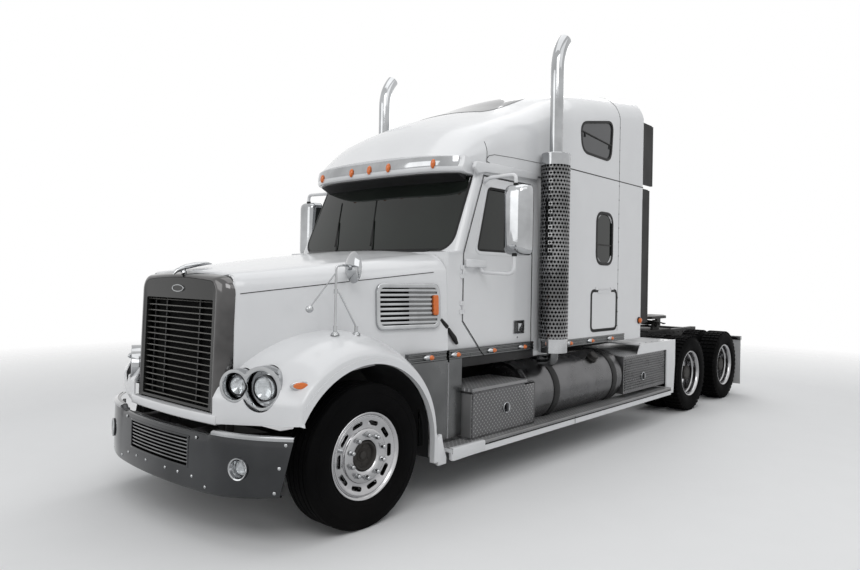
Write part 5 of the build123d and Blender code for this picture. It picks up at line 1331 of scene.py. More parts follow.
for x, z in BOLT_PLACES + mm([(1136, 545), (1168, 690), (500, 672)]):
    out_x, out_y = face_turn(x)
    bolts.append(moved(bolt, pointing((x, station(front_y(x)), z), (out_x, out_y, 0))))
pair("bumper_bolts", joined(bolts), CHROME)
trim_rings = []
for k in range(19):
    x = 0.65 + 0.556 * k / 18
    out_x, out_y = face_turn(x)
    rim = top_edge(x)
    section = [
        (0.022, rim + 0.002), (0.002, rim - 0.006), (-0.0025, rim - 0.012), (-0.0025, rim - 0.026),
        (0.004, rim - 0.03)
    ]
    trim_rings.append([(x - out_x * inset, station(front_y(x) - out_y * inset), z) for inset, z in section])
pair("bumper_top_trim", loft(trim_rings), CHROME)


# ==== roof cap ====

# roof cap sections: y behind the axle, side x, side top z, top corner x, top corner z, centre z
CAP_ROWS = mm([
    (1050, 960, 2770, 900, 2790, 2815), (1450, 1030, 2870, 850, 3080, 3180),
    (2300, 1062, 3130, 860, 3430, 3540), (2950, 1088, 3400, 850, 3700, 3790),
    (4460, 1088, 3720, 800, 3990, 4040)
])
CAP_FOOT_Z = 2.742


def swept_back(x):
    """How far the visor and the cap's front edge run back at an x."""
    t = abs(x) / 0.95
    return 0.03 * t**2 + 0.12 * t**5


def cap_ring(y, shrink=0.0, foot=CAP_FOOT_Z):
    side_x, side_z, top_x, top_z, centre_z = smooth_rows(CAP_ROWS, y)
    outline = dome_ring(y, side_x, foot, side_x, side_z, top_x, top_z, centre_z, shrink)
    share = max(0.0, min(1.0, 1 - (y - 1.05) / 0.5))
    return [(x, py + swept_back(x) * share, z) for x, py, z in outline]


cap_places = [1.05, 1.058, 1.075, 1.11, 1.17, 1.25, 1.35, 1.45]
cap_places += [1.45 + 3.0 * k / 36 for k in range(1, 36)] + [4.43, 4.448]
cap_rings = [cap_ring(y) for y in cap_places]
cap_rings.append([(x * 0.994, station(4.458), z - 0.01) for x, y, z in cap_ring(4.46)])
cap_rings.append([(x * 0.985, station(4.46), z - 0.028) for x, y, z in cap_ring(4.46)])
cap_rings = [[(x * 0.97, y - 0.001, 2.7 + (z - 2.7) * 0.55) for x, y, z in cap_rings[0]]] + cap_rings
roof = walled(loft(cap_rings, closed=False), 0.012)
upper_window = mm([(3005, 3098), (3631, 3083), (3674, 3535), (2967, 3400)])
window_cutter = side_slab(rounded(upper_window, 0.125, 8), -1.3, 1.3)
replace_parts(piece("roof_shell", cut(roof, [window_cutter]), PAINT, angle=40), "roof_cap")
rear_face = [(x * 0.99, z - 0.016) for x, y, z in cap_ring(4.46)]
piece("roof_rear_wall", front_slab(rear_face, 4.43, 4.452), PAINT)


# ---- visor, its lamp strip and the drip rails ----
def brow_ring(x):
    """Section of the visor at an x: a rounded lip ahead of the screen."""
    sweep = swept_back(x)
    ahead = mm([
        (1046, 2735), (1030, 2706), (1030, 2680), (1040, 2662), (1072, 2652), (1268, 2645), (1268, 2760),
        (1060, 2800)
    ])
    return [(x, station(y + sweep), z) for y, z in ahead]


brow = loft([brow_ring(-0.985 + 1.97 * k / 40) for k in range(41)])
piece("visor_lip", brow, PAINT, bevel=0.004)
# underside sections: y behind the axle, z, share of the visor's sweep
UNDER_ROWS = mm([(1075, 2642, 1000), (1262, 2590, 350), (1262, 2645, 350), (1075, 2655, 1000)])
under_rings = []
for k in range(25):
    x = -0.93 + 1.86 * k / 24
    under_rings.append([(x, station(y + swept_back(x) * share), z) for y, z, share in UNDER_ROWS])
# black underside of the visor: painted shade under the overhang
piece("visor_shaded_underside", loft(under_rings), PLASTIC)
strip_rings = []
for k in range(33):
    x = -0.95 + 1.9 * k / 32
    sweep = swept_back(x)
    strip_rings.append([
        (x, station(y + sweep), z)
        for y, z in mm([(1027, 2702), (1030, 2745), (1040, 2790), (1054, 2796), (1054, 2704)])
    ])
piece("visor_strip", loft(strip_rings), CHROME, bevel=0.003)
roof_lamp = lathe(mm([(0, 0), (34, 0), (33, 8), (26, 18), (12, 24), (0, 26)]), 24)
roof_lamp = moved(roof_lamp, Matrix.Diagonal((0.62, 1.25, 1.0, 1.0)))
lamps = []
for x in (-0.75, -0.25, 0.0, 0.25, 0.75):
    sweep = swept_back(x)
    spot = (x, station(1.029 + sweep), 2.724 - 0.02 * max(0.0, -x))
    lamps.append(moved(roof_lamp, pointing(spot, (x * 0.05, -1.0, 0.16))))
piece("roof_lamps", joined(lamps), AMBER)
drip = mm([
    (1275, 2700), (1330, 2650), (1420, 2672), (2225, 2706), (2232, 2722), (2225, 2770), (1600, 2765),
    (1300, 2750)
])
pair("door_drip_rail", side_slab(drip, 1.02, 1.06), PAINT, bevel=0.008, segments=3)


def cap_side(y, z):
    """Outer x of the roof cap's flank."""
    side_x, side_z, top_x, top_z, _ = smooth_rows(CAP_ROWS, y)
    if z <= side_z:
        return side_x
    return min(shoulder(side_x, side_z, top_x, top_z, 24), key=lambda p: abs(p[1] - z))[0]


def over_roof(y, low_z, lift=0.0006):
    """Line across the roof cap at a distance behind the axle, from a height on one flank to the other."""
    return [(x * (1 + lift), py, z + lift) for x, py, z in cap_ring(y) if z > low_z]


# dark line along the roof cap's flank: painted shadow under a soft fold
groove = mm([
    (2440, 2872), (2270, 2870), (1830, 2860), (1570, 2848), (1500, 2830), (1468, 2800), (1470, 2776),
    (1520, 2762)
])
groove_points = [(cap_side(y, z) + 0.0008, station(y), z) for y, z in finer(groove, 4)]
pair("roof_side_shadow_line", tube(groove_points, 0.0022, 6), RUBBER)


def crown_z(x, y):
    """Height of the roof cap's crown at a place."""
    line = sorted((p[0], p[2]) for p in cap_ring(y) if abs(p[0]) < 0.86)
    i = max(k for k in range(len(line) - 1) if line[k][0] <= x)
    (x0, z0), (x1, z1) = line[i], line[i + 1]
    return z0 + (z1 - z0) * (x - x0) / max(x1 - x0, 1e-6)


pane_rings = []
for k in range(17):
    y = 2.02 + 0.76 * k / 16
    half = 0.56 - 0.06 * abs(2 * k / 16 - 1) ** 6
    across = [half * (2 * j / 20 - 1) for j in range(21)]
    top_line = [(x, station(y), crown_z(x, y) + 0.004) for x in across]
    pane_rings.append(top_line + [(x, y, z - 0.01) for x, y, z in reversed(top_line)])
piece("roof_skylight_pane", loft(pane_rings), SKYLIGHT, angle=30)
flank_seam = [p for p in over_roof(1.42, 2.75) if p[0] > 0 and p[2] < 2.97]
pair("roof_front_seam", tube(flank_seam, 0.0022, 6), RUBBER)
piece("roof_rear_seam", tube(over_roof(3.84, 2.88), 0.0024, 6), RUBBER)


# ==== cab ====

# cab plan sections: z, front centre y, front corner y, half width, corner radius
CAB_ROWS = mm([
    (1958, 934, 937, 1056, 30), (1974, 990, 1060, 1054, 70), (2660, 1270, 1345, 1022, 70),
    (2742, 1270, 1345, 1020, 70)
])
CAB_X = 1.056
DOOR = "door_{side}"


def cab_values(z):
    i = max(k for k in range(3) if CAB_ROWS[k][0] <= z)
    a, b = CAB_ROWS[i], CAB_ROWS[i + 1]
    t = (z - a[0]) / (b[0] - a[0])
    return [a[k] + (b[k] - a[k]) * t for k in range(1, 5)]


def screen_y(x, z):
    """Cab front's y behind the axle."""
    centre_y, corner_y, half, corner_r = cab_values(z)
    reach = half - corner_r
    rise = corner_y - centre_y
    radius = (reach**2 + rise**2) / (2 * rise)
    if abs(x) <= reach:
        return centre_y + radius - sqrt(radius**2 - x**2)
    over = min(abs(x) - reach, corner_r)
    return corner_y + corner_r - sqrt(max(corner_r**2 - over**2, 0.0))


def cab_side_x(z):
    return cab_values(z)[2] if z >= CAB_ROWS[0][0] else CAB_X


def outline_ring(outline, outer, inner, depth_outer, depth_inner, place):
    """Moulding that follows an outline: place(point, depth) gives its spot in space."""
    middle = Vector((sum(p[0] for p in outline) / len(outline), sum(p[1] for p in outline) / len(outline)))
    count = len(outline)
    rings = []
    for i, p in enumerate(outline):
        before, after = Vector(outline[i - 1]), Vector(outline[(i + 1) % count])
        along = (after - before).normalized()
        out = Vector((along.y, -along.x))
        if out.dot(Vector(p) - middle) < 0:
            out = -out
        spot = Vector(p)
        rings.append([
            place(spot + out * outer, depth_outer),
            place(spot + out * outer, -depth_inner),
            place(spot + out * inner, -depth_inner),
            place(spot + out * inner, depth_outer),
        ])
    rings.append(rings[0])
    return loft(rings, cap=False)


def on_screen(spot, proud):
    x, z = spot
    return x, station(screen_y(x, z) - proud), z


def on_flank(spot, proud):
    y, z = spot
    return cab_side_x(z) + proud, station(y), z


def resampled(outline, gap):
    """A closed outline with points no further apart than the gap."""
    made = []
    for i, p in enumerate(outline):
        a, b = Vector(p), Vector(outline[(i + 1) % len(outline)])
        steps = max(1, ceil((b - a).length / gap))
        made += [tuple(a.lerp(b, k / steps)) for k in range(steps)]
    return made


corner_arc = [(0.855 + 0.13 * sin(radians(9 * k)), 2.112 - 0.13 * cos(radians(9 * k))) for k in range(11)]
screen = resampled(
    [(-x, z) for x, z in reversed(corner_arc)] + corner_arc + [(0.975, 2.632), (-0.975, 2.632)], 0.06
)
sheet_rings = []
for k in range(49):
    x = 0.984 * (2 * k / 48 - 1)
    over = max(0.0, abs(x) - 0.855)
    low_z = 2.112 - sqrt(0.13**2 - over**2)
    heights = [low_z + (2.63 - low_z) * j / 8 for j in range(9)]
    outside = [on_screen((x, z), 0.0014) for z in heights]
    inside = [on_screen((x, z), -0.005) for z in reversed(heights)]
    sheet_rings.append(outside + inside)
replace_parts(piece("screen_glass", loft(sheet_rings), DARK_GLASS, angle=30), "windshield")
piece("screen_seal", outline_ring(screen, 0.012, -0.01, 0.003, 0.018, on_screen), RUBBER)
# dark band across the top of the screen in shadow black: painted shade under the visor
band_corners = ((2.52, -0.012), (2.615, -0.012), (2.615, -0.014), (2.52, -0.014))
header_rings = []
for k in range(25):
    x = -0.9 + 1.8 * k / 24
    header_rings.append([on_screen((x, z), proud) for z, proud in band_corners])
piece("screen_header_shade_band", loft(header_rings), DARK)
door_window = rounded(mm([(1325, 1985), (2040, 1985), (2040, 2552), (1500, 2552)]), 0.05, 6)
pair("door_window_seal", outline_ring(door_window, 0.004, -0.016, 0.003, 0.018, on_flank), RUBBER, DOOR)
pair(
    "door_window_frame", outline_ring(door_window, 0.034, 0.004, 0.004, 0.006, on_flank), PAINT, DOOR,
    bevel=0.002
)
door_edge = resampled(mm([
    (1145, 1385), (1375, 1140), (2159, 1140), (2159, 2650), (1440, 2650), (1145, 1955)
]), 0.12)
pair("door_edge_line", outline_ring(door_edge, -0.001, -0.011, 0.001, 0.003, on_flank), RUBBER, DOOR)
pair("door_edge_shadow", outline_ring(door_edge, -0.002, -0.012, -0.03, 0.04, on_flank), RUBBER, DOOR)

for x0, x1, end in ((-0.47, -0.61, "right"), (0.05, -0.07, "left")):
    arm = tube([
        on_screen((x0 + 0.05, 1.985), 0.01), on_screen((x0 + 0.02, 2.06), 0.014),
        on_screen(((x0 + x1) / 2, 2.27), 0.01)
    ], 0.006, 8)
    blade = tube([
        on_screen((x0, 2.03), 0.005), on_screen(((x0 + x1) / 2, 2.25), 0.005), on_screen((x1, 2.47), 0.004)
    ], 0.006, 6)
    piece(f"wiper_{end}", joined([arm, blade]), RUBBER)

cowl_line = mm([(936, 1955), (995, 1982), (1010, 1975), (960, 1940)])
piece("cowl_vent", side_slab(cowl_line, -0.8, 0.8), PLASTIC)

# ---- door fittings ----
handle_pan = ring_plate(
    rounded(rect(0.088, 0.062), 0.014, 4), rounded(rect(0.076, 0.05), 0.01, 4), -0.004, 0.006
)
FLANK = Matrix(((0, 0, 1, 0), (1, 0, 0, 0), (0, 1, 0, 0), (0, 0, 0, 1)))


def on_side(mesh, x, y, z):
    """A mesh modelled flat, stood up on the left flank at x with its local x running rearward."""
    return moved(moved(mesh, FLANK), shift(x, station(y), z))


pair("door_handle_rim", on_side(handle_pan, CAB_X, 1.955, 1.3), CHROME, DOOR, bevel=0.003)
pair(
    "door_handle_pocket",
    on_side(plate(rounded(rect(0.078, 0.052), 0.01, 4), 0.0, 0.002), CAB_X, 1.955, 1.3), STAINLESS, DOOR
)
pull = plate(rounded(box_line(-20, -38, 68, 38), 0.006, 3), 0.001, 0.016)
pair("door_handle_pull", on_side(pull, CAB_X, 1.955, 1.3), CHROME, DOOR, bevel=0.004)
keyhole = lathe(mm([(0, 0), (9, 0), (9, 4), (4, 5), (0, 4)]), 16)
pair("door_lock", on_side(keyhole, CAB_X, 1.935, 1.205), CHROME, DOOR)
for k, z in enumerate((1.5, 1.8)):
    leaf = plate(rounded(rect(0.017, 0.03), 0.004, 3), 0.0, 0.004)
    pair(f"door_hinge_cover_{k}", on_side(leaf, CAB_X, 1.172, z), PAINT, DOOR)

# ---- door mirrors ----
rings = []
MIRROR_ROWS = mm([
    (1350, 24, 200, 1404), (1353, 62, 250, 1404), (1366, 90, 277, 1402), (1398, 108, 292, 1402),
    (1440, 114.5, 297, 1402), (1496, 115, 297.5, 1402)
])
for depth, half_x, half_z, middle_x in MIRROR_ROWS:
    outline = rounded(rect(half_x, half_z), min(half_x * 0.85, 0.06), 7)
    rings.append([(middle_x + x, station(depth), 2.2435 + z) for x, z in outline])
pair("door_mirror_shell", loft(rings), CHROME, DOOR, angle=50)
lip = ring_plate(rounded(rect(0.1155, 0.298), 0.06, 7), rounded(rect(0.105, 0.288), 0.052, 7), 0.0, 0.006)
back_at = shift(1.402, station(1.494), 2.2435) @ Matrix.Rotation(-pi / 2, 4, "X")
pair("door_mirror_rim", moved(lip, back_at), RUBBER, DOOR)
glass = plate(rounded(rect(0.106, 0.15), 0.04, 6), 0.001, 0.004)
pair("door_mirror_glass", moved(moved(glass, shift(0, -0.125, 0)), back_at), MIRROR, DOOR)
glass = plate(rounded(rect(0.106, 0.115), 0.04, 6), 0.001, 0.006)
pair("door_mirror_wide_glass", moved(moved(glass, shift(0, 0.16, 0)), back_at), MIRROR, DOOR, bevel=0.002)
arms = joined([
    tube(placed([
        (1080, 1340, 1870), (1083, 1360, 1800), (1400, 1400, 1786), (1400, 1400, 1960)
    ]), 0.0165, 14, 0.07),
    tube(placed([
        (1030, 1440, 2590), (1100, 1425, 2620), (1400, 1405, 2622), (1400, 1405, 2530)
    ]), 0.0165, 14, 0.07),
])
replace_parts(piece("door_mirror_arms_left", arms, PAINT, "door_left"), "door_mirror_left")
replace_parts(piece("door_mirror_arms_right", mirrored(arms), PAINT, "door_right"), "door_mirror_right")
bracket_plan = [
    (x, station(y)) for x, y in mm([(1052, 1160), (1085, 1160), (1104, 1200), (1104, 1405), (1052, 1425)])
]
pair("door_mirror_bracket", plate(bracket_plan, 1.838, 1.906), PAINT, DOOR, bevel=0.008, segments=3)
mirror_clamps = joined([
    tube([(1.4, station(1.405), 2.515), (1.4, station(1.405), 2.55)], 0.022, 14),
    tube([(1.4, station(1.4), 1.936), (1.4, station(1.4), 1.962)], 0.022, 14),
])
pair("door_mirror_clamps", mirror_clamps, RUBBER, DOOR)


# ==== sleeper ====

SLEEPER_X = 1.09


def on_sleeper(spot, proud):
    return SLEEPER_X + proud, station(spot[0]), spot[1]


oval = resampled(rounded(box_line(3335, 1928, 3690, 2489), 0.125, 12), 0.05)
pair("sleeper_window_seal", outline_ring(oval, 0.016, -0.016, 0.006, 0.02, on_sleeper), RUBBER, bevel=0.003)
divider = side_slab(box_line(3345, 2130, 3680, 2146), SLEEPER_X - 0.022, SLEEPER_X - 0.004)
pair("sleeper_window_divider", divider, CAST)
oval_glass = side_slab(
    rounded(box_line(3340, 1934, 3684, 2483), 0.125, 10), SLEEPER_X - 0.02, SLEEPER_X - 0.01
)
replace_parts(piece("sleeper_window_glass_left", oval_glass, DARK_GLASS), "sleeper_windows")
piece("sleeper_window_glass_right", mirrored(oval_glass), DARK_GLASS)
upper = resampled(rounded(upper_window, 0.125, 8), 0.05)


def on_cap(spot, proud):
    y, z = spot
    return cap_side(y, z) + proud, station(y), z


pair("upper_window_seal", outline_ring(upper, 0.012, -0.014, 0.004, 0.018, on_cap), RUBBER)
pane_outer = [on_cap(p, -0.008) for p in upper]
pane_inner = [on_cap(p, -0.014) for p in upper]
pair("upper_window_glass", loft([pane_outer, pane_inner]), SKYLIGHT, angle=20)
rail = [on_cap((2.985, 3.318), -0.004), on_cap((3.3, 3.29), -0.004), on_cap((3.65, 3.262), -0.004)]
pair("upper_window_rail", tube(rail, 0.008, 8), CAST)
catches = joined([
    tube([on_cap((y, z), -0.006), on_cap((y, z - 0.045), -0.002)], 0.009, 8)
    for y, z in ((3.06, 3.308), (3.6, 3.262))
])
pair("upper_window_catches", catches, RUBBER)
luggage = resampled(rounded(box_line(3231, 1190, 3818, 1641), 0.07, 8), 0.08)
pair("luggage_door_seal", outline_ring(luggage, 0.007, -0.004, 0.004, 0.01, on_sleeper), RUBBER)
luggage_leaf = resampled(rounded(box_line(3243, 1203, 3806, 1629), 0.06, 8), 0.08)
pair(
    "luggage_door_edge", outline_ring(luggage_leaf, 0.004, -0.012, 0.003, 0.004, on_sleeper), RUBBER,
    "luggage_door_{side}"
)
rivet = lathe(mm([(0, 0), (7.5, 0), (6, 3), (0, 4)]), 10)
first_rivet = moved(rivet, pointing((SLEEPER_X, station(3.84), 1.23), (1, 0, 0)))
rivet_row = row(first_rivet, 11, (0.0, 0.0, 0.16), CAST)
pair("sleeper_rivets", rivet_row, CAST)
cap_rivets = joined([
    moved(rivet, pointing(on_cap((3.84, 2.98 + 0.13 * k), 0.0), (1, 0, 0.1))) for k in range(6)
])
pair("roof_rivets", cap_rivets, CAST)
pair(
    "sleeper_panel_seam", block((SLEEPER_X - 0.001, SLEEPER_X + 0.0012), (3.838, 3.842), (1.175, 2.886)),
    RUBBER
)
pair(
    "sleeper_cap_seam", block((SLEEPER_X - 0.012, SLEEPER_X + 0.0015), (2.47, 4.455), (2.879, 2.889)),
    RUBBER
)
marker_at = pointing((SLEEPER_X - 0.002, station(4.395), 1.27), (1, 0, 0))
amber_side = lathe(mm([(0, 0), (36, 0), (36, 10), (30, 12), (30, 30), (20, 38), (0, 41)]), 24)
pair("sleeper_side_marker", moved(amber_side, marker_at), AMBER)
marker_base = lathe(mm([(0, 0), (42, 0), (42, 8), (36, 12), (0, 12)]), 24)
pair("sleeper_side_marker_base", moved(marker_base, marker_at), RUBBER)
extender_trim = joined([
    block((1.06, 1.068), (4.462, 4.476), (1.24, 2.875)), block((1.06, 1.068), (4.462, 4.476), (2.94, 3.68))
])
edge_low = block((1.048, 1.062), (4.646, 4.7), (1.236, 2.874))
edge_high = block((1.048, 1.062), (4.736, 4.78), (2.936, 3.684))
pair("extender_edge", joined([edge_low, edge_high]), RUBBER, bevel=0.003)
pair("extender_trim", extender_trim, STAINLESS)


# ==== belt trim with its marker lamps ====

TRIM_LOW_Z = 1.082
TRIM_RAKE = 1.05


def trim(y0, y1, x0, z0=TRIM_LOW_Z, z1=1.158):
    """Ribbed belt moulding between two distances behind the axle."""
    section = [
        (x0, z0), (1.094, z0), (1.099, z0 + 0.005), (1.099, z0 + 0.016), (1.093, z0 + 0.021),
        (1.093, z0 + 0.027)
    ]
    section += [(1.098, z0 + 0.032), (1.098, z0 + 0.044), (1.093, z0 + 0.049), (1.093, z0 + 0.055)]
    section += [(1.099, z0 + 0.06), (1.099, z1 - 0.005), (1.094, z1), (x0, z1)]
    return front_slab(section, y0, y1)


pair("belt_trim_hood", trim(0.48, 0.912, 1.06), STAINLESS, "hood", angle=25)
cowl_trim = trim(0.945, 1.385, 1.05)
for corner in cowl_trim.vertices:
    if corner.co.y > station(1.3):
        corner.co.y -= (corner.co.z - TRIM_LOW_Z) * TRIM_RAKE
pair("belt_trim_cowl", cowl_trim, STAINLESS, angle=25)
# dark strip over the cab's lower edge under the belt trim: painted shadow
pair("sill_shadow_strip", block((1.05, 1.0915), (0.945, 2.15), (1.006, 1.0815)), CHASSIS, bevel=0.004)
door_trim = trim(1.399, 2.146, 1.054)
for corner in door_trim.vertices:
    if corner.co.y < station(1.5):
        corner.co.y -= (corner.co.z - TRIM_LOW_Z) * TRIM_RAKE
pair("belt_trim_door", door_trim, STAINLESS, DOOR, angle=25)
pair("belt_trim_sleeper", trim(2.48, 4.01, 1.06, z0=1.06, z1=1.136), STAINLESS, angle=25)
bullet = lathe(mm([(0, 30), (20, 29), (33, 20), (40, 6), (40, 0), (0, 0)]), 24)
bullet = moved(bullet, Matrix.Diagonal((1.45, 0.62, 1.0, 1.0)))
amber_bud = lathe(mm([(0, 24), (14, 22), (22, 14), (25, 0), (0, 0)]), 20)
amber_bud = moved(amber_bud, Matrix.Diagonal((1.15, 0.8, 1.0, 1.0)))
BELT_LAMPS = [
    (0.7, "hood"), (1.02, "chassis"), (1.5, DOOR), (1.96, DOOR), (2.78, "chassis"), (3.22, "chassis"),
    (3.66, "chassis")
]
for number, (y, body) in enumerate(BELT_LAMPS):
    z = 1.098 if y > 2.4 else 1.12
    pair(f"belt_lamp_base_{number}", on_side(bullet, 1.096, y, z), CHROME, body)
    pair(f"belt_lamp_{number}", on_side(amber_bud, 1.114, y + 0.01, z), AMBER, body)

# ---- stainless quarter panels ----
panel_line = mm([(450, 1083), (470, 1010), (520, 915), (602, 800), (602, 446), (924, 446), (924, 1083)])
pair("quarter_panel_hood", side_slab(panel_line, 1.0885, 1.1015), STAINLESS, "hood")
pair("quarter_panel_cab", block((1.0885, 1.1015), (0.942, 1.099), (0.446, 1.084)), STAINLESS)


# ==== exhaust stacks ====

STACK_X = 1.206
STACK_Y = 2.315
STACK = (STACK_X, station(STACK_Y))
BEND_DEGREES = 42
BEND_R = 0.48
SHIELD_R = 0.14
TILE_ROWS = 46
TILE_COUNT = 26
SHIELD_LOW_Z = 1.165
TILE_H = 0.0365
TILE_W = 2 * SHIELD_R * tan(pi / TILE_COUNT)


def shield_tile():
    """Piece of the heat shield with one diamond-shaped slot, tangent to the shield on its +X side."""
    half_w, half_h = TILE_W / 2, TILE_H / 2
    outer = [
        (-half_w, -half_h), (0, -half_h), (half_w, -half_h), (half_w, 0), (half_w, half_h), (0, half_h),
        (-half_w, half_h), (-half_w, 0)
    ]
    hole_w, hole_h = half_w * 0.9, half_h * 0.84
    hole = [
        (-hole_w * 0.5, -hole_h * 0.5), (0, -hole_h), (hole_w * 0.5, -hole_h * 0.5), (hole_w, 0),
        (hole_w * 0.5, hole_h * 0.5), (0, hole_h), (-hole_w * 0.5, hole_h * 0.5), (-hole_w, 0)
    ]
    verts = [(SHIELD_R - 0.0005, y, z) for y, z in outer] + [(SHIELD_R - 0.0005, y, z) for y, z in hole]
    verts += [(SHIELD_R - 0.006, y, z) for y, z in hole]
    faces = [(i, (i + 1) % 8, 8 + (i + 1) % 8, 8 + i) for i in range(8)]
    faces += [(8 + i, 8 + (i + 1) % 8, 16 + (i + 1) % 8, 16 + i) for i in range(8)]
    return mesh_from(verts, faces)


tile = shield_tile()
if tile.polygons[0].normal.x < 0:
    tile.flip_normals()
shield = ring(tile, TILE_COUNT, FLANK_CHROME, rows=TILE_ROWS, pitch=TILE_H, stagger=0.5)
shield_at = shift(*STACK, SHIELD_LOW_Z + TILE_H / 2)
pair("stack_shield", moved(shield, shield_at), FLANK_CHROME, angle=25)
shield_top = SHIELD_LOW_Z + TILE_ROWS * TILE_H
stack_at = shift(*STACK, 0)
bands = joined([
    lathe([
        (SHIELD_R - 0.006, 1.052), (SHIELD_R, 1.052), (SHIELD_R, SHIELD_LOW_Z + 0.004),
        (SHIELD_R - 0.006, SHIELD_LOW_Z + 0.004)
    ], 56),
    lathe([
        (SHIELD_R - 0.006, shield_top - 0.004), (SHIELD_R, shield_top - 0.004), (SHIELD_R, 2.944),
        (SHIELD_R - 0.004, 2.95), (0.066, 2.95), (0.066, 2.944), (SHIELD_R - 0.01, 2.944)
    ], 56),
])
pair("stack_bands", moved(bands, stack_at), CHROME)
muffler = lathe(mm([(0, 1070), (110, 1070), (122, 1085), (122, 2900), (110, 2915), (0, 2915)]), 40)
# the muffler in shadow black: painted shade inside the heat shield
pair("stack_muffler", moved(muffler, stack_at), DARK)
tip = [(*STACK, 2.93), (*STACK, 3.3), (*STACK, 3.74)]
for k in range(1, 11):
    a = radians(BEND_DEGREES * k / 10)
    tip.append((STACK_X, station(STACK_Y + BEND_R * (1 - cos(a))), 3.76 + BEND_R * sin(a)))
pair("stack_pipe", tube(tip, 0.0635, 32), CHROME)
mouth_ahead = (0, sin(radians(BEND_DEGREES)), cos(radians(BEND_DEGREES)))
# dark disc in the pipe's mouth: painted shade inside the pipe
pair("stack_mouth", moved(disc(0.058, -0.004, 0.0012, 32), pointing(tip[-1], mouth_ahead)), DARK)
elbow = tube([(*STACK, 1.07), (*STACK, 0.965), (1.06, station(STACK_Y), 0.958)], 0.055, 20, 0.1, 8)
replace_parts(piece("stack_elbow_left", elbow, STAINLESS), "exhaust_stacks")
piece("stack_elbow_right", mirrored(elbow), STAINLESS)
for k, z in enumerate((1.3, 1.86)):
    pair(
        f"stack_bracket_{k}",
        block((1.04, STACK_X - SHIELD_R + 0.006), (STACK_Y - 0.025, STACK_Y + 0.025), (z, z + 0.06)), CAST,
        bevel=0.004
    )
clamp_line = [
    (SHIELD_R - 0.001, 0.0), (SHIELD_R + 0.003, 0.0), (SHIELD_R + 0.003, 0.022), (SHIELD_R - 0.001, 0.022)
]
clamps = joined([lathe([(r, z + rise) for r, rise in clamp_line], 48) for z in (1.162, 2.836)])
pair("stack_clamps", moved(clamps, stack_at), CHROME)


# ==== flank equipment ====

TANK_X, TANK_Z, TANK_R = 0.893, 0.664, 0.302
ALONG = Matrix.Rotation(pi / 2, 4, "X")


def around_tank(profile, y, count=64):
    """Turn an outline of (radius, height forward) about the tank's line at a distance behind the axle."""
    return moved(moved(lathe(profile, count), ALONG), shift(TANK_X, station(y), TANK_Z))


strap = [(TANK_R + 0.0005, -0.05), (TANK_R + 0.006, -0.05), (TANK_R + 0.006, 0.05), (TANK_R + 0.0005, 0.05)]
pair("tank_straps", joined([around_tank(strap, y) for y in (2.42, 3.6)]), RUBBER, bevel=0.002)
seams = [(TANK_R - 0.001, -0.004), (TANK_R + 0.002, 0.0), (TANK_R - 0.001, 0.004)]
pair("tank_seams", joined([around_tank(seams, y, 48) for y in (1.965, 3.71)]), TANK_ALLOY)
dish = [
    (0.0, 0.03), (0.14, 0.028), (0.23, 0.018), (0.285, 0.004), (TANK_R - 0.002, -0.012),
    (TANK_R - 0.002, -0.03), (0.0, -0.03)
]
pair("tank_front_dish", around_tank(dish, 1.912), TANK_ALLOY)
cap_base = lathe(mm([
    (0, -30), (60, -30), (60, 10), (52, 14), (52, 30), (56, 34), (56, 52), (46, 60), (0, 62)
]), 32)
cap_turn = radians(38)
cap_spot = (TANK_X + TANK_R * sin(cap_turn), station(3.285), TANK_Z + TANK_R * cos(cap_turn))
cap_at = pointing(cap_spot, (sin(cap_turn), 0, cos(cap_turn)))
pair("tank_cap", moved(cap_base, cap_at), CAST)


def tee_latch(x, y, name):
    """Folding T handle in a dished round plate."""
    plate_disc = lathe(mm([(0, 4), (30, 4), (46, 10), (50, 6), (50, 0), (0, 0)]), 28)
    bar = plate(rounded(rect(0.012, 0.036), 0.006, 4), 0.004, 0.02)
    pair(name + "_plate", on_side(plate_disc, x, y, 0.62), CHROME)
    pair(name + "_handle", on_side(bar, x, y, 0.62), CHROME_DARK_REFLECTION, bevel=0.003)


def on_box(spot, proud):
    return 1.195 + proud, station(spot[0]), spot[1]


tee_latch(1.196, 1.6, "front_box_latch")
tee_latch(1.204, 4.3, "rear_box_latch")
pair("tank_front_cover", block((1.06, 1.198), (1.8665, 2.03), (0.428, 0.806)), PLATE_IN_SHADE, bevel=0.004)
front_face = box_line(770, 430, 1192, 790)
pair("front_box_panel", front_slab(front_face, 1.118, 1.127), BOX_ALLOY, bevel=0.003)
rib = front_slab(mm([(1193, -11), (1203.5, -6), (1203.5, 6), (1193, 11)]), 3.84, 4.9)
ribs = row(moved(rib, shift(0, 0, 0.498)), 13, (0.0, 0.0, 0.0285), TANK_ALLOY)
pair("rear_box_ribs", ribs, TANK_ALLOY, angle=20)
rear_top = mm([(640, 905), (640, 955), (1199, 889), (1199, 880)])
pair("rear_box_lid", front_slab(rear_top, 3.806, 4.934), PLATE_LIT_FROM_ABOVE, bevel=0.002)
box_edge = resampled(box_line(1140, 430, 2026, 792), 0.2)
pair("front_box_edge", outline_ring(box_edge, 0.012, -0.004, 0.003, 0.002, on_box), TANK_ALLOY)
board_top = [(1.066, station(0.814)), (1.25, station(0.814)), (1.25, station(4.974)), (1.066, station(4.974))]
foot_line = mm([
    (664, 500), (684, 350), (688, 300), (780, 300), (782, 350), (768, 385), (748, 440), (722, 540)
])
pair("fender_foot", side_slab(foot_line, 1.196, 1.2335), PAINT, "hood", bevel=0.006)
nose_line = rounded(mm([(815, 316), (1220, 326), (1220, 415.5), (815, 418)]), 0.018, 4)
pair("running_board_nose", side_slab(nose_line, 1.225, 1.2705), PAINT, bevel=0.006)
pair("running_board_tread", plate(board_top, 0.41, 0.4135), PLATE_LIT_FROM_ABOVE)
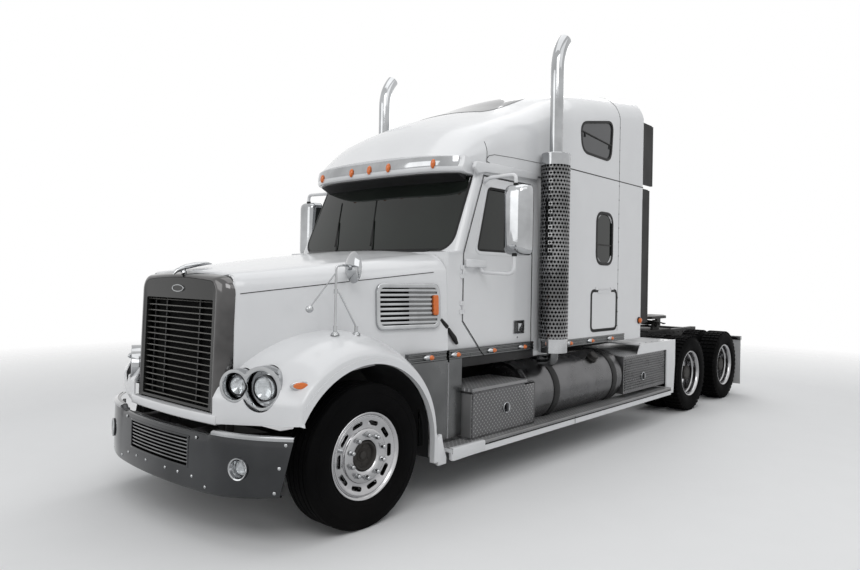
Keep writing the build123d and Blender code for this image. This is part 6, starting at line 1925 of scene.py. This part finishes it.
pair("running_board_rail", block((1.246, 1.2668), (0.812, 4.976), (0.384, 0.4135)), BOX_ALLOY, bevel=0.003)
pair("running_board_shadow", block((1.2655, 1.2665), (0.812, 4.976), (0.372, 0.384)), RUBBER)
pair("running_board_joint", block((1.2655, 1.2672), (2.648, 2.654), (0.324, 0.398)), RUBBER)
first_bolt = moved(rivet, pointing((1.16, station(4.29), 1.001), (0, 0, 1)))
fairing_bolts = row(first_bolt, 6, (0.0, 0.165, 0.0), CAST)
pair("fairing_bolts", fairing_bolts, CAST)


# ==== wheels and tyres ====

WHEEL_X = 1.073
DUAL_X = 0.735
DRIVE_AXLES = ((1, 2.3), (2, 3.62))
WHEEL_NUTS = 10
NUT_CIRCLE = 0.147
RIM_BACK = mm([
    (302, -117), (302, -108), (286, -102), (286, -57), (260, -32), (260, 32), (286, 57), (286, 102)
])
RIM_LIP = mm([(300, 106), (303, 110), (303, 115.5), (299, 118.5), (292, 116.5), (285, 110), (278, 100)])
RIM_INNER = mm([(246, 28), (246, -32), (272, -59), (272, -103)])
FRONT_FACE = mm([(273.5, 101), (270, 106.5), (266, 106.5), (255, 102), (240, 98), (215, 92.5), (200, 90.5)])
FRONT_FACE += mm([
    (191, 90.5), (188, 94), (186, 104), (182, 107), (176, 108), (150, 111), (124, 111), (112, 106)
])
FRONT_FACE += mm([(105, 98), (102, 88), (102, 70), (180, 70), (236, 66), (252, 56), (258, 40)])
DISH_FACE = mm([
    (273.5, 80), (272, 0), (268, -60), (262, -82), (250, -92), (236, -94), (190, -94), (184, -98)
])
DISH_FACE += mm([
    (130, -98), (124, -92), (104, -90), (100, -94), (100, -108), (236, -108), (262, -104), (286, -104)
])
SPIN = Matrix.Rotation(pi / 2, 4, "Y")


def on_axle(mesh, x, y):
    """A mesh modelled about Z with its outer face up, stood on the left of an axle with that face outward."""
    return moved(mesh, shift(x, y, AXLE_Z) @ SPIN)


def oval_holes(length, width, radius, low, high, count=10):
    """Cutters round Z: ovals whose long way follows the circle."""
    made = []
    for k in range(count):
        turn = Matrix.Rotation(2 * pi * (k + 0.5) / count, 4, "Z")
        inner, outer = radius - width / 2, radius + width / 2
        corners = [(inner, -length / 2), (outer, -length / 2), (outer, length / 2), (inner, length / 2)]
        bent = [(x - y * y / (2 * radius), y) for x, y in rounded(corners, width * 0.5, 5)]
        made.append(moved(plate(bent, low, high), turn))
    return made


def nut_mesh():
    """Capped wheel nut standing on Z."""
    rings = []
    for h, r in mm([(0, 19.5), (3, 20), (4, 17), (32, 16.5), (40, 12.5), (43, 6)]):
        sides = 6 if 0.004 <= h <= 0.032 else 12
        reach = [r * (1.0 if sides == 12 or k % 2 == 0 else 0.9) for k in range(12)]
        rings.append([
            (reach[k] * cos(radians(30 * k)), reach[k] * sin(radians(30 * k)), h) for k in range(12)
        ])
    return loft(rings)


front_rim = lathe(RIM_BACK + RIM_LIP + FRONT_FACE + RIM_INNER, 96)
front_rim = cut(front_rim, oval_holes(0.092, 0.032, 0.229, 0.02, 0.12))
front_rim = softened(front_rim, 0.003)
nuts = ring(moved(nut_mesh(), shift(NUT_CIRCLE, 0.0, 0.1095)), WHEEL_NUTS, CHROME)
nut_seat = lathe(mm([(0, 0), (22, 0), (21, 3), (0, 3)]), 12)
nut_seats = ring(moved(nut_seat, shift(NUT_CIRCLE, 0.0, 0.1085)), WHEEL_NUTS, CAST)
hub = lathe(mm([
    (0, 40), (101.5, 40), (101.5, 94), (97, 100), (91, 100), (87, 94), (83, 70), (30, 66), (26, 78), (0, 80)
]), 48)
hub_bolts = ring(moved(lathe(mm([(0, 0), (7, 0), (7, 6), (0, 7)]), 6), shift(0.062, 0.0, 0.0675)), 6, CAST)
hub_bore = lathe(mm([(0, 67), (48, 67), (48, 70.5), (0, 72.5)]), 40)
brake_drum = lathe(mm([
    (60, 30), (200, 30), (205, 20), (205, -100), (200, -110), (190, -110), (190, 10), (60, 12)
]), 56)
FRONT = "front_wheel_{side}"
rims = pair("front_rim", on_axle(front_rim, WHEEL_X, AXLE_Y), WHEEL_ALLOY, FRONT, angle=40)
pair("front_nuts", on_axle(nuts, WHEEL_X, AXLE_Y), CHROME, FRONT, angle=50)
pair("front_nut_seats", on_axle(nut_seats, WHEEL_X, AXLE_Y), CAST, FRONT)
pair("front_hub", on_axle(joined([hub, hub_bolts]), WHEEL_X, AXLE_Y), CAST, FRONT)
pair("front_hub_bore", on_axle(hub_bore, WHEEL_X, AXLE_Y), GREASE, FRONT)
pair("front_brake_drum", on_axle(brake_drum, WHEEL_X, AXLE_Y), CAST, FRONT)

SIDEWALL = mm([
    (289, 99), (304, 108.5), (318, 120), (330, 126.2), (332, 128.5), (336, 128.8), (339, 129.2),
    (352, 133.5), (375, 136.6), (397, 137.3), (420, 136.2), (433, 134.2), (434.5, 135.8), (439.5, 135.2),
    (441, 132.8), (455, 129.5), (470, 125.2), (484, 121.5)
])
RIB_TREAD = mm([
    (494, 117.5), (500.5, 111), (502.2, 102), (502.8, 78), (491, 75.5), (491, 69.5), (503, 67), (503, 32.5),
    (491, 30), (491, 24), (503, 21.5)
])
half_front = SIDEWALL + RIB_TREAD
rib_tyre = lathe(half_front + [(r, -h) for r, h in reversed(half_front)], 96)
tyres = pair("front_rubber", on_axle(rib_tyre, WHEEL_X, AXLE_Y), TYRE, FRONT, angle=38)
for rim, tyre, (_, end) in zip(rims, tyres, SIDES):
    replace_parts(rim, f"front_wheel_{end}")
    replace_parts(tyre, f"front_tyre_{end}")


def lug(points, low, high):
    """Tread block: outline of (height on the tread, distance round it) between two radii, smaller on top."""
    middle_h = sum(p[0] for p in points) / len(points)
    middle_y = sum(p[1] for p in points) / len(points)
    top = [
        (high - 0.0004, middle_y + (y - middle_y) * 0.9, middle_h + (h - middle_h) * 0.95)
        for h, y in points
    ]
    return loft([[(low, y, h) for h, y in points], top])


LUG_COUNT = 46
lug_set = joined([
    lug(mm([(64, -24), (119, -20), (119, 24), (66, 18)]), 0.48, 0.5026),
    lug(mm([(6, -20), (56, -26), (58, 18), (4, 24)]), 0.484, 0.503),
    lug(mm([(-56, -18), (-6, -26), (-4, 20), (-58, 26)]), 0.484, 0.503),
    lug(mm([(-119, -24), (-66, -18), (-64, 24), (-119, 20)]), 0.48, 0.5026),
    lug(mm([(117.5, -16), (123.5, -15), (123.5, 15), (117.5, 16)]), 0.455, 0.496),
    lug(mm([(-123.5, -16), (-117.5, -15), (-117.5, 15), (-123.5, 16)]), 0.455, 0.496),
])
lug_ring = ring(lug_set, LUG_COUNT, TYRE)
half_drive = SIDEWALL[:-1] + mm([(478, 120.5), (487, 112), (487.5, 60), (487.5, 30)])
drive_tyre = joined([lathe(half_drive + [(r, -h) for r, h in reversed(half_drive)], 80), lug_ring])
outer_dish = lathe(RIM_BACK + RIM_LIP + DISH_FACE + [(0.286, -0.117)], 96)
dish_holes = oval_holes(0.08, 0.046, 0.2125, -0.13, -0.07)
outer_dish = cut(outer_dish, dish_holes)
inner_rim = lathe(RIM_BACK + mm([(302, 108), (302, 117), (292, 115), (272, 103), (272, 59)]) + RIM_INNER, 72)
dish_disc = lathe(mm([
    (99, -97.5), (129, -97.5), (184, -97.5), (190, -93.5), (236, -93.5), (245, -92.5), (236, -91),
    (190, -91), (183, -94.5), (129, -94.5), (99, -94.5)
]), 72)
dish_disc = cut(dish_disc, dish_holes)
dish_nuts = moved(nuts, shift(0, 0, -0.204))
dish_hub = lathe(mm([
    (0, -110), (98, -110), (98, -60), (94, -52), (88, 40), (96, 44), (97, 60), (92, 68), (0, 74)
]), 48)
hub_studs = ring(moved(lathe(mm([(0, 0), (8, 0), (8, 9), (0, 10)]), 6), shift(0.08, 0.0, 0.068)), 8, CAST)
drum_deep = lathe(mm([
    (60, -190), (200, -190), (205, -200), (205, -330), (195, -340), (190, -330), (190, -205), (60, -205)
]), 56)
for axle, drive_y in DRIVE_AXLES:
    body = f"dual_{axle}_{{side}}"
    rims = pair(f"drive_dish_{axle}", on_axle(outer_dish, WHEEL_X, drive_y), WHEEL_ALLOY, body, angle=38)
    pair(f"drive_inner_rim_{axle}", on_axle(inner_rim, DUAL_X, drive_y), WHEEL_ALLOY, body, angle=38)
    pair(f"drive_disc_{axle}", on_axle(dish_disc, WHEEL_X, drive_y), CAST, body, angle=38)
    pair(f"drive_nuts_{axle}", on_axle(dish_nuts, WHEEL_X, drive_y), CHROME, body, angle=50)
    pair(f"drive_hub_{axle}", on_axle(joined([dish_hub, hub_studs]), WHEEL_X, drive_y), CAST, body)
    pair(f"drive_drum_{axle}", on_axle(drum_deep, WHEEL_X, drive_y), CAST, body)
    rubber = joined([on_axle(drive_tyre, WHEEL_X, drive_y), on_axle(drive_tyre, DUAL_X, drive_y)])
    tyres = pair(f"drive_rubber_{axle}", rubber, TYRE, body, angle=38)
    for rim, tyre, (_, end) in zip(rims, tyres, SIDES):
        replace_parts(rim, f"dual_wheels_{axle}_{end}")
        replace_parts(tyre, f"dual_tyres_{axle}_{end}")


# ==== chassis dressing ====

tank_shell = mm([
    (0, -300), (60, -297), (100, -280), (115, -250), (115, 250), (100, 280), (60, 297), (0, 300)
])
pair("air_tank", moved(moved(lathe(tank_shell, 32), ALONG), shift(0.25, station(5.1), 0.86)), CHASSIS)
BELLOWS = mm([
    (0, 0), (80, 0), (100, 10), (120, 30), (122, 50), (108, 70), (122, 90), (122, 110), (100, 130), (0, 130)
])
BRAKE_CAN = mm([
    (0, 0), (70, 0), (78, 12), (78, 60), (86, 64), (86, 76), (78, 80), (78, 150), (60, 168), (0, 170)
])
for axle, drive_y in DRIVE_AXLES:
    bellows = lathe(BELLOWS, 32)
    pair(f"air_spring_{axle}", moved(bellows, shift(0.54, drive_y + 0.26, 0.64)), RUBBER)
    pair(
        f"air_spring_bracket_{axle}", brick((0.432, 0.64), (drive_y + 0.18, drive_y + 0.34), (0.77, 0.79)),
        CHASSIS, bevel=0.003
    )
    pair(
        f"air_spring_arm_{axle}", brick((0.4, 0.62), (drive_y - 0.06, drive_y + 0.33), (0.61, 0.64)),
        CHASSIS, bevel=0.006
    )
    can = lathe(BRAKE_CAN, 28)
    pair(f"brake_chamber_{axle}", moved(can, pointing((0.33, drive_y + 0.11, 0.52), (0, 1, 0.1))), CHASSIS)
deck = plate([
    (-0.47, station(4.62)), (0.47, station(4.62)), (0.47, station(5.66)), (-0.47, station(5.66))
], 1.002, 1.012)
piece("deck_plate", deck, PLATE_LIT_FROM_ABOVE, bevel=0.002)
bolt_low = lathe(mm([(0, 0), (13, 0), (13, 4), (10, 10), (0, 11)]), 6)
rail_bolts = row(
    moved(bolt_low, pointing((0.432, station(5.7), 0.95), (1, 0, 0))), 14, (0.0, 0.165, 0.0), CHASSIS
)
rail_bolts_low = row(
    moved(bolt_low, pointing((0.432, station(5.7), 0.78), (1, 0, 0))), 14, (0.0, 0.165, 0.0), CHASSIS
)
pair("rail_bolts", joined([rail_bolts, rail_bolts_low]), CHASSIS)
lamp_bar = brick((-0.425, 0.425), (4.352, 4.396), (0.735, 0.875))
piece("tail_lamp_bar", lamp_bar, CHASSIS, bevel=0.006)
tail = lathe(mm([(0, 0), (56, 0), (56, 4), (50, 6.5), (0, 7)]), 32)
tail_lens = lathe(mm([(0, -1), (47, -1), (46, 4), (40, 6.2), (0, 7.2)]), 32)
for name, mesh, material, y in (
    ("tail_lamp_rims", tail, RUBBER, 4.391), ("tail_lamps", tail_lens, RED_LENS, 4.392)
):
    places = [pointing((x, y, 0.805), (0, 1, 0)) for x in (-0.34, -0.21, 0.21, 0.34)]
    piece(name, joined([moved(mesh, place) for place in places]), material)
flap_bar = brick((0.6, 1.235), (4.206, 4.219), (0.842, 0.896))
pair("mudflap_clamp", flap_bar, STAINLESS, bevel=0.003)
flap_bolts = row(moved(bolt_low, pointing((0.68, 4.2065, 0.868), (0, -1, 0))), 5, (0.125, 0.0, 0.0), CHROME)
flap_bolts_back = row(moved(bolt_low, pointing((0.68, 4.23, 0.62), (0, 1, 0))), 2, (0.48, 0.0, 0.0), CHROME)
pair("mudflap_bolts", joined([flap_bolts, flap_bolts_back]), CHROME)
pair("mudflap_foot_strip", brick((0.63, 1.225), (4.2295, 4.2335), (0.17, 0.215)), STAINLESS, bevel=0.002)

# ---- back wall of the sleeper ----
for k, x in enumerate((-0.72, -0.36, 0.0, 0.36, 0.72)):
    piece(
        f"sleeper_back_rib_{k}", brick((x - 0.022, x + 0.022), (0.956, 0.9685), (1.2, 2.83)), PAINT,
        bevel=0.006
    )
work_lamp_at = pointing((0.54, 0.962, 2.6), (0, 1, -0.25))
work_lamp = lathe(mm([(0, 0), (75, 0), (80, 10), (80, 50), (74, 58), (66, 56), (0, 52)]), 32)
piece("work_lamp_housing", moved(work_lamp, work_lamp_at), RUBBER)
work_glass = lathe(mm([(0, 50), (66, 53), (60, 60), (0, 66)]), 32)
piece("work_lamp_glass", moved(work_glass, work_lamp_at), LENS)
rail_grab = tube(mm([
    (-620, 960, 1350), (-620, 1030, 1370), (-620, 1030, 2100), (-620, 960, 2120)
]), 0.014, 12, 0.04)
piece("back_grab_rail", rail_grab, STAINLESS)
line_box = brick((-0.17, 0.17), (0.96, 1.01), (1.42, 1.56))
piece("air_line_box", line_box, CHASSIS, bevel=0.01, segments=3)
coupling = lathe(mm([(0, 0), (30, 0), (34, 6), (34, 20), (22, 30), (22, 45), (0, 47)]), 24)
for k, x in enumerate((-0.1, 0.0, 0.1)):
    piece(
        f"air_line_socket_{k}", moved(coupling, pointing((x, 1.008, 1.49), (0, 1, 0))),
        (RED_LENS, CAST, CHROME)[k]
    )
stay = placed([(1020, 4470, 1860), (860, 4640, 1860), (800, 4660, 1830), (800, 4470, 1800)])
pair("extender_stay", tube(stay, 0.013, 12, 0.03), RUBBER)
pair(
    "extender_stay_upper", tube([(1.052, station(4.468), 2.62), (0.94, station(4.475), 2.5)], 0.009, 10),
    RUBBER
)

# ---- fifth wheel dressing ----
release = tube(mm([(300, 2700, 1165), (520, 2700, 1150), (620, 2700, 1130)]), 0.01, 10, 0.02)
piece(
    "fifth_wheel_release", joined([release, tube([(0.62, 2.665, 1.13), (0.62, 2.735, 1.13)], 0.01, 10)]),
    CAST, "fifth_wheel"
)


# ==== cab inside ====

# rows of a pad's side: share of its height, how far it stands in from the plan outline
PAD_ROWS = [
    (0.0, 0.03), (0.1, 0.008), (0.3, 0.0), (0.55, 0.001), (0.78, 0.006), (0.92, 0.018), (1.0, 0.04),
    (1.0, 0.1), (1.0, 0.2)
]


def cushion(x, y, z, crown=0.03, waist=0.018):
    """Closed pad between limits: rounded in plan, sides drawn in at the middle of each edge, top crowned."""
    half_x, half_y = (x[1] - x[0]) / 2, (y[1] - y[0]) / 2
    mid_x, mid_y = (x[0] + x[1]) / 2, (y[0] + y[1]) / 2
    rings = []
    for share, inset in PAD_ROWS:
        outline = rounded(rect(half_x - inset, half_y - inset), 0.075, 8)
        points = []
        for px, py in outline:
            along = 1 - min(abs(px) / half_x, abs(py) / half_y) ** 2
            pull = 1 - waist * along * (1 - share * 0.3)
            dome = crown * (1 - (px / half_x) ** 2) * (1 - (py / half_y) ** 2) if share > 0.9 else 0.0
            points.append((mid_x + px * pull, mid_y + py * pull, z[0] + (z[1] - crown - z[0]) * share + dome))
        rings.append(points)
    return loft(rings)


SEAT_X = 0.48
SEAT_LEAN = Matrix.Rotation(radians(80), 4, "X")


def seat_parts(x):
    base = cushion((x - 0.255, x + 0.255), (station(1.57), station(2.07)), (1.33, 1.462))
    upright = cushion((-0.235, 0.235), (-0.34, 0.34), (-0.055, 0.055))
    back = moved(upright, shift(x, station(2.125), 1.8) @ SEAT_LEAN)
    pillow = cushion((-0.13, 0.13), (-0.085, 0.085), (-0.045, 0.045), 0.015)
    head = moved(pillow, shift(x, station(2.19), 2.11) @ SEAT_LEAN)
    return base, back, head


for side, end in SIDES:
    base, back, head = seat_parts(side * SEAT_X)
    for label, mesh in (("cushion", base), ("back", back), ("headrest", head)):
        made = piece(f"seat_{label}_{end}", mesh, FABRIC, angle=60)
        if label == "cushion" and side > 0:
            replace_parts(made, "seats")
    pedestal = lathe(mm([
        (0, 1060), (190, 1060), (185, 1080), (120, 1100), (115, 1300), (200, 1325), (200, 1330), (0, 1330)
    ]), 32)
    piece(f"seat_pedestal_{end}", moved(pedestal, shift(side * SEAT_X, station(1.82), 0)), CAST)
mattress = cushion((-0.995, 0.995), (station(3.63), station(4.375)), (1.34, 1.498), 0.02, 0.006)
bunk_pad = piece("bunk_mattress", mattress, FABRIC, angle=60)
piece("bunk_base", block((-0.995, 0.995), (3.625, 4.378), (1.106, 1.338)), PLASTIC, bevel=0.01)


# ==== stage, light and camera ====

STAGE_GREY = finish("studio_floor_grey", (0.82, 0.82, 0.82), 0.8, 0.9, shade=0.01, gloss=0.1)
tree = STAGE_GREY.node_tree
away = add_node(tree, "ShaderNodeVectorMath", {0: object_place(tree)}, operation="LENGTH").outputs["Value"]
fade = map_range(tree, away, 6.0, 13.0, 1.0, 0.0)
tree.links.new(fade, tree.nodes["Principled BSDF"].inputs["Alpha"])
floor = linked(
    "studio_floor", mesh_from([(-14, -14, 0), (14, -14, 0), (14, 14, 0), (-14, 14, 0)], [(0, 1, 2, 3)])
)
floor.data.materials.append(STAGE_GREY)


def area_light(name, place, aim, size, power):
    lamp = bpy.data.lights.new(name, "AREA")
    lamp.shape = "RECTANGLE"
    lamp.size, lamp.size_y = size
    lamp.energy = power
    linked(name, lamp).matrix_world = pointing(place, Vector(place) - Vector(aim))


area_light("key_light", (7.0, -9.0, 9.0), (0.0, -1.0, 1.6), (7.0, 5.0), 330)
area_light("front_light", (-3.0, -12.0, 5.0), (0.0, -1.0, 1.6), (7.0, 5.0), 140)
area_light("flank_light", (9.0, -1.0, 9.0), (0.0, 0.5, 1.6), (8.0, 5.0), 95)
area_light("back_light", (-4.0, 10.0, 8.0), (0.0, 2.0, 2.0), (7.0, 5.0), 230)
area_light("top_light", (0.0, 0.0, 12.0), (0.0, 0.0, 0.0), (10.0, 14.0), 450)

world = bpy.data.worlds.new("Studio")
scene.world = world
world.use_nodes = True
sky = world.node_tree
sky.nodes.clear()
path = sky.nodes.new("ShaderNodeLightPath")
bounced = maths(sky, "MAXIMUM", path.outputs["Is Glossy Ray"], path.outputs["Is Transmission Ray"])
seen = maths(sky, "MAXIMUM", path.outputs["Is Camera Ray"], bounced)
ambient = add_node(sky, "ShaderNodeBackground", {"Color": (0.86, 0.88, 0.9, 1.0), "Strength": 0.5})
white = add_node(sky, "ShaderNodeBackground", {"Color": (1.0, 1.0, 1.0, 1.0), "Strength": 1.0})
mixed = sky.nodes.new("ShaderNodeMixShader")
sky.links.new(seen, mixed.inputs[0])
sky.links.new(ambient.outputs[0], mixed.inputs[1])
sky.links.new(white.outputs[0], mixed.inputs[2])
world_out = sky.nodes.new("ShaderNodeOutputWorld")
sky.links.new(mixed.outputs[0], world_out.inputs[0])

CAMERA_PLACE = (4.7374, -6.6675, 1.7511)
CAMERA_YAW, CAMERA_PITCH, CAMERA_ROLL = 0.672, 0.0044, 0.0176
camera_data = bpy.data.cameras.new("camera")
camera_data.sensor_width = 36.0
camera_data.lens = 28.31
camera_data.shift_x = -0.0655
camera_data.shift_y = -0.0117
camera = linked("camera", camera_data)
ahead = Vector((-sin(CAMERA_YAW) * cos(CAMERA_PITCH), cos(CAMERA_YAW) * cos(CAMERA_PITCH), sin(CAMERA_PITCH)))
right = ahead.cross(Vector((0, 0, 1))).normalized()
above = right.cross(ahead)
rolled_right = right * cos(CAMERA_ROLL) + above * sin(CAMERA_ROLL)
rolled_up = above * cos(CAMERA_ROLL) - right * sin(CAMERA_ROLL)
camera.matrix_world = shift(*CAMERA_PLACE) @ along_axes(rolled_right, rolled_up, -ahead)
scene.camera = camera
scene.view_settings.view_transform = "Standard"
